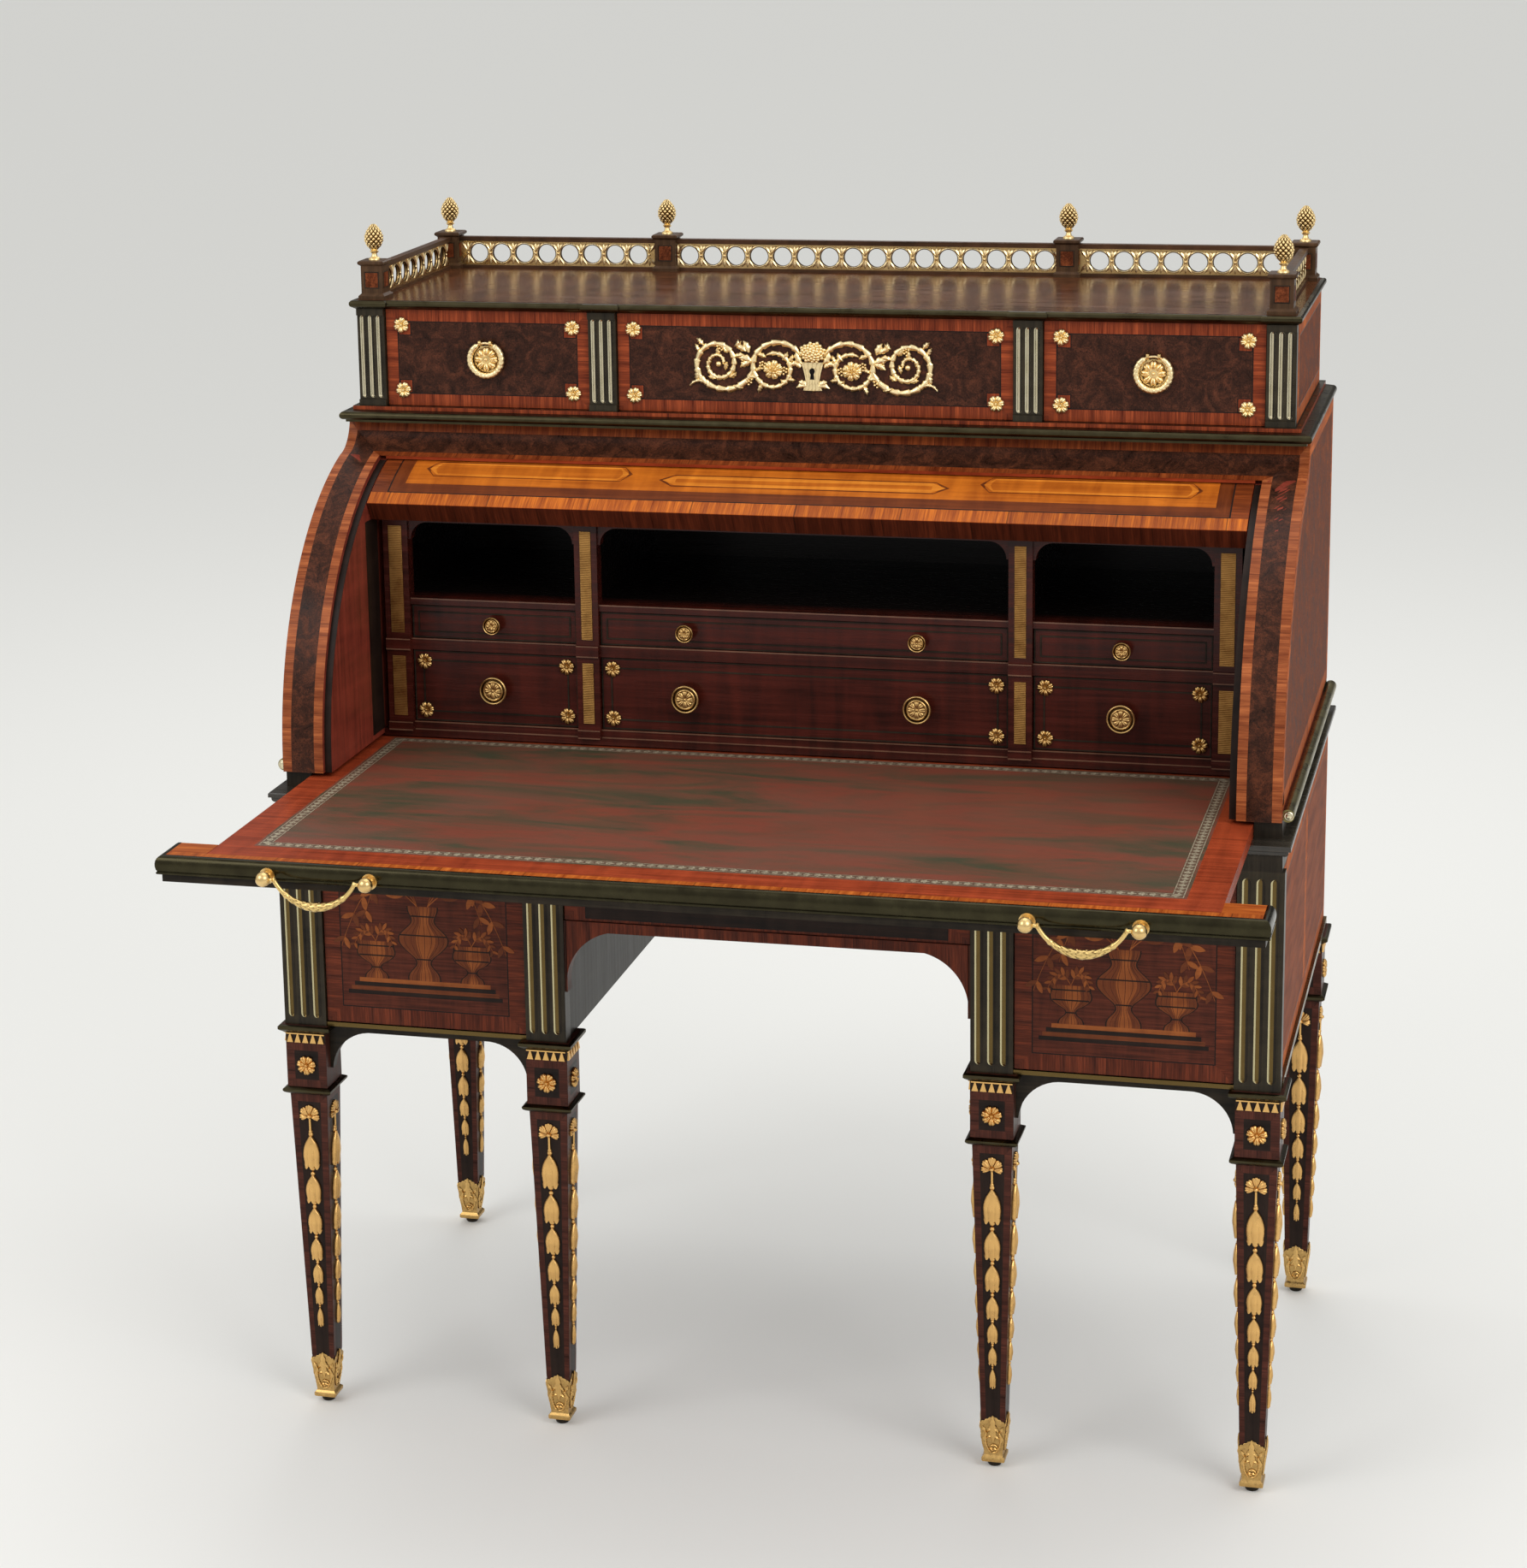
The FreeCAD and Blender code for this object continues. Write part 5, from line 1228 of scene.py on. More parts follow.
def frond(line: Array, first: float, last: float, height: float, lobes: int) -> Surface:
    """A leafed stem along a line, with a rib down its middle.

    Its half width tapers from first to last and is cut into saw-tooth lobes.

    Args:
        line: (n, 2) points of the stem.
        first: Half width at the start.
        last: Half width at the end.
        height: Of the rib.
        lobes: Count of lobes along it.
    Returns:
        The closed stem on a flat back.
    """
    share = np.linspace(0, 1, len(line))[:, None]
    way = np.gradient(line, axis=0)
    side = np.stack([-way[:, 1], way[:, 0]], 1) / np.linalg.norm(way, axis=1, keepdims=True)
    c = np.linspace(-1, 1, 7)[None]
    tooth = (lobes * share) % 1.0
    ends = np.clip(np.minimum(share, 1 - share) * 16 + 0.3, 0, 1)
    half = (first + (last - first) * share) * (0.62 + 0.46 * tooth) * ends
    spot = line[:, None] + (c * half)[..., None] * side[:, None]
    valley = 1 - 0.32 * np.exp(-((np.abs(c) - 0.55) / 0.16) ** 2)
    high = height * (0.2 + 0.8 * np.sqrt(1 - 0.9 * c ** 2)) * valley * (0.82 + 0.18 * tooth)
    return raised(spot[..., 0], spot[..., 1], high, np.clip(high / height, 0, 1))


def square_rings(x: float, y: float, sections: Sequence[Pair], side: int = 8) -> Array:
    """Rings of a square post: (half width, height) pairs, each a square with side points along an edge.

    Args:
        x: Middle of the post.
        y: Middle of the post.
        sections: Half widths and heights.
        side: Points along each edge.
    Returns:
        (n, 4 side, 3) rings.
    """
    edge = np.linspace(-1, 1, side, endpoint=False)
    one = np.ones(side)
    square = np.concatenate([np.stack([edge, -one], 1), np.stack([one, edge], 1),
                             np.stack([-edge, one], 1), np.stack([-one, -edge], 1)])
    half, height = np.array(sections, float).T
    flat = half[:, None, None] * square
    return np.concatenate([flat + (x, y), np.broadcast_to(height[:, None, None], flat.shape[:2] + (1,))], -1)


def arc_through(a: Sequence[float], b: Sequence[float], c: Sequence[float], points: int) -> Array:
    """Points on the circle through three places, from the first to the last.

    Args:
        a: First place.
        b: A place between.
        c: Last place.
        points: Count of points.
    Returns:
        (n, 2) points.
    """
    a, b, c = (np.asarray(p, float) for p in (a, b, c))
    middle = np.linalg.solve(2 * np.array([b - a, c - a]), [b @ b - a @ a, c @ c - a @ a])
    first, way, last = (math.atan2(*(p - middle)[::-1]) for p in (a, b, c))
    way, last = (first + (angle - first + math.pi) % math.tau - math.pi for angle in (way, last))
    turn = np.linspace(first, last, points)
    return middle + np.linalg.norm(a - middle) * np.stack([np.cos(turn), np.sin(turn)], 1)


def side_lay(x: float, sign: int) -> Lay:
    """A mapping for an outer side: u is the desk's y, v its z, and h goes outwards from x."""
    return lambda u, v, h: np.stack([np.full_like(u, sign * (x + h)), u, v], -1)


def front_of(node: str) -> tuple[Lay, float, float, Array]:
    """The front face of a drawer: its mapping, width, height and lower left corner."""
    low, high = limits(node)
    return Facing.FRONT.flat(low), high[0] - low[0], high[2] - low[2], low


SIDES = ((-1, "left"), (1, "right"))


@dataclass
class Gallery:
    """Posts, rails, pierced fret and pinecones round the top."""

    post_x: float = 526.0
    inner_x: float = 247.0
    front_y: float = 155.15
    back_y: float = 440.15
    post_half: float = 13.0
    post_foot: float = 1279.0
    post_cap: float = 1311.0
    post_top: float = 1317.0
    panel_inset: float = 4.2
    panel_low: float = 5.7
    panel_high: float = 6.7
    panel_line: float = 1.2
    fret_middle: float = 1290.75
    fret_half_depth: float = 1.5
    hole_radius: float = 12.25
    pitch: float = 29.2
    ring_points: tuple[int, int] = (32, 6)
    spray_leaves: tuple[Triple, ...] = ((-36, 13.0, 2.5), (0, 12.6, 1), (36, 13.0, 2.5))
    cone_radius: float = 11.5
    cone_height: float = 42.0

    def posts(self) -> Array:
        """The middles of the six posts, at the height of their tops."""
        corners = [(x, self.front_y) for x in (-self.post_x, self.post_x)]
        corners += [(x, self.back_y) for x in (-self.post_x, -self.inner_x, self.inner_x, self.post_x)]
        return np.array([(x, y, self.post_top) for x, y in corners])

    def rows(self) -> list[tuple[Facing, Array, Array]]:
        """For each run of fret: its facing, the middles of its holes and of the webs between them."""
        edge, made = self.post_half, []
        posts = (-self.post_x, -self.inner_x, self.inner_x, self.post_x)
        for low, high in zip(posts, posts[1:]):
            along = self.along(low + edge, high - edge)
            made.append((Facing.FRONT, *(self.points(row, np.full_like(row, self.back_y)) for row in along)))
        for sign, facing in ((-1, Facing.LEFT), (1, Facing.RIGHT)):
            along = self.along(self.front_y + edge, self.back_y - edge)
            made.append((facing, *(self.points(np.full_like(row, sign * self.post_x), row) for row in along)))
        return made

    def points(self, x: Array, y: Array) -> Array:
        """Places at the middle height of the fret."""
        return np.stack([x, y, np.full_like(x, self.fret_middle)], 1)

    def along(self, low: float, high: float) -> tuple[Array, Array]:
        """Places of the holes and of the webs along one run."""
        count = int((high - low) / self.pitch)
        holes = (low + high) / 2 + self.pitch * (np.arange(count) - (count - 1) / 2)
        return holes, np.append(holes - self.pitch / 2, holes[-1] + self.pitch / 2)

    def rim(self, shift: float, half: float, high: float) -> Surface:
        """A thin ring round a hole, half sunk in one face of the fret.

        Args:
            shift: How far outside the hole's edge its middle line runs.
            half: Half its width.
            high: How far it stands out.
        Returns:
            The closed ring.
        """
        turn, round_ = turns(self.ring_points[0])[:, None], turns(self.ring_points[1])[None]
        reach = self.hole_radius + shift + half * np.cos(round_)
        deep = high * np.sin(round_) + 0 * turn
        points = np.stack([reach * np.cos(turn), reach * np.sin(turn), deep], -1)
        return Surface.of(points, grid_faces(*self.ring_points, True, True))

    def spray(self) -> Surface:
        """Two fans of three leaves, up and down, from a button on the web."""
        fan = joined([leaf(length, 4.6, 1.6, 2, rows=8, columns=5).set_down(0, y, 0, spin)
                      for spin, length, y in self.spray_leaves])
        return joined([fan, fan.set_down(0, 0, 0, 180), bead(1.7, 1.8, 8)])

    def post_panels(self) -> Surface:
        """A dark line and a burl field on each side of every post."""
        panels, half, tall = [], self.post_half, self.post_cap - self.post_foot
        across = half - self.panel_inset
        for x, y, _ in self.posts():
            for facing in ROUND:
                veneer = Veneer(facing.flat(np.array((x, y, self.post_foot)) + facing.axes[2] * half))
                veneer.panel((-across, self.panel_low), (across, tall - self.panel_high), self.panel_line,
                             (Finish.EBONY_LONG, Finish.SIDE_BURL))
                panels += veneer.parts
        return joined(panels)

    def build(self, shop: Workshop) -> None:
        """Makes the pinecones, the fret's ornament and the panels of the posts."""
        cones = pinecone(self.cone_radius, self.cone_height, 0).placed(Facing.TOP.at(self.posts()))
        shop.mount("pinecones", cones, Finish.CONE_GILT, replaces=["finials"])
        # The bright outer ring is gilt; the dark inner ring is painted shade at the edge of each hole.
        rim = joined([self.rim(0.1, 1.0, 0.7).painted(Finish.BRIGHT_GILT),
                      self.rim(-0.8, 0.5, 0.9).painted(Finish.RIM_BRASS)])
        behind = {Facing.FRONT: Facing.BACK, Facing.LEFT: Facing.RIGHT, Facing.RIGHT: Facing.LEFT}
        spray, rims, sprays = self.spray(), [], []
        for facing, holes, webs in self.rows():
            out = facing.axes[2] * self.fret_half_depth
            rims += [rim.placed(facing.at(holes + out)), rim.placed(behind[facing].at(holes - out))]
            sprays += [spray.placed(facing.at(webs + out)), spray.placed(behind[facing].at(webs - out))]
        shop.piece("fret_rims", joined(rims), "carcass", CHASED)
        shop.mount("fret_leaves", joined(sprays), Finish.BRIGHT_GILT)
        shop.veneer("post_panels", self.post_panels())

    def dress(self, shop: Workshop) -> None:
        """Finishes of the fixed gallery."""
        shop.dress(Finish.POST_WOOD, "gallery_posts")
        shop.dress(Finish.RAIL_WOOD, "gallery_rails")
        shop.dress(Finish.PLAIN_GILT, "gallery_fret")


@dataclass
class UpperCase:
    """Three drawers between fluted pilasters, under the top board."""

    band: float = 14.5
    notch: float = 16.0
    string: float = 1.0
    rosette_inset: float = 19.0
    rosette_radius: float = 9.6
    rosette_spins: tuple[float, ...] = (11, 23, 5, 17)
    half_width: float = 544.0
    front_y: float = 137.15
    back_y: float = 458.15
    base_top: float = 1148.0
    top_z: float = 1272.0
    upper_top: float = 1262.0
    ring_x: float = 387.25
    ring_radius: float = 19.2
    ring_wire: float = 3.8
    ring_pin: float = 1.7
    ring_proud: float = 7.0
    boss_proud: float = 2.4
    mount_proud: float = 0.4
    face_y: float = 142.15
    mount_low: float = 1175.5
    mount_tall: float = 59.0
    side_front: float = 16.0
    side_foot: float = 2.0
    side_edge: float = 1.0
    strip_tall: float = 4.4
    strip_gap: float = 0.1
    strip_proud: float = 6.667
    strip_reach: float = 6.6
    strip_ends: Pair = (6.5, 6.0)
    berries: tuple[Pair, ...] = (
        (0, 0), (3, -1.2), (-2.8, -1.6), (0.4, -3.6), (3.2, -4.6), (-2.2, -5.2), (0.8, -7.6))
    drawers: tuple[str, ...] = ("upper_left_drawer", "upper_centre_drawer", "upper_right_drawer")

    def front(self, node: str) -> Surface:
        """Crossband, string line and burl field with a square taken out of each corner.

        Args:
            node: The drawer.
        Returns:
            The veneers of its front.
        """
        lay, wide, tall, _ = front_of(node)
        veneer, b, n, s = Veneer(lay), self.band, self.notch, self.string
        veneer.panel((0, 0), (wide, tall), b, (Finish.UPPER_BAND, Finish.DARK_BURL))
        veneer.border((b - s, b - s), (wide - b + s, tall - b + s), s, Finish.STRING, rise=LINE_RISE)
        for x in (b, wide - b - n):
            for y in (b, tall - b - n):
                veneer.rect((x, y), (x + n, y + n), Finish.UPPER_BAND, rise=INLAY_RISE)
                veneer.border((x, y), (x + n, y + n), s, Finish.STRING, rise=LINE_RISE)
        return veneer.whole()

    def flowers(self, node: str) -> Surface:
        """A rosette in each corner of a front.

        Args:
            node: The drawer.
        Returns:
            The four flowers.
        """
        _, wide, tall, low = front_of(node)
        r = self.rosette_inset
        spots = [low + (x, -SEAT, z) for x in (r, wide - r) for z in (r - 1, tall - r + 1)]
        return rosette(self.rosette_radius, 4.4).placed(Facing.FRONT.at(spots, self.rosette_spins))

    def laurel_ring(self) -> Surface:
        """The pull: a ring whose bar swells in overlapping leaves and thins to its hinge pin at the top."""
        turn, round_ = turns(128)[:, None], turns(14)[None]
        gap = np.abs((turn - math.pi / 2 + math.pi) % math.tau - math.pi) * self.ring_radius
        leaves = np.abs(np.sin(13 * turn + 1.4 * np.abs(np.sin(round_)))) ** 0.6
        wire = self.ring_pin + (self.ring_wire - self.ring_pin) * np.clip((gap - 9.2) / 1.6, 0, 1)
        bar = wire * (0.84 + 0.16 * leaves * np.clip(gap / 9 - 1, 0, 1) + 0 * round_)
        reach = self.ring_radius + bar * np.cos(round_)
        points = np.stack([reach * np.cos(turn), reach * np.sin(turn), bar * np.sin(round_)], -1)
        relief = np.clip(leaves + 0.1, 0, 1) + 0 * round_
        return Surface.of(points, grid_faces(*points.shape[:2], True, True), relief=relief)

    def scroll_half(self) -> Surface:
        """Right half of the mount: two leafed stems that wind opposite ways, a flower, sprays and berries."""
        near_heart, far_heart = (46.0, 24.4), (110.0, 29.4)
        near = spiral(near_heart, (37.0, 28.0, 21.5, 20.0, 20.0, 18.0), 154, -1, 160)
        far = spiral(far_heart, (42.0, 27.6, 25.6, 23.6, 18.0, 15.6, 12.0, 10.6, 5.0), 180, 1, 240)
        tail = arc_through((122.0, 5.0), (136.0, 9.5), (144.4, 3.0), 30)
        arm = arc_through((14.0, 27.0), (20.0, 31.5), (27.0, 29.0), 20)
        parts = [frond(near, 4.2, 3.0, 4.0, 20), frond(far, 4.6, 2.4, 4.0, 30),
                 frond(tail, 4.6, 1.4, 3.8, 5), frond(arm, 3.2, 3.8, 3.4, 3)]
        parts.append(rosette(11.4, 4.8, 7).set_down(*near_heart, 0.4))
        parts.append(rosette(5.6, 5.6, 5).set_down(*near_heart, 1.2, 30))
        parts.append(bead(3.6, 4.0, 14).set_down(*far_heart))
        sprays = ((70, 33, -60, 15), (70, 33, -100, 13), (74, 42, -10, 13), (76, 44, -48, 12),
                  (78, 40, -84, 11), (88, 47, 20, 9), (92, 50, 70, 9), (104, 52, 168, 9), (110, 49, 200, 8),
                  (127, 50, -30, 10), (133, 42, -8, 9), (134, 22, -160, 10), (64, 14, -70, 10),
                  (58, 8, -140, 10), (31, 14, 110, 9), (28, 32, 40, 9), (53, 38, -60, 10), (36, 35, 50, 10),
                  (58, 26, -100, 8), (38, 14, 140, 8), (98, 14, 70, 9), (112, 12, -60, 9), (122, 28, 20, 8),
                  (99, 33, -150, 9), (94, 6, 120, 11))
        for x, y, spin, length in sprays:
            parts.append(leaf(length * 1.25, length * 0.7, 3.8, 3, 30).set_down(x, y, 0.5, spin))
        for spot in ((74.0, 14.0), (79.0, 36.0), (108.0, 51.0), (33.0, 27.0), (58.0, 33.0)):
            places = np.column_stack([np.array(self.berries) + spot, np.full(len(self.berries), 0.8)])
            parts.append(bead(1.7, 2.8, 8).placed(Facing.TOP.at(places)))
        return joined(parts)

    def basket(self) -> Surface:
        """Middle of the mount: a waisted basket under a heap of berries, on leaves."""
        tall, berries = self.mount_tall, 46
        t = np.linspace(0, 1, 14)[:, None]
        c = np.linspace(-1, 1, 11)[None]
        half = np.interp(t, (0, 0.12, 0.3, 0.62, 1), (11, 9.5, 7.6, 9.6, 13))
        x, y = c * half, tall * (0.02 + 0.55 * t) + 0 * c
        weave = 0.7 * np.abs(np.sin(9 * math.pi * t) * np.sin(5 * math.pi * c / 2))
        high = 3.2 * np.sqrt(1 - 0.8 * c ** 2) + weave + 0.6
        body = raised(x, y, high, np.clip(0.35 + weave, 0, 1))
        count = np.arange(berries)
        reach, turn = np.sqrt((count + 0.5) / berries), count * 2.39996
        heap = np.stack([14.5 * reach * np.cos(turn), tall * 0.76 + 11.5 * reach * np.sin(turn),
                         0.6 + 4.6 * (1 - reach ** 2)], 1)
        mound = np.diag((1, 0.78, 1, 1)) @ Facing.TOP.at([(0, tall * 0.974, 0)])
        parts = [body, bead(13.8, 5.2, 24).placed(mound), bead(2.5, 2.8, 8).placed(Facing.TOP.at(heap))]
        for spin, length, x in ((-78, 17, 3), (78, 17, -3), (-52, 12, 6), (52, 12, -6), (180, 6, 0)):
            parts.append(leaf(length, 8.5, 3.2, 3, -spin * 0.5).set_down(x, tall * 0.1, 0.4, spin))
        for sign, _ in SIDES:
            parts.append(leaf(18, 9, 3.6, 3, sign * -50).set_down(sign * 11, tall * 0.52, 0.5, sign * -52))
        return joined(parts)

    def keyhole(self) -> Surface:
        """A dark key shape standing just proud of the basket: a round head over a flared slot."""
        t = np.linspace(0, 1, 16)[:, None]
        c = np.linspace(-1, 1, 5)[None]
        head = np.sqrt(np.clip(1 - ((t - 0.72) / 0.28) ** 2, 0, 1)) * 3.0
        half = np.maximum(head, np.where(t < 0.55, 2.4 - 1.6 * t, 0.9)) * (t < 0.999) + 0.05
        x, y = c * half, self.mount_tall * 0.24 + 13 * t + 0 * c
        top, bottom = (np.stack([x, y, np.full_like(x, z)], -1) for z in (4.9, 2.0))
        return slab(top, bottom)

    def build(self, shop: Workshop) -> None:
        """Makes the fronts, flowers, pulls, middle mount and the veneers of the case."""
        for node in self.drawers:
            name = node.replace("_drawer", "")
            shop.veneer(name + "_front", self.front(node), node)
            shop.mount(name + "_flowers", self.flowers(node), Finish.BRIGHT_GILT, node)
        middle = (self.base_top + self.upper_top) / 2
        boss, ring = rosette(14.6, 6.4, 8), self.laurel_ring()
        for sign, side in SIDES:
            x, proud = sign * self.ring_x, self.face_y - self.ring_proud
            flower = boss.placed(Facing.FRONT.at([(x, self.face_y - self.boss_proud, middle)]))
            shop.mount(side + "_ring_flower", flower, Finish.BRIGHT_GILT, "upper_%s_drawer" % side)
            shop.mount(side + "_laurel_ring", ring.placed(Facing.FRONT.at([(x, proud, middle)])),
                       Finish.BRIGHT_GILT, side + "_ring", ["ring_" + side])
        half = self.scroll_half()
        mount = joined([half, half.mirrored(), self.basket()]).painted(Finish.BRIGHT_GILT)
        whole = joined([mount, self.keyhole().painted(Finish.SHADOW)])
        place = Facing.FRONT.at([(0, self.face_y - self.mount_proud, self.mount_low)])
        shop.piece("scroll", whole.placed(place), "upper_centre_drawer", CHASED,
                   ["scroll_mount"])
        self.veneer_case(shop)

    def veneer_case(self, shop: Workshop) -> None:
        """Top board, sides and the strip under the drawers."""
        top = Veneer(Facing.TOP.flat((0, 0, self.top_z)))
        x, front, back = self.half_width, self.front_y, self.back_y
        top.rect((-x, front), (x, back), Finish.TOP_WOOD)
        shop.veneer("top_veneer", top.whole())
        low = (front + self.side_front, self.base_top + self.side_foot)
        high = (back - self.side_edge, self.upper_top - self.side_edge)
        for sign, side in SIDES:
            veneer = Veneer(side_lay(x, sign))
            inner = veneer.panel(low, high, self.band, (Finish.SIDE_BAND, Finish.SIDE_BURL))
            veneer.border(*inner, self.string, Finish.STRING, rise=LINE_RISE)
            shop.veneer("upper_side_%s" % side, veneer.whole())
        foot, head = self.base_top - self.strip_tall, self.base_top - self.strip_gap
        strip = Veneer(Facing.FRONT.flat((0, front - self.strip_proud, 0)))
        strip.rect((-x - self.strip_reach, foot), (x + self.strip_reach, head), Finish.UPPER_BAND)
        for sign, _ in SIDES:
            edge = Veneer(side_lay(x + self.strip_proud, sign))
            ends = front - self.strip_ends[0], back + self.strip_ends[1]
            edge.rect((ends[0], foot), (ends[1], head), Finish.UPPER_BAND)
            strip.parts += edge.parts
        shop.veneer("upper_plinth_strip", strip.whole())

    def dress(self, shop: Workshop) -> None:
        """Finishes of the upper case."""
        shop.dress(Finish.DARK_BRASS, "upper_base", "top_board")
        shop.dress(Finish.CASE_WOOD, "upper_uprights")
        shop.dress(Finish.BOX_WOOD, *self.drawers)
        shop.dress(Finish.PLAIN_GILT, "ring_plate_left", "ring_plate_right")


@dataclass
class CurvedCase:
    """End boards, the cove over them and the turning cylinder between."""

    axis_y: float = 208.15
    axis_z: float = 780.0
    board_radius: float = 330.0
    inner_x: float = 512.0
    outer_x: float = 560.0
    bottom: float = 770.0
    top: float = 1130.0
    back_y: float = 473.15
    cove_angle: float = 72.0
    cove_head_y: float = 143.15
    cove_sag: float = 6.0
    cove_shares: tuple[float, ...] = (0.0, 0.2, 0.76, 1.0)
    arc_points: int = 60
    cove_points: int = 16
    edge_steps: int = 64
    band: float = 10.5
    side_band: float = 16.0
    side_foot: float = 14.0
    side_string: float = 1.2
    side_rear: float = 1.0
    side_head: float = 0.5
    shell_radius: float = 324.0
    shell_half: float = 503.0
    shell_lap: float = 0.2
    shell_band: float = 19.0
    shell_line: float = 1.6
    brown_band: float = 16.0
    shell_steps: int = 60
    open_angle: float = 57.0
    sweep: float = 78.0
    edge_radius: float = 298.0
    long_panel: Triple = (168.0, 46.0, 70.0)
    short_panel: Triple = (124.0, 52.0, 84.0)
    panel_shift: float = 92.0
    panel_line: float = 2.2
    trellis_inset: float = 14.0
    trellis_low: float = 118.0
    trellis_high: float = 50.0
    trellis_band: float = 5.0
    trellis_columns: int = 14
    trellis_rows: int = 8
    lath_half: float = 0.9
    lozenge: float = 9.0
    lining_x: float = 504.0
    stile_front: float = 26.0
    stile_back: float = 66.0
    stile_low: float = 776.0
    stile_top: float = 1030.0

    def outline(self) -> Array:
        """The front edge in (y, z): a short upright, the quarter round, then the hollow."""
        neck = self.spot(self.cove_angle)
        head = np.array((self.cove_head_y, self.top))
        dip = (neck + head) / 2 + (self.cove_sag, -self.cove_sag)
        foot = (self.axis_y - self.board_radius, self.bottom)
        return np.concatenate([[foot], self.spot(np.linspace(0, self.cove_angle, self.arc_points)),
                               arc_through(neck, dip, head, self.cove_points)[1:]])

    def spot(self, angle: Array | float) -> Array:
        """Places on the quarter round, by their angle above the front."""
        turn, radius = np.radians(angle), self.board_radius
        return np.stack([self.axis_y - radius * np.cos(turn), self.axis_z + radius * np.sin(turn)], -1)

    def edge_lay(self) -> tuple[Lay, float, float]:
        """A mapping along the front edge: u is x and v the length along the edge.

        Returns:
            The mapping, and the lengths at which the neck and the head lie.
        """
        line = self.outline()
        step = np.diff(line, axis=0)
        way = np.concatenate([[0], np.cumsum(np.hypot(*step.T))])
        slope = np.gradient(line, way, axis=0)
        slope /= np.linalg.norm(slope, axis=1, keepdims=True)

        def lay(u: Array, v: Array, h: float) -> Array:
            """The place at x = u, v along the edge and h out from it."""
            y, z, dy, dz = (np.interp(v, way, row) for row in (*line.T, *slope.T))
            return np.stack([u, y - h * dz, z + h * dy], -1)

        return lay, float(way[self.arc_points]), float(way[-1])

    def edges(self) -> Surface:
        """Three bands up each end board, mitred into three along the cove, and painted shade on the front
        edge of each lining.
        """
        lay, neck, head = self.edge_lay()
        veneer = Veneer(lay)
        wide, steps = self.outer_x - self.inner_x, (1, self.edge_steps)
        cuts = [self.inner_x + cut for cut in (0.0, self.band, wide - self.band, wide)]
        rise = [neck + (head - neck) * share for share in self.cove_shares]
        woods = ((Finish.END_BAND, Finish.COVE_BAND), (Finish.EDGE_BURL, Finish.EDGE_BURL),
                 (Finish.END_BAND, Finish.COVE_BAND))
        for a, b, low, high, (upright, level) in zip(cuts, cuts[1:], rise, rise[1:], woods):
            for near, far in ((-a, -b), (a, b)):
                veneer.patch([(near, 0), (far, 0), (far, high), (near, low)], upright, True, steps)
            veneer.patch([(-a, low), (a, low), (b, high), (-b, high)], level, False, (1, 6))
        lay, neck, _ = replace(self, board_radius=self.shell_radius).edge_lay()
        # Painted shade: a dark strip over the front edge of each lining.
        inner = Veneer(lay)
        for sign, _ in SIDES:
            inner.rect((sign * self.lining_x, 0), (sign * self.inner_x, neck), Finish.DARK_FIELD, True, steps)
        return joined([veneer.whole(), inner.whole()])

    def side(self, sign: int) -> Surface:
        """Outer face of an end board: a crossband round the edge and a field, ruled column by column.

        Args:
            sign: -1 for the left board, 1 for the right one.
        Returns:
            The veneers.
        """
        veneer, w = Veneer(side_lay(self.outer_x, sign)), self.side_band
        low, high = self.bottom + self.side_foot, self.top - self.side_head
        crest, rear = self.top - w, self.back_y - self.side_rear
        line = np.concatenate([self.outline()[1:], [(rear, high)]])
        way = np.gradient(line, axis=0)
        way /= np.linalg.norm(way, axis=1, keepdims=True)
        inward = np.stack([way[:, 1], -way[:, 0]], 1)
        inner = line + w * inward
        # The hollow's corner would fold the columns back over each other.
        inner[:, 1] = np.minimum(inner[:, 1], crest)
        inner[-2:] = (inner[-3, 0] + 1, crest), (rear - w, crest)
        inner[0, 1] = low + w
        veneer.ribbon(line, inner, Finish.SIDE_BAND, True)
        veneer.patch([(line[0, 0], low), (rear, low), (rear - w, low + w), (inner[0, 0], low + w)],
                     Finish.SIDE_BAND)
        veneer.patch([(rear - w, low + w), (rear, low), (rear, high), (rear - w, crest)],
                     Finish.SIDE_BAND, True)
        foot = np.stack([inner[:, 0], np.full(len(inner), low + w)], 1)
        veneer.ribbon(inner[1:], foot[1:], Finish.SIDE_BURL, True)
        veneer.ribbon(inner[1:-1], (inner + self.side_string * inward)[1:-1], Finish.STRING, True, LINE_RISE)
        return veneer.whole()

    def shell_lay(self, u: Array, v: Array, h: float) -> Array:
        """A mapping on the cylinder: u is x and v the length of arc up from the lower edge."""
        turn = math.radians(self.open_angle) + v / self.shell_radius
        reach = self.shell_radius + h
        return np.stack([u, self.axis_y - reach * np.cos(turn), self.axis_z + reach * np.sin(turn)], -1)

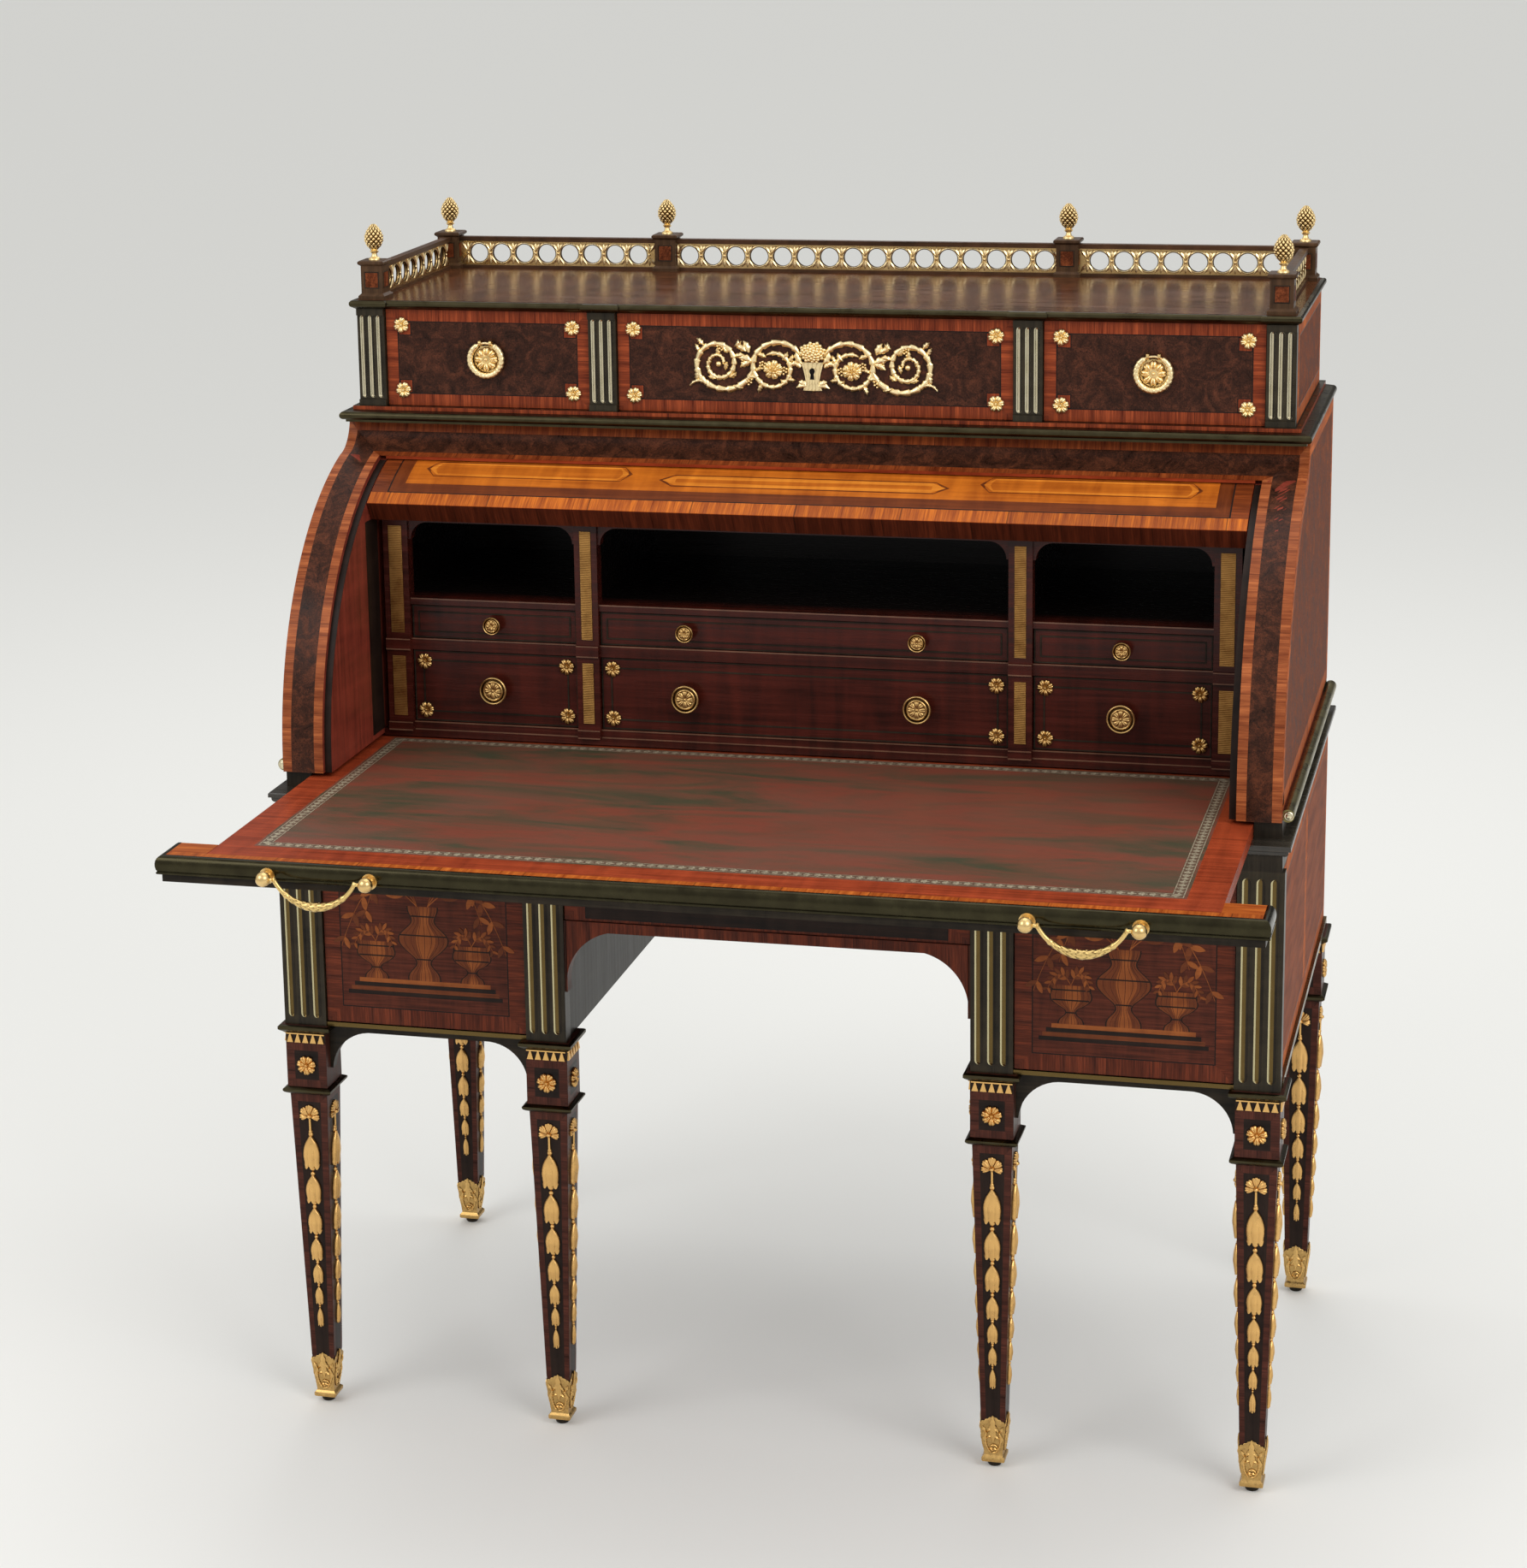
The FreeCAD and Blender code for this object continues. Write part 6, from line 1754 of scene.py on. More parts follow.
    def shell(self) -> Surface:
        """Marquetry of the cylinder: crossband, brown band, red ends and long panels under a trellis."""
        veneer, band, steps = Veneer(self.shell_lay), self.shell_band, (1, self.shell_steps)
        x, tall = self.shell_half - SEAT, math.radians(self.sweep) * self.shell_radius - 1
        low, high = self.shell_lap + band, tall - band
        for a, b in ((self.shell_lap, low), (high, tall)):
            veneer.rect((-x, a), (x, b), Finish.CYLINDER_BAND, steps=(1, 6))
        for a in (-x, x - band):
            veneer.rect((a, low), (a + band, high), Finish.CYLINDER_END, True, (1, 56))
        x -= band
        for wide, wood in ((self.shell_line, Finish.STRING), (self.brown_band, Finish.BROWN_BAND)):
            veneer.border((-x, low), (x, high), wide, wood, steps)
            x, low, high = x - wide, low + wide, high - wide
        veneer.rect((-x, low), (x, high), Finish.GOLD, steps=steps)
        for middle, sizes in ((0, self.long_panel), (-x / 2 - self.panel_shift, self.short_panel),
                              (x / 2 + self.panel_shift, self.short_panel)):
            self.panel(veneer, middle, *sizes)
        self.trellis(veneer, x - self.trellis_inset, self.trellis_low, tall - self.trellis_high)
        return veneer.whole()

    def panel(self, veneer: Veneer, middle: float, half: float, low: float, high: float) -> None:
        """A long panel pointed at both ends, pale with a brown edge.

        Args:
            veneer: Where it is laid.
            middle: Its middle.
            half: Half its length.
            low: Its lower edge.
            high: Its upper edge.
        """
        corners, fine, tip = np.array((-1, -0.9, 0.9, 1.0)), np.linspace(0, 3, 13), 0.05
        m = (low + high) / 2
        layers = ((0, Finish.BROWN_BAND, INLAY_RISE), (self.panel_line, Finish.PALE_GOLD, LINE_RISE))
        for inset, wood, rise in layers:
            a, b, across = low + inset, high - inset, middle + (half - inset * 2) * corners
            under, over = np.array((m, a, a, m + tip)) - tip, (m, b, b, m + tip)
            x, y0, y1 = (np.interp(fine, range(4), row) for row in (across, under, over))
            veneer.ribbon(np.stack([x, y0], 1), np.stack([x, y1], 1), wood, False, rise)

    def trellis(self, veneer: Veneer, x: float, low: float, high: float) -> None:
        """A lattice of slanting lines with a lozenge at each crossing.

        Args:
            veneer: Where it is laid.
            x: Half its width.
            low: Its lower edge.
            high: Its upper edge.
        """
        band, size, half_rows = self.trellis_band, self.lozenge, self.trellis_rows // 2
        veneer.border((-x, low), (x, high), band, Finish.BROWN_BAND, (1, 40), INLAY_RISE)
        a, b = low + band, high - band
        tall, inside = b - a, x - band
        pitch = inside * 2 / self.trellis_columns
        v = np.linspace(a, b, 30)
        for lean in (1, -1):
            for k in range(-6, self.trellis_columns + 1):
                slant = lean * (v - a) * pitch / tall * half_rows
                u = -inside + k * pitch + slant + (0 if lean > 0 else half_rows * pitch)
                held = (u > -inside) & (u < inside)
                if held.sum() > 2:
                    left, right = u[held] - self.lath_half, u[held] + self.lath_half
                    veneer.stave(left, right, v[held], Finish.BROWN_BAND, INLAY_RISE)
        for row in range(1, self.trellis_rows):
            y = a + tall * row / self.trellis_rows
            for k in range(self.trellis_columns + 1):
                u = -inside + (k + (row % 2) * 0.5) * pitch
                if abs(u) < inside - size - 1:
                    veneer.patch([(u - size, y), (u, y - size), (u + size, y), (u, y + size)],
                                 Finish.PALE_GOLD, rise=LINE_RISE)

    def edge_rail(self) -> Surface:
        """Underside of the cylinder's edge: a crossband facing down."""
        turn = math.radians(self.open_angle)

        def lay(u: Array, v: Array, h: float) -> Array:
            """The place at x = u and v in from the outer face, h below the edge."""
            reach = self.shell_radius - v
            return np.stack([u, self.axis_y - reach * math.cos(turn) - h * math.sin(turn),
                             self.axis_z + reach * math.sin(turn) - h * math.cos(turn)], -1)

        veneer = Veneer(lay)
        x, lap = self.shell_half - SEAT, self.shell_lap
        veneer.rect((-x, lap), (x, self.shell_radius - self.edge_radius - lap), Finish.EDGE_BAND)
        return veneer.whole()

    def build(self, shop: Workshop) -> None:
        """Lays the veneers of the fixed boards and of the cylinder."""
        shop.veneer("front_edge_veneer", self.edges())
        stiles = Veneer(side_lay(-self.lining_x, 1))
        stiles.rect((self.stile_front, self.stile_low), (self.stile_back, self.stile_top),
                    Finish.DARK_FIELD, True)
        stiles.parts.append(stiles.parts[0].mirrored())
        shop.piece("inner_stiles", stiles.whole(), "carcass")
        for sign, side in SIDES:
            shop.veneer("end_board_%s" % side, self.side(sign))
        shop.veneer("cylinder_veneer", self.shell(), "cylinder")
        shop.veneer("cylinder_edge", self.edge_rail(), "cylinder")

    def dress(self, shop: Workshop) -> None:
        """Finishes of the boards, cylinder, arms and pins."""
        shop.dress(Finish.LINING, "end_boards")
        shop.dress(Finish.RED_MAHOGANY, "cove_board", "cylinder_shell")
        shop.dress(Finish.IRON, "cylinder_arms", "pivot_pins")


class InnerDrawer(Enum):
    """The two rows of inner drawers: inset of the bead, radius and height of the knobs."""

    SMALL = (7.0, 10.5, 15.0)
    LARGE = (11.0, 16.5, 17.0)


@dataclass
class Interior:
    """Pigeonholes, drawers with turned knobs, and reeded plates."""

    bead_wide: float = 1.6
    edge_line: float = 1.4
    edge_gap: float = 0.2
    rosette_inset: float = 13.0
    rosette_radius: float = 9.6
    rosette_spins: tuple[float, ...] = (9, 21, 3, 15)
    knob_spread: float = 135.0
    columns: tuple[str, ...] = ("left", "centre", "right")
    bays: tuple[Pair, ...] = ((-466.0, -265.0), (-238.0, 238.0), (265.0, 466.0))
    piers: tuple[Pair, ...] = (
        (-496.0, -466.0), (-265.0, -238.0), (238.0, 265.0), (466.0, 496.0))
    bay_y: float = 66.15
    pier_y: float = 59.15
    bay_edges: tuple[float, ...] = (775.6, 784.7, 884.7, 932.7)
    pier_edges: tuple[float, ...] = (775.6, 784.7, 872.6, 884.7)
    highlight_end: float = 0.3

    def painted_edge_highlights(self) -> Surface:
        """Painted highlights along the upper edges of the rails and of the bands round the piers, as thin
        strips.
        """
        made = []
        for spans, y, levels in ((self.bays, self.bay_y, self.bay_edges),
                                 (self.piers, self.pier_y, self.pier_edges)):
            veneer = Veneer(Facing.FRONT.flat((0, y, 0)), 0.4)
            for low, high in spans:
                for z in levels:
                    ends = low + self.highlight_end, high - self.highlight_end
                    veneer.rect((ends[0], z), (ends[1], z + self.edge_line), Finish.INNER_EDGE)
            made += veneer.parts
        return joined(made)

    def knob(self, radius: float, height: float) -> Surface:
        """A turned knob: a rim with painted highlight and a sunk ring with painted shade round a flower, on a
        waisted stem.

        Args:
            radius: Of its rim.
            height: Of the whole knob.
        Returns:
            The closed knob and its flower.
        """
        shares = ((0.55, -0.02), (0.55, 0.02), (0.5, 0.12), (0.38, 0.2), (0.38, 0.5), (0.7, 0.62),
                  (0.93, 0.7), (1.0, 0.76), (1.0, 0.82), (0.98, 0.87), (0.93, 0.9), (0.87, 0.88), (0.84, 0.8),
                  (0.8, 0.76), (0.74, 0.78), (0.72, 0.84), (0.66, 0.87), (0.6, 0.84), (0.3, 0.84))
        sides = 40
        body = lathe([(radius * r, height * h) for r, h in shares], sides)
        # Relief by ring of the profile: painted highlight on the rim, painted shade in the sunk ring.
        sunk = np.array([0.7] * 9 + [0.95, 0.95, 0.7, 0.15, 0.0, 0.1, 0.6, 0.8, 0.4, 0.3])
        body.relief = np.append(np.repeat(sunk, sides), (0.5, 0.3))
        return joined([body, rosette(radius * 0.6, height * 0.1, 8).set_down(0, 0, height * 0.84)])

    def drawer(self, shop: Workshop, row: InnerDrawer, column: str) -> None:
        """Makes the beads, flowers and knobs of one drawer.

        Args:
            shop: Where the pieces are made.
            row: Its row.
            column: Its column.
        """
        inset, *knob = row.value
        name = "%s_%s" % (row.name.lower(), column)
        node, gap = name + "_drawer", self.edge_gap
        lay, wide, tall, low = front_of(node)
        veneer = Veneer(lay, 0.9)
        veneer.border((inset, inset), (wide - inset, tall - inset), self.bead_wide, Finish.EBONY_LONG)
        veneer.border((gap, gap), (wide - gap, tall - gap), self.edge_line, Finish.EBONY_LONG)
        shop.piece(name + "_beads", veneer.whole(), node)
        if row is InnerDrawer.LARGE:
            r = self.rosette_inset
            spots = [low + (x, -gap, z) for x in (r, wide - r) for z in (r, tall - r)]
            flowers = rosette(self.rosette_radius, 3.6, 7).placed(Facing.FRONT.at(spots, self.rosette_spins))
            shop.mount(name + "_flowers", flowers, Finish.WORN_GILT, node)
        across = (-self.knob_spread, self.knob_spread) if column == "centre" else (low[0] + wide / 2,)
        knobs = self.knob(*knob).placed(Facing.FRONT.at([(x, low[1], low[2] + tall / 2) for x in across]))
        shop.piece(name + "_turned_knob", knobs.painted(Finish.WORN_GILT), node, 50,
                   [name + "_knob"])

    def build(self, shop: Workshop) -> None:
        """Makes the ornament of the six drawers, and the painted highlights on the edges of the fixed rails.
        """
        shop.piece("inner_edges", self.painted_edge_highlights(), "carcass")
        for row in InnerDrawer:
            for column in self.columns:
                self.drawer(shop, row, column)

    def dress(self, shop: Workshop) -> None:
        """Finishes of the interior."""
        shop.dress(Finish.HOLLOW_MAHOGANY, "pigeonhole_case")
        shop.dress(Finish.INNER_MAHOGANY, "pigeonhole_arches")
        shop.dress(Finish.REEDED_BRASS, "interior_plates")
        for row in InnerDrawer:
            nodes = ("%s_%s_drawer" % (row.name.lower(), column) for column in self.columns)
            shop.dress(Finish.INNER_MAHOGANY, *nodes)


@dataclass
class WritingSlide:
    """The drawn-out writing surface, its moulded rail and two bails."""

    border: float = 13.0
    border_gap: float = 3.0
    rail_band: float = 15.0
    rail_edge: float = 2.8
    wing_gap: float = 0.2
    bail_x: float = 398.0
    bail_reach: float = 44.0
    bail_half: float = 56.0
    bail_drop: float = 26.8
    bail_points: int = 72
    pin_start: float = 2.0
    pin_end: float = 6.5
    pin_radii: tuple[float, ...] = (2.4, 3.4, 2.2, 1.9, 1.9, 1.9)
    ball_y: float = -465.15
    ball_z: float = 752.3
    collar_y: float = -453.2
    collar_profile: tuple[Pair, ...] = (
        (4.6, -2), (5.0, -1), (4.2, 0.5), (3.8, 2.0), (4.4, 3.0), (3.8, 4.4), (2.6, 4.6))
    nose_profile: tuple[Pair, ...] = (
        (-3.0, 765.0), (-3.0, 765.7), (-1.5, 765.9), (0.5, 765.7), (2.4, 764.9), (4.2, 763.2), (5.4, 760.8),
        (6.0, 757.6), (5.9, 754.0), (5.2, 750.8), (4.4, 749.5), (4.3, 748.9), (5.1, 748.4), (5.4, 747.4),
        (5.0, 746.2), (3.8, 745.6), (-1.0, 745.4), (-1.0, 765.0))
    lip_profile: tuple[Pair, ...] = ((-1.0, 745.6), (0.4, 745.6), (0.4, 737.2), (-1.0, 737.2))

    def along_rail(self, profile: Sequence[Pair]) -> Surface:
        """A moulding round the rail: a profile carried along both ends and the front.

        Args:
            profile: Pairs of how far out and how high.
        Returns:
            The closed moulding.
        """
        (left, front, _), (right, back, _) = limits("slide_rail")
        out, height = np.array(profile).T
        corners = ((left, back, -1, 0), (left, front, -1, -1), (right, front, 1, -1), (right, back, 1, 0))
        rings = [np.stack([x + dx * out, y + dy * out, height], 1) for x, y, dx, dy in corners]
        return ring_solid(np.array(rings), np.full((len(corners), len(out)), 0.7))

    def bail(self, x: float) -> Surface:
        """A bow between its pins: slim at the ends, swelling to a leaf-wrapped middle, radius r (1 + leaves).

        Args:
            x: Its middle.
        Returns:
            The closed bow and its two pins.
        """
        reach, count = self.bail_reach, self.bail_points
        bow = arc_through((-reach, 0), (0, -self.bail_drop), (reach, 0), count)
        t = np.linspace(-1, 1, count)
        radius = 2.3 + 2.3 * np.exp(-(t / 0.42) ** 2) + 0.9 * np.exp(-((np.abs(t) - 0.62) / 0.03) ** 2)
        round_, far = turns(20)[None], np.abs(t)[:, None]
        wrap = np.abs(np.sin(6 * math.pi * far + 2.2 * np.abs(np.sin(round_ * 2))))
        swell = 1 + 0.26 * (wrap ** 0.7 - 0.6) * (far < 0.6)
        path = np.stack([x + bow[:, 0], np.full(count, self.ball_y), self.ball_z + bow[:, 1]], 1)
        parts = [tube(path, radius, (0, 1, 0), 20, swell)]
        line = np.linspace(reach - self.pin_start, self.bail_half - self.pin_end, len(self.pin_radii))
        deep, high = np.full_like(line, self.ball_y), np.full_like(line, self.ball_z)
        for sign, _ in SIDES:
            pin = np.stack([x + sign * line, deep, high], 1)
            parts.append(tube(pin, np.array(self.pin_radii), (0, 1, 0), 12))
        return joined(parts)

    def collars(self) -> Surface:
        """Small ringed collars where each ball meets the rail."""
        across = [sign * self.bail_x + end * self.bail_half for sign, _ in SIDES for end, _ in SIDES]
        spots = [(x, self.collar_y, self.ball_z) for x in across]
        return lathe(self.collar_profile, 24).placed(Facing.FRONT.at(spots))

    def rail_bands(self) -> Surface:
        """Crossbands on top of the rail: one along the front and one up each wing."""
        low, high = limits("slide_rail")
        band, edge = Veneer(Facing.TOP.flat((0, 0, high[2]))), self.rail_edge
        wings, back = limits("slide_panel")[1][0], low[1] + self.rail_band
        band.rect((low[0] + edge, low[1] + edge), (high[0] - edge, back), Finish.SLIDE_BAND)
        for sign, _ in SIDES:
            a, b = sorted((sign * wings, sign * (high[0] - edge)))
            band.rect((a, back), (b, high[1] - self.wing_gap), Finish.SLIDE_BAND, True)
        return band.whole()

    def build(self, shop: Workshop) -> None:
        """Makes the tooled border, the rail's bands and mouldings, and the bails."""
        shop.piece("tooled_border", self.tooled_border(), "writing_slide")
        shop.veneer("rail_bands", self.rail_bands(), "writing_slide")
        nose = joined([self.along_rail(self.nose_profile).painted(Finish.NOSE_BRASS),
                       self.along_rail(self.lip_profile).painted(Finish.EBONY_LONG)])
        shop.piece("moulded_nose", nose, "writing_slide", 30, ["slide_nose"])
        shop.piece("ball_collars", self.collars().painted(Finish.PLAIN_GILT), "writing_slide")
        for sign, side in SIDES:
            bow = self.bail(sign * self.bail_x)
            shop.mount(side + "_bow", bow, Finish.BAIL_GILT, side + "_bail", ["bail_" + side])

    def tooled_border(self) -> Surface:
        """Four strips whose across-coordinate starts at their outer edge, to centre the tooling on each."""
        low, high = limits("leather_top")
        veneer = Veneer(Facing.TOP.flat((low[0], low[1], high[2])), LINE_RISE)
        w, gap = self.border, self.border_gap
        a, b, c, d = gap, high[0] - low[0] - gap, gap, high[1] - low[1] - gap
        strips = (([(a, c), (b, c), (b - w, c + w), (a + w, c + w)], (0, 1)),
                  ([(a, d), (b, d), (b - w, d - w), (a + w, d - w)], (0, -1)),
                  ([(a, c), (a, d), (a + w, d - w), (a + w, c + w)], (1, 0)),
                  ([(b, c), (b, d), (b - w, d - w), (b - w, c + w)], (-1, 0)))
        for corners, inward in strips:
            spot = np.array(corners, float)[[[0, 1], [3, 2]]]
            across = (spot - corners[0]) @ np.array(inward, float)
            u, v = spot[..., 0], spot[..., 1]
            grain = np.stack([v if inward[0] else u, across], -1)
            made = slab(veneer.lay(u, v, veneer.thick), veneer.lay(u, v, -veneer.sunk), grain)
            veneer.parts.append(made.painted(Finish.TOOLED))
        return veneer.whole()

    def dress(self, shop: Workshop) -> None:
        """Finishes of the slide."""
        shop.dress(Finish.RED_MAHOGANY, "slide_panel", "slide_rail")
        shop.dress(Finish.HIDE, "leather_top")
        shop.dress(Finish.PLAIN_GILT, "bail_posts")


@dataclass(frozen=True)
class FluteRow:
    """Brass flutes of one height: their middles on one side, half width, face, foot and head."""

    middles: tuple[float, ...]
    half: float
    y: float
    low: float
    high: float


@dataclass
class LowerCase:
    """Two deep drawers and a frieze drawer between fluted pilasters, over the kneehole arch."""

    band: float = 19.0
    string: float = 1.2
    side_x: float = 563.0
    side_front: float = -118.0
    side_low: float = 482.4
    side_high: float = 719.6
    side_band: float = 17.0
    back_y: float = 472.0
    apron_y: float = -134.85
    crown: float = 606.0
    apron_top: float = 617.8
    kneehole_half: float = 230.0
    arch_radius: float = 48.0
    arch_drop: float = 72.0
    arch_step: float = 3.0
    strip_low: float = 4.0
    strip_high: float = 26.0
    strip_end: float = 6.0
    strip_line: float = 1.0
    string_rise: float = 0.1
    strip_rise: float = 0.14
    floor_rise: float = 0.08
    urn_rises: Triple = (0.1, 0.14, 0.16)
    vase_foot: float = 16.0
    vase_size: Pair = (88.0, 30.0)
    bowl_size: Pair = (44.0, 22.0)
    bowl_x: float = 57.0
    floor_step: float = 5.0
    floor_halves: tuple[float, ...] = (92.0, 88.0, 84.0, 78.0)
    layers: int = 40
    layer_low: float = 0.1
    layer_step: float = 0.015
    screw_x: float = 566.0
    screw_y: float = -107.85
    screw_z: float = 774.0
    screw_profile: tuple[Pair, ...] = (
        (5.2, -0.4), (5.2, 0.3), (4.4, 0.9), (3.4, 0.6), (2.6, 1.0), (1.0, 1.2))
    flutes: tuple[FluteRow, ...] = (
        FluteRow((517.6, 527.5, 537.4, 237.1, 247.0, 256.9), 3.1, 137.15, 1157.1, 1253.9),
        FluteRow((526.0, 541.0, 556.0, 239.4, 253.5, 267.6), 4.7, -136.85, 483.1, 711.9))

    def flute_edges(self) -> Surface:
        """Painted highlights on the left lips and painted shade on the right flanks of the brass flutes:
        upright strips with round ends.
        """
        made = []
        for row in self.flutes:
            veneer = Veneer(Facing.FRONT.flat((0, row.y, 0)), 0.35, 0.6)
            depth = row.half * np.array((0.06, 0.3, 0.65, 1.0))
            chord = np.sqrt(row.half ** 2 - (row.half - depth) ** 2)
            chord = np.concatenate([chord, chord[::-1]])
            z = np.concatenate([row.low + depth, row.high - depth[::-1]])
            for x in (sign * middle for middle in row.middles for sign, _ in SIDES):
                # Painted highlight on the left lip, and painted shade in ebony on the right flank.
                veneer.stave(x - chord, x - 0.6 * chord, z, Finish.EDGE_BRASS)
                veneer.stave(x + 0.3 * chord, x + chord, z, Finish.EBONY)
            made += veneer.parts
        return joined(made)

    def deep_front(self, node: str) -> Surface:
        """Crossband, string and figured field with a vase of leaf sprays on a stepped floor.

        Args:
            node: The drawer.
        Returns:
            The veneers of its front.
        """
        lay, wide, tall, _ = front_of(node)
        veneer = Veneer(lay)
        inner = veneer.panel((0, 0), (wide, tall), self.band, (Finish.LOWER_BAND, Finish.DRAWER_FIELD))
        veneer.border(*inner, self.string, Finish.STRING, rise=self.string_rise)
        self.vase(veneer, wide / 2, self.band + self.vase_foot)
        return veneer.whole()

    def urn(self, veneer: Veneer, foot: Pair, size: Pair, shape: Sequence[float]) -> None:
        """Inlay of one vessel: its profile mirrored, in three shades, with a dark outline, ribs and bands.

        Args:
            veneer: Where it is laid.
            foot: Middle of its foot.
            size: Its height and half its greatest width.
            shape: Half width, as a share, at even steps from foot to lip.
        """
        (x, low), (tall, wide) = foot, size
        body_rise, rib_rise, band_rise = self.urn_rises
        t = np.linspace(0, 1, 40)
        half = wide * np.interp(t, np.linspace(0, 1, len(shape)), shape)
        half = np.convolve(np.pad(half, 2, mode="edge"), np.ones(5) / 5, "valid")
        up = low + tall * t
        veneer.stave(x - half - 1.5, x + half + 1.5, up, Finish.DARK_FIELD, INLAY_RISE)
        for a, b, wood in ((-1, -0.3, Finish.BOXWOOD_SHADE), (-0.3, 0.5, Finish.BOXWOOD),
                           (0.5, 1, Finish.BOXWOOD_SHADE)):
            veneer.stave(x + a * half, x + b * half, up, wood, body_rise)
        for a in (-0.78, -0.5, -0.22, 0.06, 0.34, 0.64, 0.86):
            veneer.stave(x + a * half - 0.3, x + a * half + 0.3, up, Finish.DRAWER_FIELD, rib_rise)
        for share in (0.28, 0.6, 0.86):
            reach, y = float(np.interp(share, t, half)), low + tall * share
            veneer.rect((x - reach, y), (x + reach, y + 1.6), Finish.DARK_FIELD, rise=band_rise)

    def spray(self, veneer: Veneer, foot: Pair, run: Triple, size: float) -> None:
        """An arching stem with leaves in pairs.

        Args:
            veneer: Where it is laid.
            foot: Where it starts.
            run: How far it goes sideways, arches up and ends lower.
            size: Length of its first leaves.
        """
        across, rise, drop = run
        s = np.linspace(0, 1, 24)
        stem = np.stack([foot[0] + across * s, foot[1] + 2.4 * rise * s * (1 - s) - drop * s ** 2], 1)
        veneer.ribbon(stem - (0, 0.8), stem + (0, 0.8), Finish.BOXWOOD, False, self.layer(veneer))
        way = np.gradient(stem, axis=0)
        heading = np.arctan2(way[:, 1], way[:, 0])
        for n, pick in enumerate(range(4, 24, 3)):
            for lean in (0.75, -0.75):
                wood = Finish.BOXWOOD if (n + (lean > 0)) % 2 else Finish.BOXWOOD_SHADE
                self.inlay_leaf(veneer, stem[pick], heading[pick] + lean, size * (1 - 0.055 * n), wood)

    def vase(self, veneer: Veneer, x: float, low: float) -> None:
        """Inlay of a tall vase of leaf sprays between two bowls, on a stepped floor of pale and dark strips.

        Args:
            veneer: Where it is laid.
            x: Its middle.
            low: The foot of the floor.
        """
        woods = (Finish.DARK_FIELD, Finish.BOXWOOD_SHADE, Finish.DARK_FIELD, Finish.BOXWOOD)
        top = low
        for half, wood in zip(self.floor_halves, woods):
            veneer.rect((x - half, top), (x + half, top + self.floor_step), wood, rise=self.floor_rise)
            top += self.floor_step
        vase = (0.6, 0.62, 0.3, 0.2, 0.55, 0.85, 1.0, 0.9, 0.55, 0.36, 0.56, 0.58)
        bowl = (0.6, 0.55, 0.2, 0.22, 0.7, 0.98, 1.0, 0.9, 0.96)
        self.urn(veneer, (x, top), self.vase_size, vase)
        for sign, _ in SIDES:
            beside = x + sign * self.bowl_x
            self.urn(veneer, (beside, top), self.bowl_size, bowl)
            for run in ((sign * 92, 66, 52), (sign * 64, 80, 18), (sign * 84, 36, -30)):
                self.spray(veneer, (x + sign * 6, top + self.vase_size[0]), run, 22)
            for run in ((sign * 26, 22, 6), (-sign * 20, 24, 2)):
                self.spray(veneer, (beside, top + self.bowl_size[0]), run, 11)

    def inlay_leaf(self, veneer: Veneer, foot: Array, angle: float, length: float, wood: Finish) -> None:
        """One flat leaf: its half width is a sine along its length.

        Args:
            veneer: Where it is laid.
            foot: Where it grows from.
            angle: The way it points, in radians.
            length: Its length.
            wood: Its wood.
        """
        t = np.linspace(0, 1, 9)[:, None]
        way = np.array((math.cos(angle), math.sin(angle)))
        across = np.array((-way[1], way[0]))
        line = foot + t * length * way
        half = length * 0.2 * np.sin(math.pi * (0.04 + 0.94 * t)) ** 0.8
        veneer.ribbon(line - half * across, line + half * across, wood, False, self.layer(veneer))

    def layer(self, veneer: Veneer) -> float:
        """Height for the next leaf or stem, so that two which cross never share a surface."""
        return self.layer_low + self.layer_step * (len(veneer.parts) % self.layers)

    def frieze(self, node: str) -> Surface:
        """Front of the kneehole drawer: a crossband round a dark inset strip.

        Args:
            node: The drawer.
        Returns:
            The veneers of its front.
        """
        lay, wide, tall, _ = front_of(node)
        veneer, end, line = Veneer(lay), self.band + self.strip_end, self.strip_line
        low, high = self.strip_low, self.strip_high
        veneer.panel((0, 0), (wide, tall), self.band, (Finish.LOWER_BAND, Finish.LOWER_BAND))
        veneer.rect((end, low), (wide - end, high), Finish.DARK_FIELD, rise=self.string_rise)
        corners = (end - line, low - line), (wide - end + line, high + line)
        veneer.border(*corners, line, Finish.STRING, rise=self.strip_rise)
        return veneer.whole()

    def apron(self) -> Surface:
        """Crossband of the arch, ruled upright from its underside to the drawer."""
        foot, crown = self.crown - self.arch_drop, self.crown
        edge = -self.kneehole_half + self.arch_step
        share = 1 - math.cos(math.radians(45))
        haunch = arc_through((edge, foot), (edge + self.arch_radius * share, crown - self.arch_drop * share),
                             (edge + self.arch_radius, crown), 24)
        under = np.concatenate([haunch, haunch[::-1] * (-1, 1)])
        veneer = Veneer(Facing.FRONT.flat((0, self.apron_y, 0)))
        over = np.stack([under[:, 0], np.full(len(under), self.apron_top)], 1)
        veneer.ribbon(under, over, Finish.LOWER_BAND)
        return veneer.whole()

    def side(self, sign: int) -> Surface:
        """Outer side: two crossbanded panels of upright figure, side by side.

        Args:
            sign: -1 for the left side, 1 for the right one.
        Returns:
            The veneers.
        """
        veneer = Veneer(side_lay(self.side_x, sign))
        middle = (self.side_front + self.back_y) / 2
        for a, b in ((self.side_front, middle), (middle, self.back_y)):
            inner = veneer.panel((a, self.side_low), (b, self.side_high), self.side_band,
                                 (Finish.SIDE_BAND, Finish.SIDE_FIELD), True)
            veneer.border(*inner, self.string, Finish.STRING, rise=self.string_rise)
        return veneer.whole()

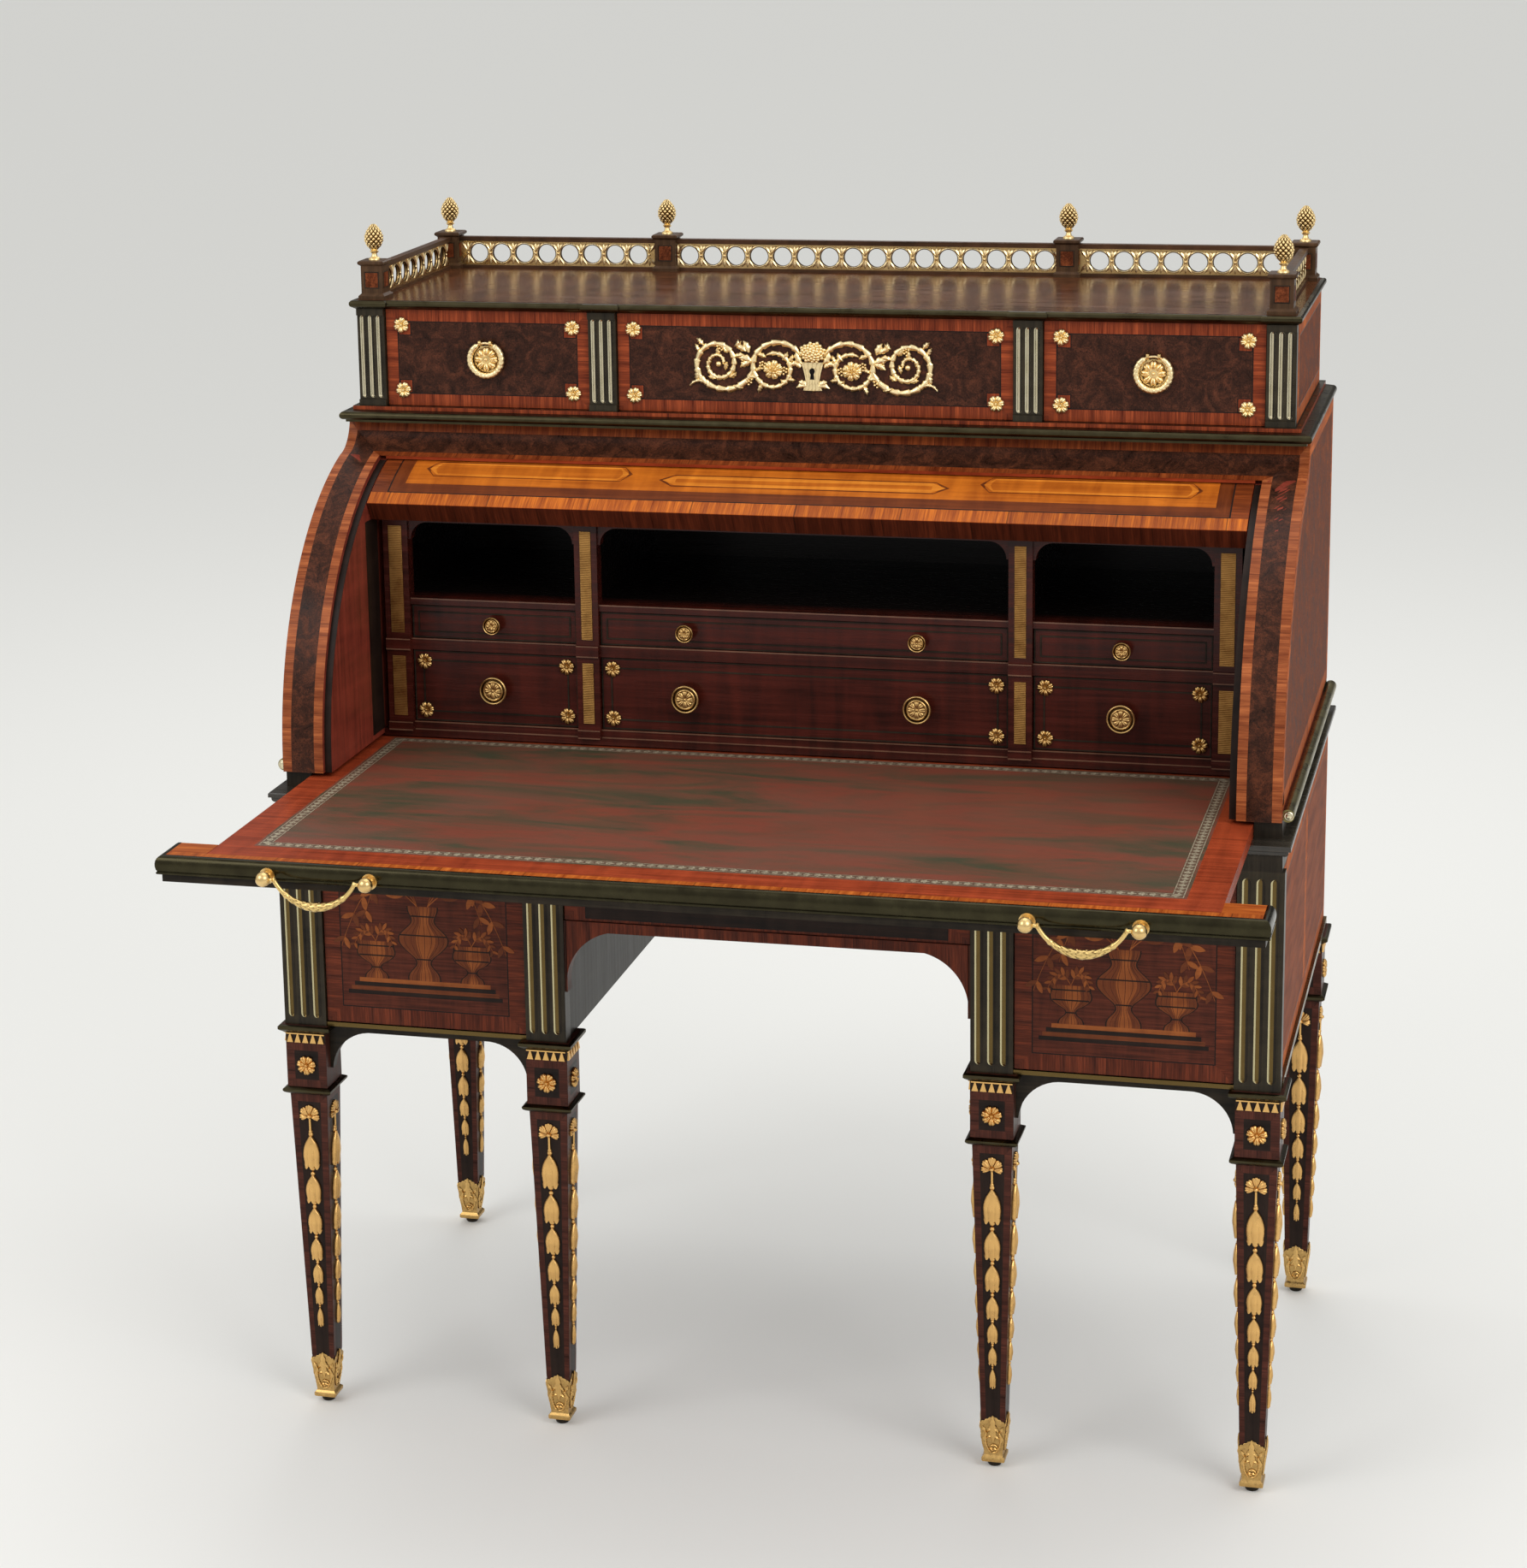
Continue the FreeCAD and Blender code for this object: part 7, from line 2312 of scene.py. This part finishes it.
    def build(self, shop: Workshop) -> None:
        """Lays the fronts, the arch and the sides."""
        for _, side in SIDES:
            node = "lower_%s_drawer" % side
            shop.veneer("lower_%s_front" % side, self.deep_front(node), node)
        shop.veneer("frieze_front", self.frieze("centre_drawer"), "centre_drawer")
        shop.veneer("apron_band", self.apron())
        shop.piece("flute_edges", self.flute_edges(), "carcass")
        spots = [(sign * self.screw_x, self.screw_y, self.screw_z) for sign, _ in SIDES]
        screws = lathe(self.screw_profile, 24).placed(Facing.FRONT.at(spots))
        shop.piece("waist_screws", screws.painted(Finish.EDGE_BRASS), "carcass")
        for sign, side in SIDES:
            shop.veneer("case_side_%s" % side, self.side(sign))

    def dress(self, shop: Workshop) -> None:
        """Finishes of the lower case."""
        shop.dress(Finish.PILASTER_WOOD, "pilasters")
        shop.dress(Finish.EBONY, "pedestal_sides", "slide_bed", "waist_rails")
        shop.dress(Finish.FLUTE_BRASS, "pilaster_flutes", "drawer_beads")
        shop.dress(Finish.BAR_BRASS, "waist_mouldings")
        shop.dress(Finish.CAP_WOOD, "case_cap")
        shop.dress(Finish.EBONY_LONG, "leg_spandrels")
        shop.dress(Finish.CASE_WOOD, "kneehole_apron")
        shop.dress(Finish.DARK_MAHOGANY, "case_floors")
        shop.dress(Finish.BACK_WOOD, "back_panels")
        shop.dress(Finish.BOX_WOOD, "lower_left_drawer", "lower_right_drawer", "centre_drawer")


@dataclass
class Legs:
    """Six tapered legs with panels, drops, flowers, garlands and leafed shoes."""

    outer_x: float = 542.0
    inner_x: float = 254.0
    front_y: float = -112.85
    back_y: float = 442.15
    foot_half: float = 13.5
    shoulder_half: float = 22.0
    foot_z: float = 58.0
    shoulder_z: float = 389.0
    block_half: float = 24.0
    block_low: float = 398.0
    block_high: float = 464.0
    strip_foot: float = 5.6
    strip_head: float = 8.0
    panel_head: float = 9.0
    panel_foot: float = 2.0
    panel_top: float = 0.3
    seam: float = 0.1
    mount_lift: float = 0.25
    block_band: float = 9.5
    drop_band: float = 12.0
    drop_pitch: float = 9.3
    flower_z: float = 27.0
    palmette_z: float = 362.0
    knot_z: float = 343.0
    button_z: float = 7.0
    button_profile: tuple[Pair, ...] = ((7.0, 0), (8, 1.5), (8, 5), (6.5, 7.5))
    back_limit: float = 473.1
    head_profile: tuple[Pair, ...] = (
        (0.3, 463.6), (1.6, 464.2), (3.0, 465.6), (5.4, 467.2), (7.1, 468.8), (7.1, 472.2), (5.6, 473.4),
        (3.6, 473.9))
    foot_profile: tuple[Pair, ...] = (
        (-1.6, 388.8), (2.2, 390.8), (4.0, 392.2), (5.1, 393.6), (5.1, 395.8), (3.0, 397.0), (0.4, 398.4))
    shoe_base: tuple[Pair, ...] = (
        (12.0, 0.0), (13.1, 1.6), (13.1, 5.0), (11.6, 6.4), (10.6, 7.6))
    shoe_lip: tuple[Pair, ...] = ((14.2, 0.2), (12.6, -2.0))
    shoe_neck: float = 15.4
    shoe_halves: Pair = (10.3, 15.0)
    shoe_points: int = 20
    lift_from: float = 34.0
    husk_starts: tuple[float, ...] = (338.0, 289.0, 248.0, 210.0, 178.0, 149.0, 122.0)
    husk_widths: tuple[float, ...] = (20.5, 19.0, 17.5, 15.0, 13.0, 10.5, 8.0)
    husk_lengths: tuple[float, ...] = (39.0, 33.0, 30.0, 26.0, 23.0, 21.0, 22.0)

    def places(self) -> list[tuple[str, float, float, tuple[Facing, ...]]]:
        """Name, middle and free block faces of each leg."""
        out, near = {-1: Facing.LEFT, 1: Facing.RIGHT}, {-1: Facing.RIGHT, 1: Facing.LEFT}
        made = []
        for sign, side in SIDES:
            outer, inner = sign * self.outer_x, sign * self.inner_x
            made.append(("front_%s_outer" % side, outer, self.front_y, (Facing.FRONT, out[sign])))
            made.append(("front_%s_inner" % side, inner, self.front_y, (Facing.FRONT, near[sign])))
            made.append(("back_%s" % side, outer, self.back_y,
                         (Facing.FRONT, Facing.LEFT, Facing.RIGHT, Facing.BACK)))
        return made

    def half(self, z: Array | float) -> Array | float:
        """Half the width of the tapered part at a height."""
        share = (z - self.foot_z) / (self.shoulder_z - self.foot_z)
        return self.foot_half + (self.shoulder_half - self.foot_half) * share

    def taper_lay(self, x: float, y: float, facing: Facing) -> Lay:
        """A mapping on one tapered face: u across, v the height, h out.

        Args:
            x: Middle of the leg.
            y: Middle of the leg.
            facing: Which face.
        Returns:
            The mapping.
        """
        right, _, out = facing.axes

        def lay(u: Array, v: Array, h: float) -> Array:
            """The place u across the face at height v."""
            reach = (self.half(v) + h)[..., None]
            return np.array((x, y, 0)) + u[..., None] * right + reach * out + v[..., None] * (0, 0, 1)

        return lay

    def panels(self, x: float, y: float, blocks: tuple[Facing, ...]) -> Surface:
        """Red borders and dark middles of the tapered faces and of the block.

        Args:
            x: Middle of the leg.
            y: Middle of the leg.
            blocks: Free faces of its block.
        Returns:
            The veneers.
        """
        parts = []
        low, high = self.foot_z + self.panel_foot, self.shoulder_z - self.panel_top
        for facing in ROUND:
            veneer, head = Veneer(self.taper_lay(x, y, facing)), high - self.panel_head
            a, b = self.half(low) - self.seam, self.half(high) - self.seam
            c, d = a - self.strip_foot, b - self.strip_head
            veneer.patch([(-a, low), (-c, low), (-d, head), (-b, high)], Finish.LEG_BAND, True)
            veneer.patch([(c, low), (a, low), (b, high), (d, head)], Finish.LEG_BAND, True)
            veneer.patch([(-d, head), (d, head), (b, high), (-b, high)], Finish.LEG_BAND)
            veneer.patch([(-c, low), (c, low), (d, head), (-d, head)], Finish.DARK_FIELD, True)
            parts += veneer.parts
        w, tall = self.block_half - self.seam, self.block_high - self.block_low
        for facing in blocks:
            corner = np.array((x, y, self.block_low)) + facing.axes[2] * self.block_half
            veneer, under = Veneer(facing.flat(corner)), tall - self.drop_band
            veneer.panel((-w, 0), (w, under), self.block_band, (Finish.LEG_BAND, Finish.DARK_FIELD))
            veneer.rect((-w, under), (w, tall - self.seam), Finish.DARK_FIELD)
            parts += veneer.parts
        return joined(parts)

    def drop_row(self) -> Surface:
        """A gilt fillet over five tapered drops."""
        fillet = np.array([[(-23, -1.6), (23, -1.6)], [(-23, -0.2), (23, -0.2)]], float)
        drop = np.array([[(-4.3, -11.4), (4.3, -11.4)], [(-0.7, -1.4), (0.7, -1.4)]], float)
        back = np.full((2, 2), -SEAT)
        bar = slab(np.dstack([fillet, np.full((2, 2), 1.8)]), np.dstack([fillet, back]))
        face = np.dstack([drop * (0.86, 1), np.array([[2.0, 2.0], [1.2, 1.2]])])
        spots = [(k * self.drop_pitch, 0, 0) for k in range(-2, 3)]
        return joined([bar, slab(face, np.dstack([drop, back])).placed(Facing.TOP.at(spots))])

    def drops(self, x: float, y: float, blocks: tuple[Facing, ...]) -> Surface:
        """A row of drops on each free face of the block, and a flower below.

        Args:
            x: Middle of the leg.
            y: Middle of the leg.
            blocks: Free faces of its block.
        Returns:
            The mounts.
        """
        row, flower, parts = self.drop_row(), rosette(11.6, 4.2, 7), []
        for facing in blocks:
            face = np.array((x, y, 0)) + facing.axes[2] * (self.block_half + SEAT)
            parts.append(row.placed(facing.at([face + (0, 0, self.block_high)])))
            parts.append(flower.placed(facing.at([face + (0, 0, self.block_low + self.flower_z)], 12)))
        return joined(parts)

    def garland(self) -> Surface:
        """A palmette, a knotted stem and seven husks, in x right, y the height and z out of the face."""
        heights = np.linspace(self.palmette_z - 1, self.husk_starts[0] - 2, 10)
        stem = flat_bar(np.stack([np.zeros_like(heights), heights], 1), 1.4, 1.6, 1.0)
        knot = bead(2.6, 3.0).set_down(0, self.knot_z)
        parts = [palmette(13.6, 4.2).set_down(0, self.palmette_z), stem, knot]
        for start, wide, long in zip(self.husk_starts, self.husk_widths, self.husk_lengths):
            parts.append(husk(wide, long, 2.4 + wide * 0.22).set_down(0, start))
            parts.append(bead(wide * 0.13 + 0.5, 2.8).set_down(0, start + 1.6))
            parts.append(bead(wide * 0.17, 2.4).set_down(0, start - long - 1.5))
        return joined(parts)

    def on_slope(self, shape: Surface, x: float, y: float, facing: Facing,
                 half: Callable[[Array], Array]) -> Surface:
        """Lays an ornament, made in x across, y the height and z out, on a sloping face.

        Args:
            shape: The ornament.
            x: Middle of the leg.
            y: Middle of the leg.
            facing: Which face.
            half: The face's distance from the middle at a height.
        Returns:
            The ornament in its place.
        """
        right, _, out = facing.axes
        across, height, proud = shape.points.T
        reach = half(height) + proud + self.mount_lift
        foot, up = np.array((x, y, 0)), height[:, None] * np.array((0, 0, 1))
        return replace(shape, points=foot + across[:, None] * right + reach[:, None] * out + up)

    def mouldings(self, x: float, y: float) -> Surface:
        """Brass mouldings round the head of the block and under it, cut flush with the back.

        Args:
            x: Middle of the leg.
            y: Middle of the leg.
        Returns:
            The closed mouldings.
        """
        profiles = [np.array(row) + (self.block_half, 0) for row in (self.head_profile, self.foot_profile)]
        made = joined([ring_solid(square_rings(x, y, row, 1)) for row in profiles])
        made.points[:, 1] = np.minimum(made.points[:, 1], self.back_limit)
        return made

    def shoe_half(self, z: Array | float) -> Array | float:
        """Half the width of the shoe's flared body at a height."""
        return np.interp(z, (self.shoe_neck, self.foot_z), self.shoe_halves)

    def shoe(self, x: float, y: float) -> Surface:
        """A square brass shoe: moulded base, flared body, and a lip with a scalloped point on each side.

        Args:
            x: Middle of the leg.
            y: Middle of the leg.
        Returns:
            The closed shoe and its leaves.
        """
        top, count = self.foot_z, self.shoe_points
        rows = [(half, self.button_z + z) for half, z in self.shoe_base]
        rows += [(float(self.shoe_half(z)), z) for z in np.linspace(self.shoe_neck, top - 1, 8)]
        rows += [(half, top + z) for half, z in self.shoe_lip]
        rings = square_rings(x, y, rows, count)
        along = np.abs(np.tile(np.linspace(-1, 1, count, endpoint=False), 4))
        lift = 8.0 * np.clip(1 - along, 0, 1) + 1.6 * np.abs(np.cos(3.5 * math.pi * along)) - 3.2
        share = (np.array(rows)[:, 1] - self.lift_from) / (top - self.lift_from)
        rings[..., 2] += np.clip(share, 0, 1)[:, None] * lift
        relief = self.shoe_relief()
        leaves = [self.on_slope(relief, x, y, facing, self.shoe_half) for facing in ROUND]
        return joined([ring_solid(rings, np.full(rings.shape[:2], 0.42))] + leaves)

    def shoe_relief(self) -> Surface:
        """Chased leaves of one side of a shoe: a coil at the foot, a tall leaf over it and curling sprays."""
        coil = spiral((0, 24), (5.6, 5.2, 4.4, 3.4, 2.4, 1.2), 250, 1, 60)
        parts = [frond(coil, 1.2, 0.8, 1.8, 9), leaf(35, 9.4, 2.4, 4).set_down(0, 30)]
        leaves = ((8, 30, 20, 10), (7, 43, 40, 9), (7, 43, -30, 9), (7.6, 36, -50, 8), (5, 22, -60, 6))
        for sign, _ in SIDES:
            spray = arc_through((sign * 3.0, 18.5), (sign * 8.2, 30), (sign * 7.0, 44), 40)
            parts.append(frond(spray, 1.1, 1.7, 1.9, 8))
            for x, y, spin, length in leaves:
                shape = leaf(length * 1.1, length * 0.5, 2.0, 2, -sign * 25, 10, 5)
                parts.append(shape.set_down(sign * x, y, 0, -sign * spin))
        return joined(parts)

    def build(self, shop: Workshop) -> None:
        """Makes the panels, mouldings, garlands and shoes of every leg."""
        garland, shoes, buttons = self.garland(), [], []
        button = lathe(self.button_profile, 24)
        for name, x, y, blocks in self.places():
            shop.veneer(name + "_panels", self.panels(x, y, blocks))
            rings = self.mouldings(x, y).painted(Finish.DARK_BRASS)
            shop.piece(name + "_mouldings", rings, "carcass", 30)
            hung = [self.on_slope(garland, x, y, facing, self.half)
                    for facing in (Facing.FRONT, Facing.LEFT, Facing.RIGHT)]
            shop.mount(name + "_mounts", joined(hung + [self.drops(x, y, blocks)]), Finish.LEG_GILT)
            shoes.append(self.shoe(x, y))
            buttons.append(button.set_down(x, y))
        whole = joined([joined(shoes).painted(Finish.SHOE_GILT), joined(buttons).painted(Finish.EBONY)])
        shop.piece("leafed_shoes", whole, "carcass", 50, ["sabots"])

    def dress(self, shop: Workshop) -> None:
        """Finish of the leg timber."""
        shop.dress(Finish.LEG_WOOD, "front_legs", "back_legs")


def stand(data: bpy.types.ID, axes: Sequence[Array], place: Sequence[float]) -> bpy.types.Object:
    """Stands a camera or a lamp in the scene.

    Args:
        data: The camera or lamp.
        axes: Its right, its up and the direction away from what it looks at.
        place: Where it is, in metres.
    Returns:
        The object.
    """
    thing = bpy.data.objects.new(data.name, data)
    matrix = np.eye(4)
    matrix[:3, :3], matrix[:3, 3] = np.stack(axes, 1), place
    thing.matrix_world = Matrix(matrix.tolist())
    bpy.context.scene.collection.objects.link(thing)
    return thing


@dataclass(frozen=True)
class Lamp:
    """A square soft lamp: its place and the length of its side in metres, and its power in watts."""

    name: str
    place: Triple
    size: float
    power: float

    def hang(self, aim: Triple) -> None:
        """Hangs the lamp so that it points at a place.

        Args:
            aim: The place, in metres.
        """
        data = bpy.data.lights.new(self.name, "AREA")
        data.size, data.energy = self.size, self.power
        away = np.array(self.place) - aim
        away /= np.linalg.norm(away)
        side = np.cross((0, 0, 1.0), away)
        side /= np.linalg.norm(side)
        stand(data, (side, np.cross(away, side), away), self.place)


@dataclass
class Studio:
    """Pale floor, soft lamps, plain surroundings and the camera at the photograph's angle."""

    place: Triple = (0.86741, -3.76604, 1.82659)
    yaw: float = 0.256353989
    pitch: float = 0.230975608
    roll: float = -0.018743855
    focal: float = 4153.367
    middle: Pair = (800.0, 750.0)
    picture: tuple[int, int] = (1785, 1833)
    sensor: float = 36.0
    far: float = 200.0
    floor_size: float = 60.0
    floor_z: float = -0.0004
    floor_colour: Colour = (226, 226, 223)
    glow_colour: Colour = (255, 255, 252)
    floor_glow: float = 0.07
    horizon: tuple[float, ...] = (0.64, 0.64, 0.63, 1)
    zenith: tuple[float, ...] = (0.86, 0.86, 0.85, 1)
    dusk: tuple[float, ...] = (0.06, 0.055, 0.05, 1)
    aim: Triple = (0, 0.1, 0.8)
    lamps: tuple[Lamp, ...] = (
        Lamp("left", (-2.8, -3.0, 3.5), 2.4, 52), Lamp("right", (3.2, -2.6, 3.4), 2.4, 72),
        Lamp("overhead", (0.2, 0.6, 4.0), 2.6, 24), Lamp("rear", (-0.6, 3.6, 3.4), 2.0, 22))

    def camera(self) -> None:
        """Sets up the camera from its measured place, turn and focal length."""
        forward = np.array((-math.sin(self.yaw), math.cos(self.yaw), 0))
        right = np.array((math.cos(self.yaw), math.sin(self.yaw), 0))
        up = np.array((0, 0, 1.0))
        ahead = forward * math.cos(self.pitch) - up * math.sin(self.pitch)
        over = up * math.cos(self.pitch) + forward * math.sin(self.pitch)
        side = right * math.cos(self.roll) + over * math.sin(self.roll)
        over = over * math.cos(self.roll) - right * math.sin(self.roll)
        data, longer = bpy.data.cameras.new("camera"), max(self.picture)
        data.sensor_width = self.sensor
        data.lens = self.focal / longer * self.sensor
        data.shift_x = (self.picture[0] / 2 - self.middle[0]) / longer
        data.shift_y = (self.middle[1] - self.picture[1] / 2) / longer
        data.clip_end = self.far
        bpy.context.scene.camera = stand(data, (side, over, -ahead), self.place)

    def floor(self) -> None:
        """A wide plain floor just under the feet, a little brighter to the camera than to the desk."""
        size, z = self.floor_size, self.floor_z
        mesh = bpy.data.meshes.new("floor")
        corners = [(-size, -size, z), (size, -size, z), (size, size, z), (-size, size, z)]
        mesh.from_pydata(corners, [], [(0, 1, 2, 3)])
        bench = NodeBench("floor")
        bench.done(self.floor_colour, 0.6, level=0.1)
        rays = bench.add("LightPath").outputs
        mirrored = bench.sum("MAXIMUM", rays["Is Glossy Ray"], rays["Is Transmission Ray"])
        seen = bench.sum("MAXIMUM", rays["Is Camera Ray"], mirrored)
        bench.shader.inputs["Emission Color"].default_value = linear(self.glow_colour)
        bench.feed(bench.shader.inputs["Emission Strength"], bench.sum("MULTIPLY", seen, self.floor_glow))
        mesh.materials.append(bench.material)
        thing = bpy.data.objects.new("floor", mesh)
        bpy.context.scene.collection.objects.link(thing)

    def surroundings(self) -> None:
        """Even soft light from all round, brighter overhead and dim low down behind the desk."""
        world = bpy.data.worlds.new("studio")
        world.use_nodes = True
        nodes = Nodes(world.node_tree)
        split = nodes.add("SeparateXYZ", nodes.add("TexCoord").outputs["Generated"]).outputs
        sky = nodes.add("ValToRGB", split[2])
        stops = ((0.0, self.horizon), (0.75, self.zenith))
        for element, (position, colour) in zip(sky.color_ramp.elements, stops):
            element.position, element.color = position, colour
        behind = nodes.level(split[1], 0.3, 0.8)
        low = nodes.level(split[2], 0.3, 0.55, 0.95, 0)
        light = nodes.mix(nodes.sum("MULTIPLY", behind, low), sky.outputs[0], list(self.dusk))
        nodes.add("OutputWorld", nodes.add("Background", light).outputs[0])
        bpy.context.scene.world = world

    def build(self) -> None:
        """Sets up everything that isn't the desk."""
        self.camera()
        self.floor()
        self.surroundings()
        for lamp in self.lamps:
            lamp.hang(self.aim)
        bpy.context.scene.view_settings.view_transform = "Standard"


def main() -> None:
    """Builds and dresses each sub-assembly in order, then the studio round it."""
    logging.basicConfig(level=logging.INFO, format="%(name)s: %(message)s")
    shop = Workshop()
    for part in (Gallery(), UpperCase(), CurvedCase(), Interior(), WritingSlide(), LowerCase(), Legs()):
        part.build(shop)
        part.dress(shop)
    Studio().build()


if __name__ == "__main__":
    main()
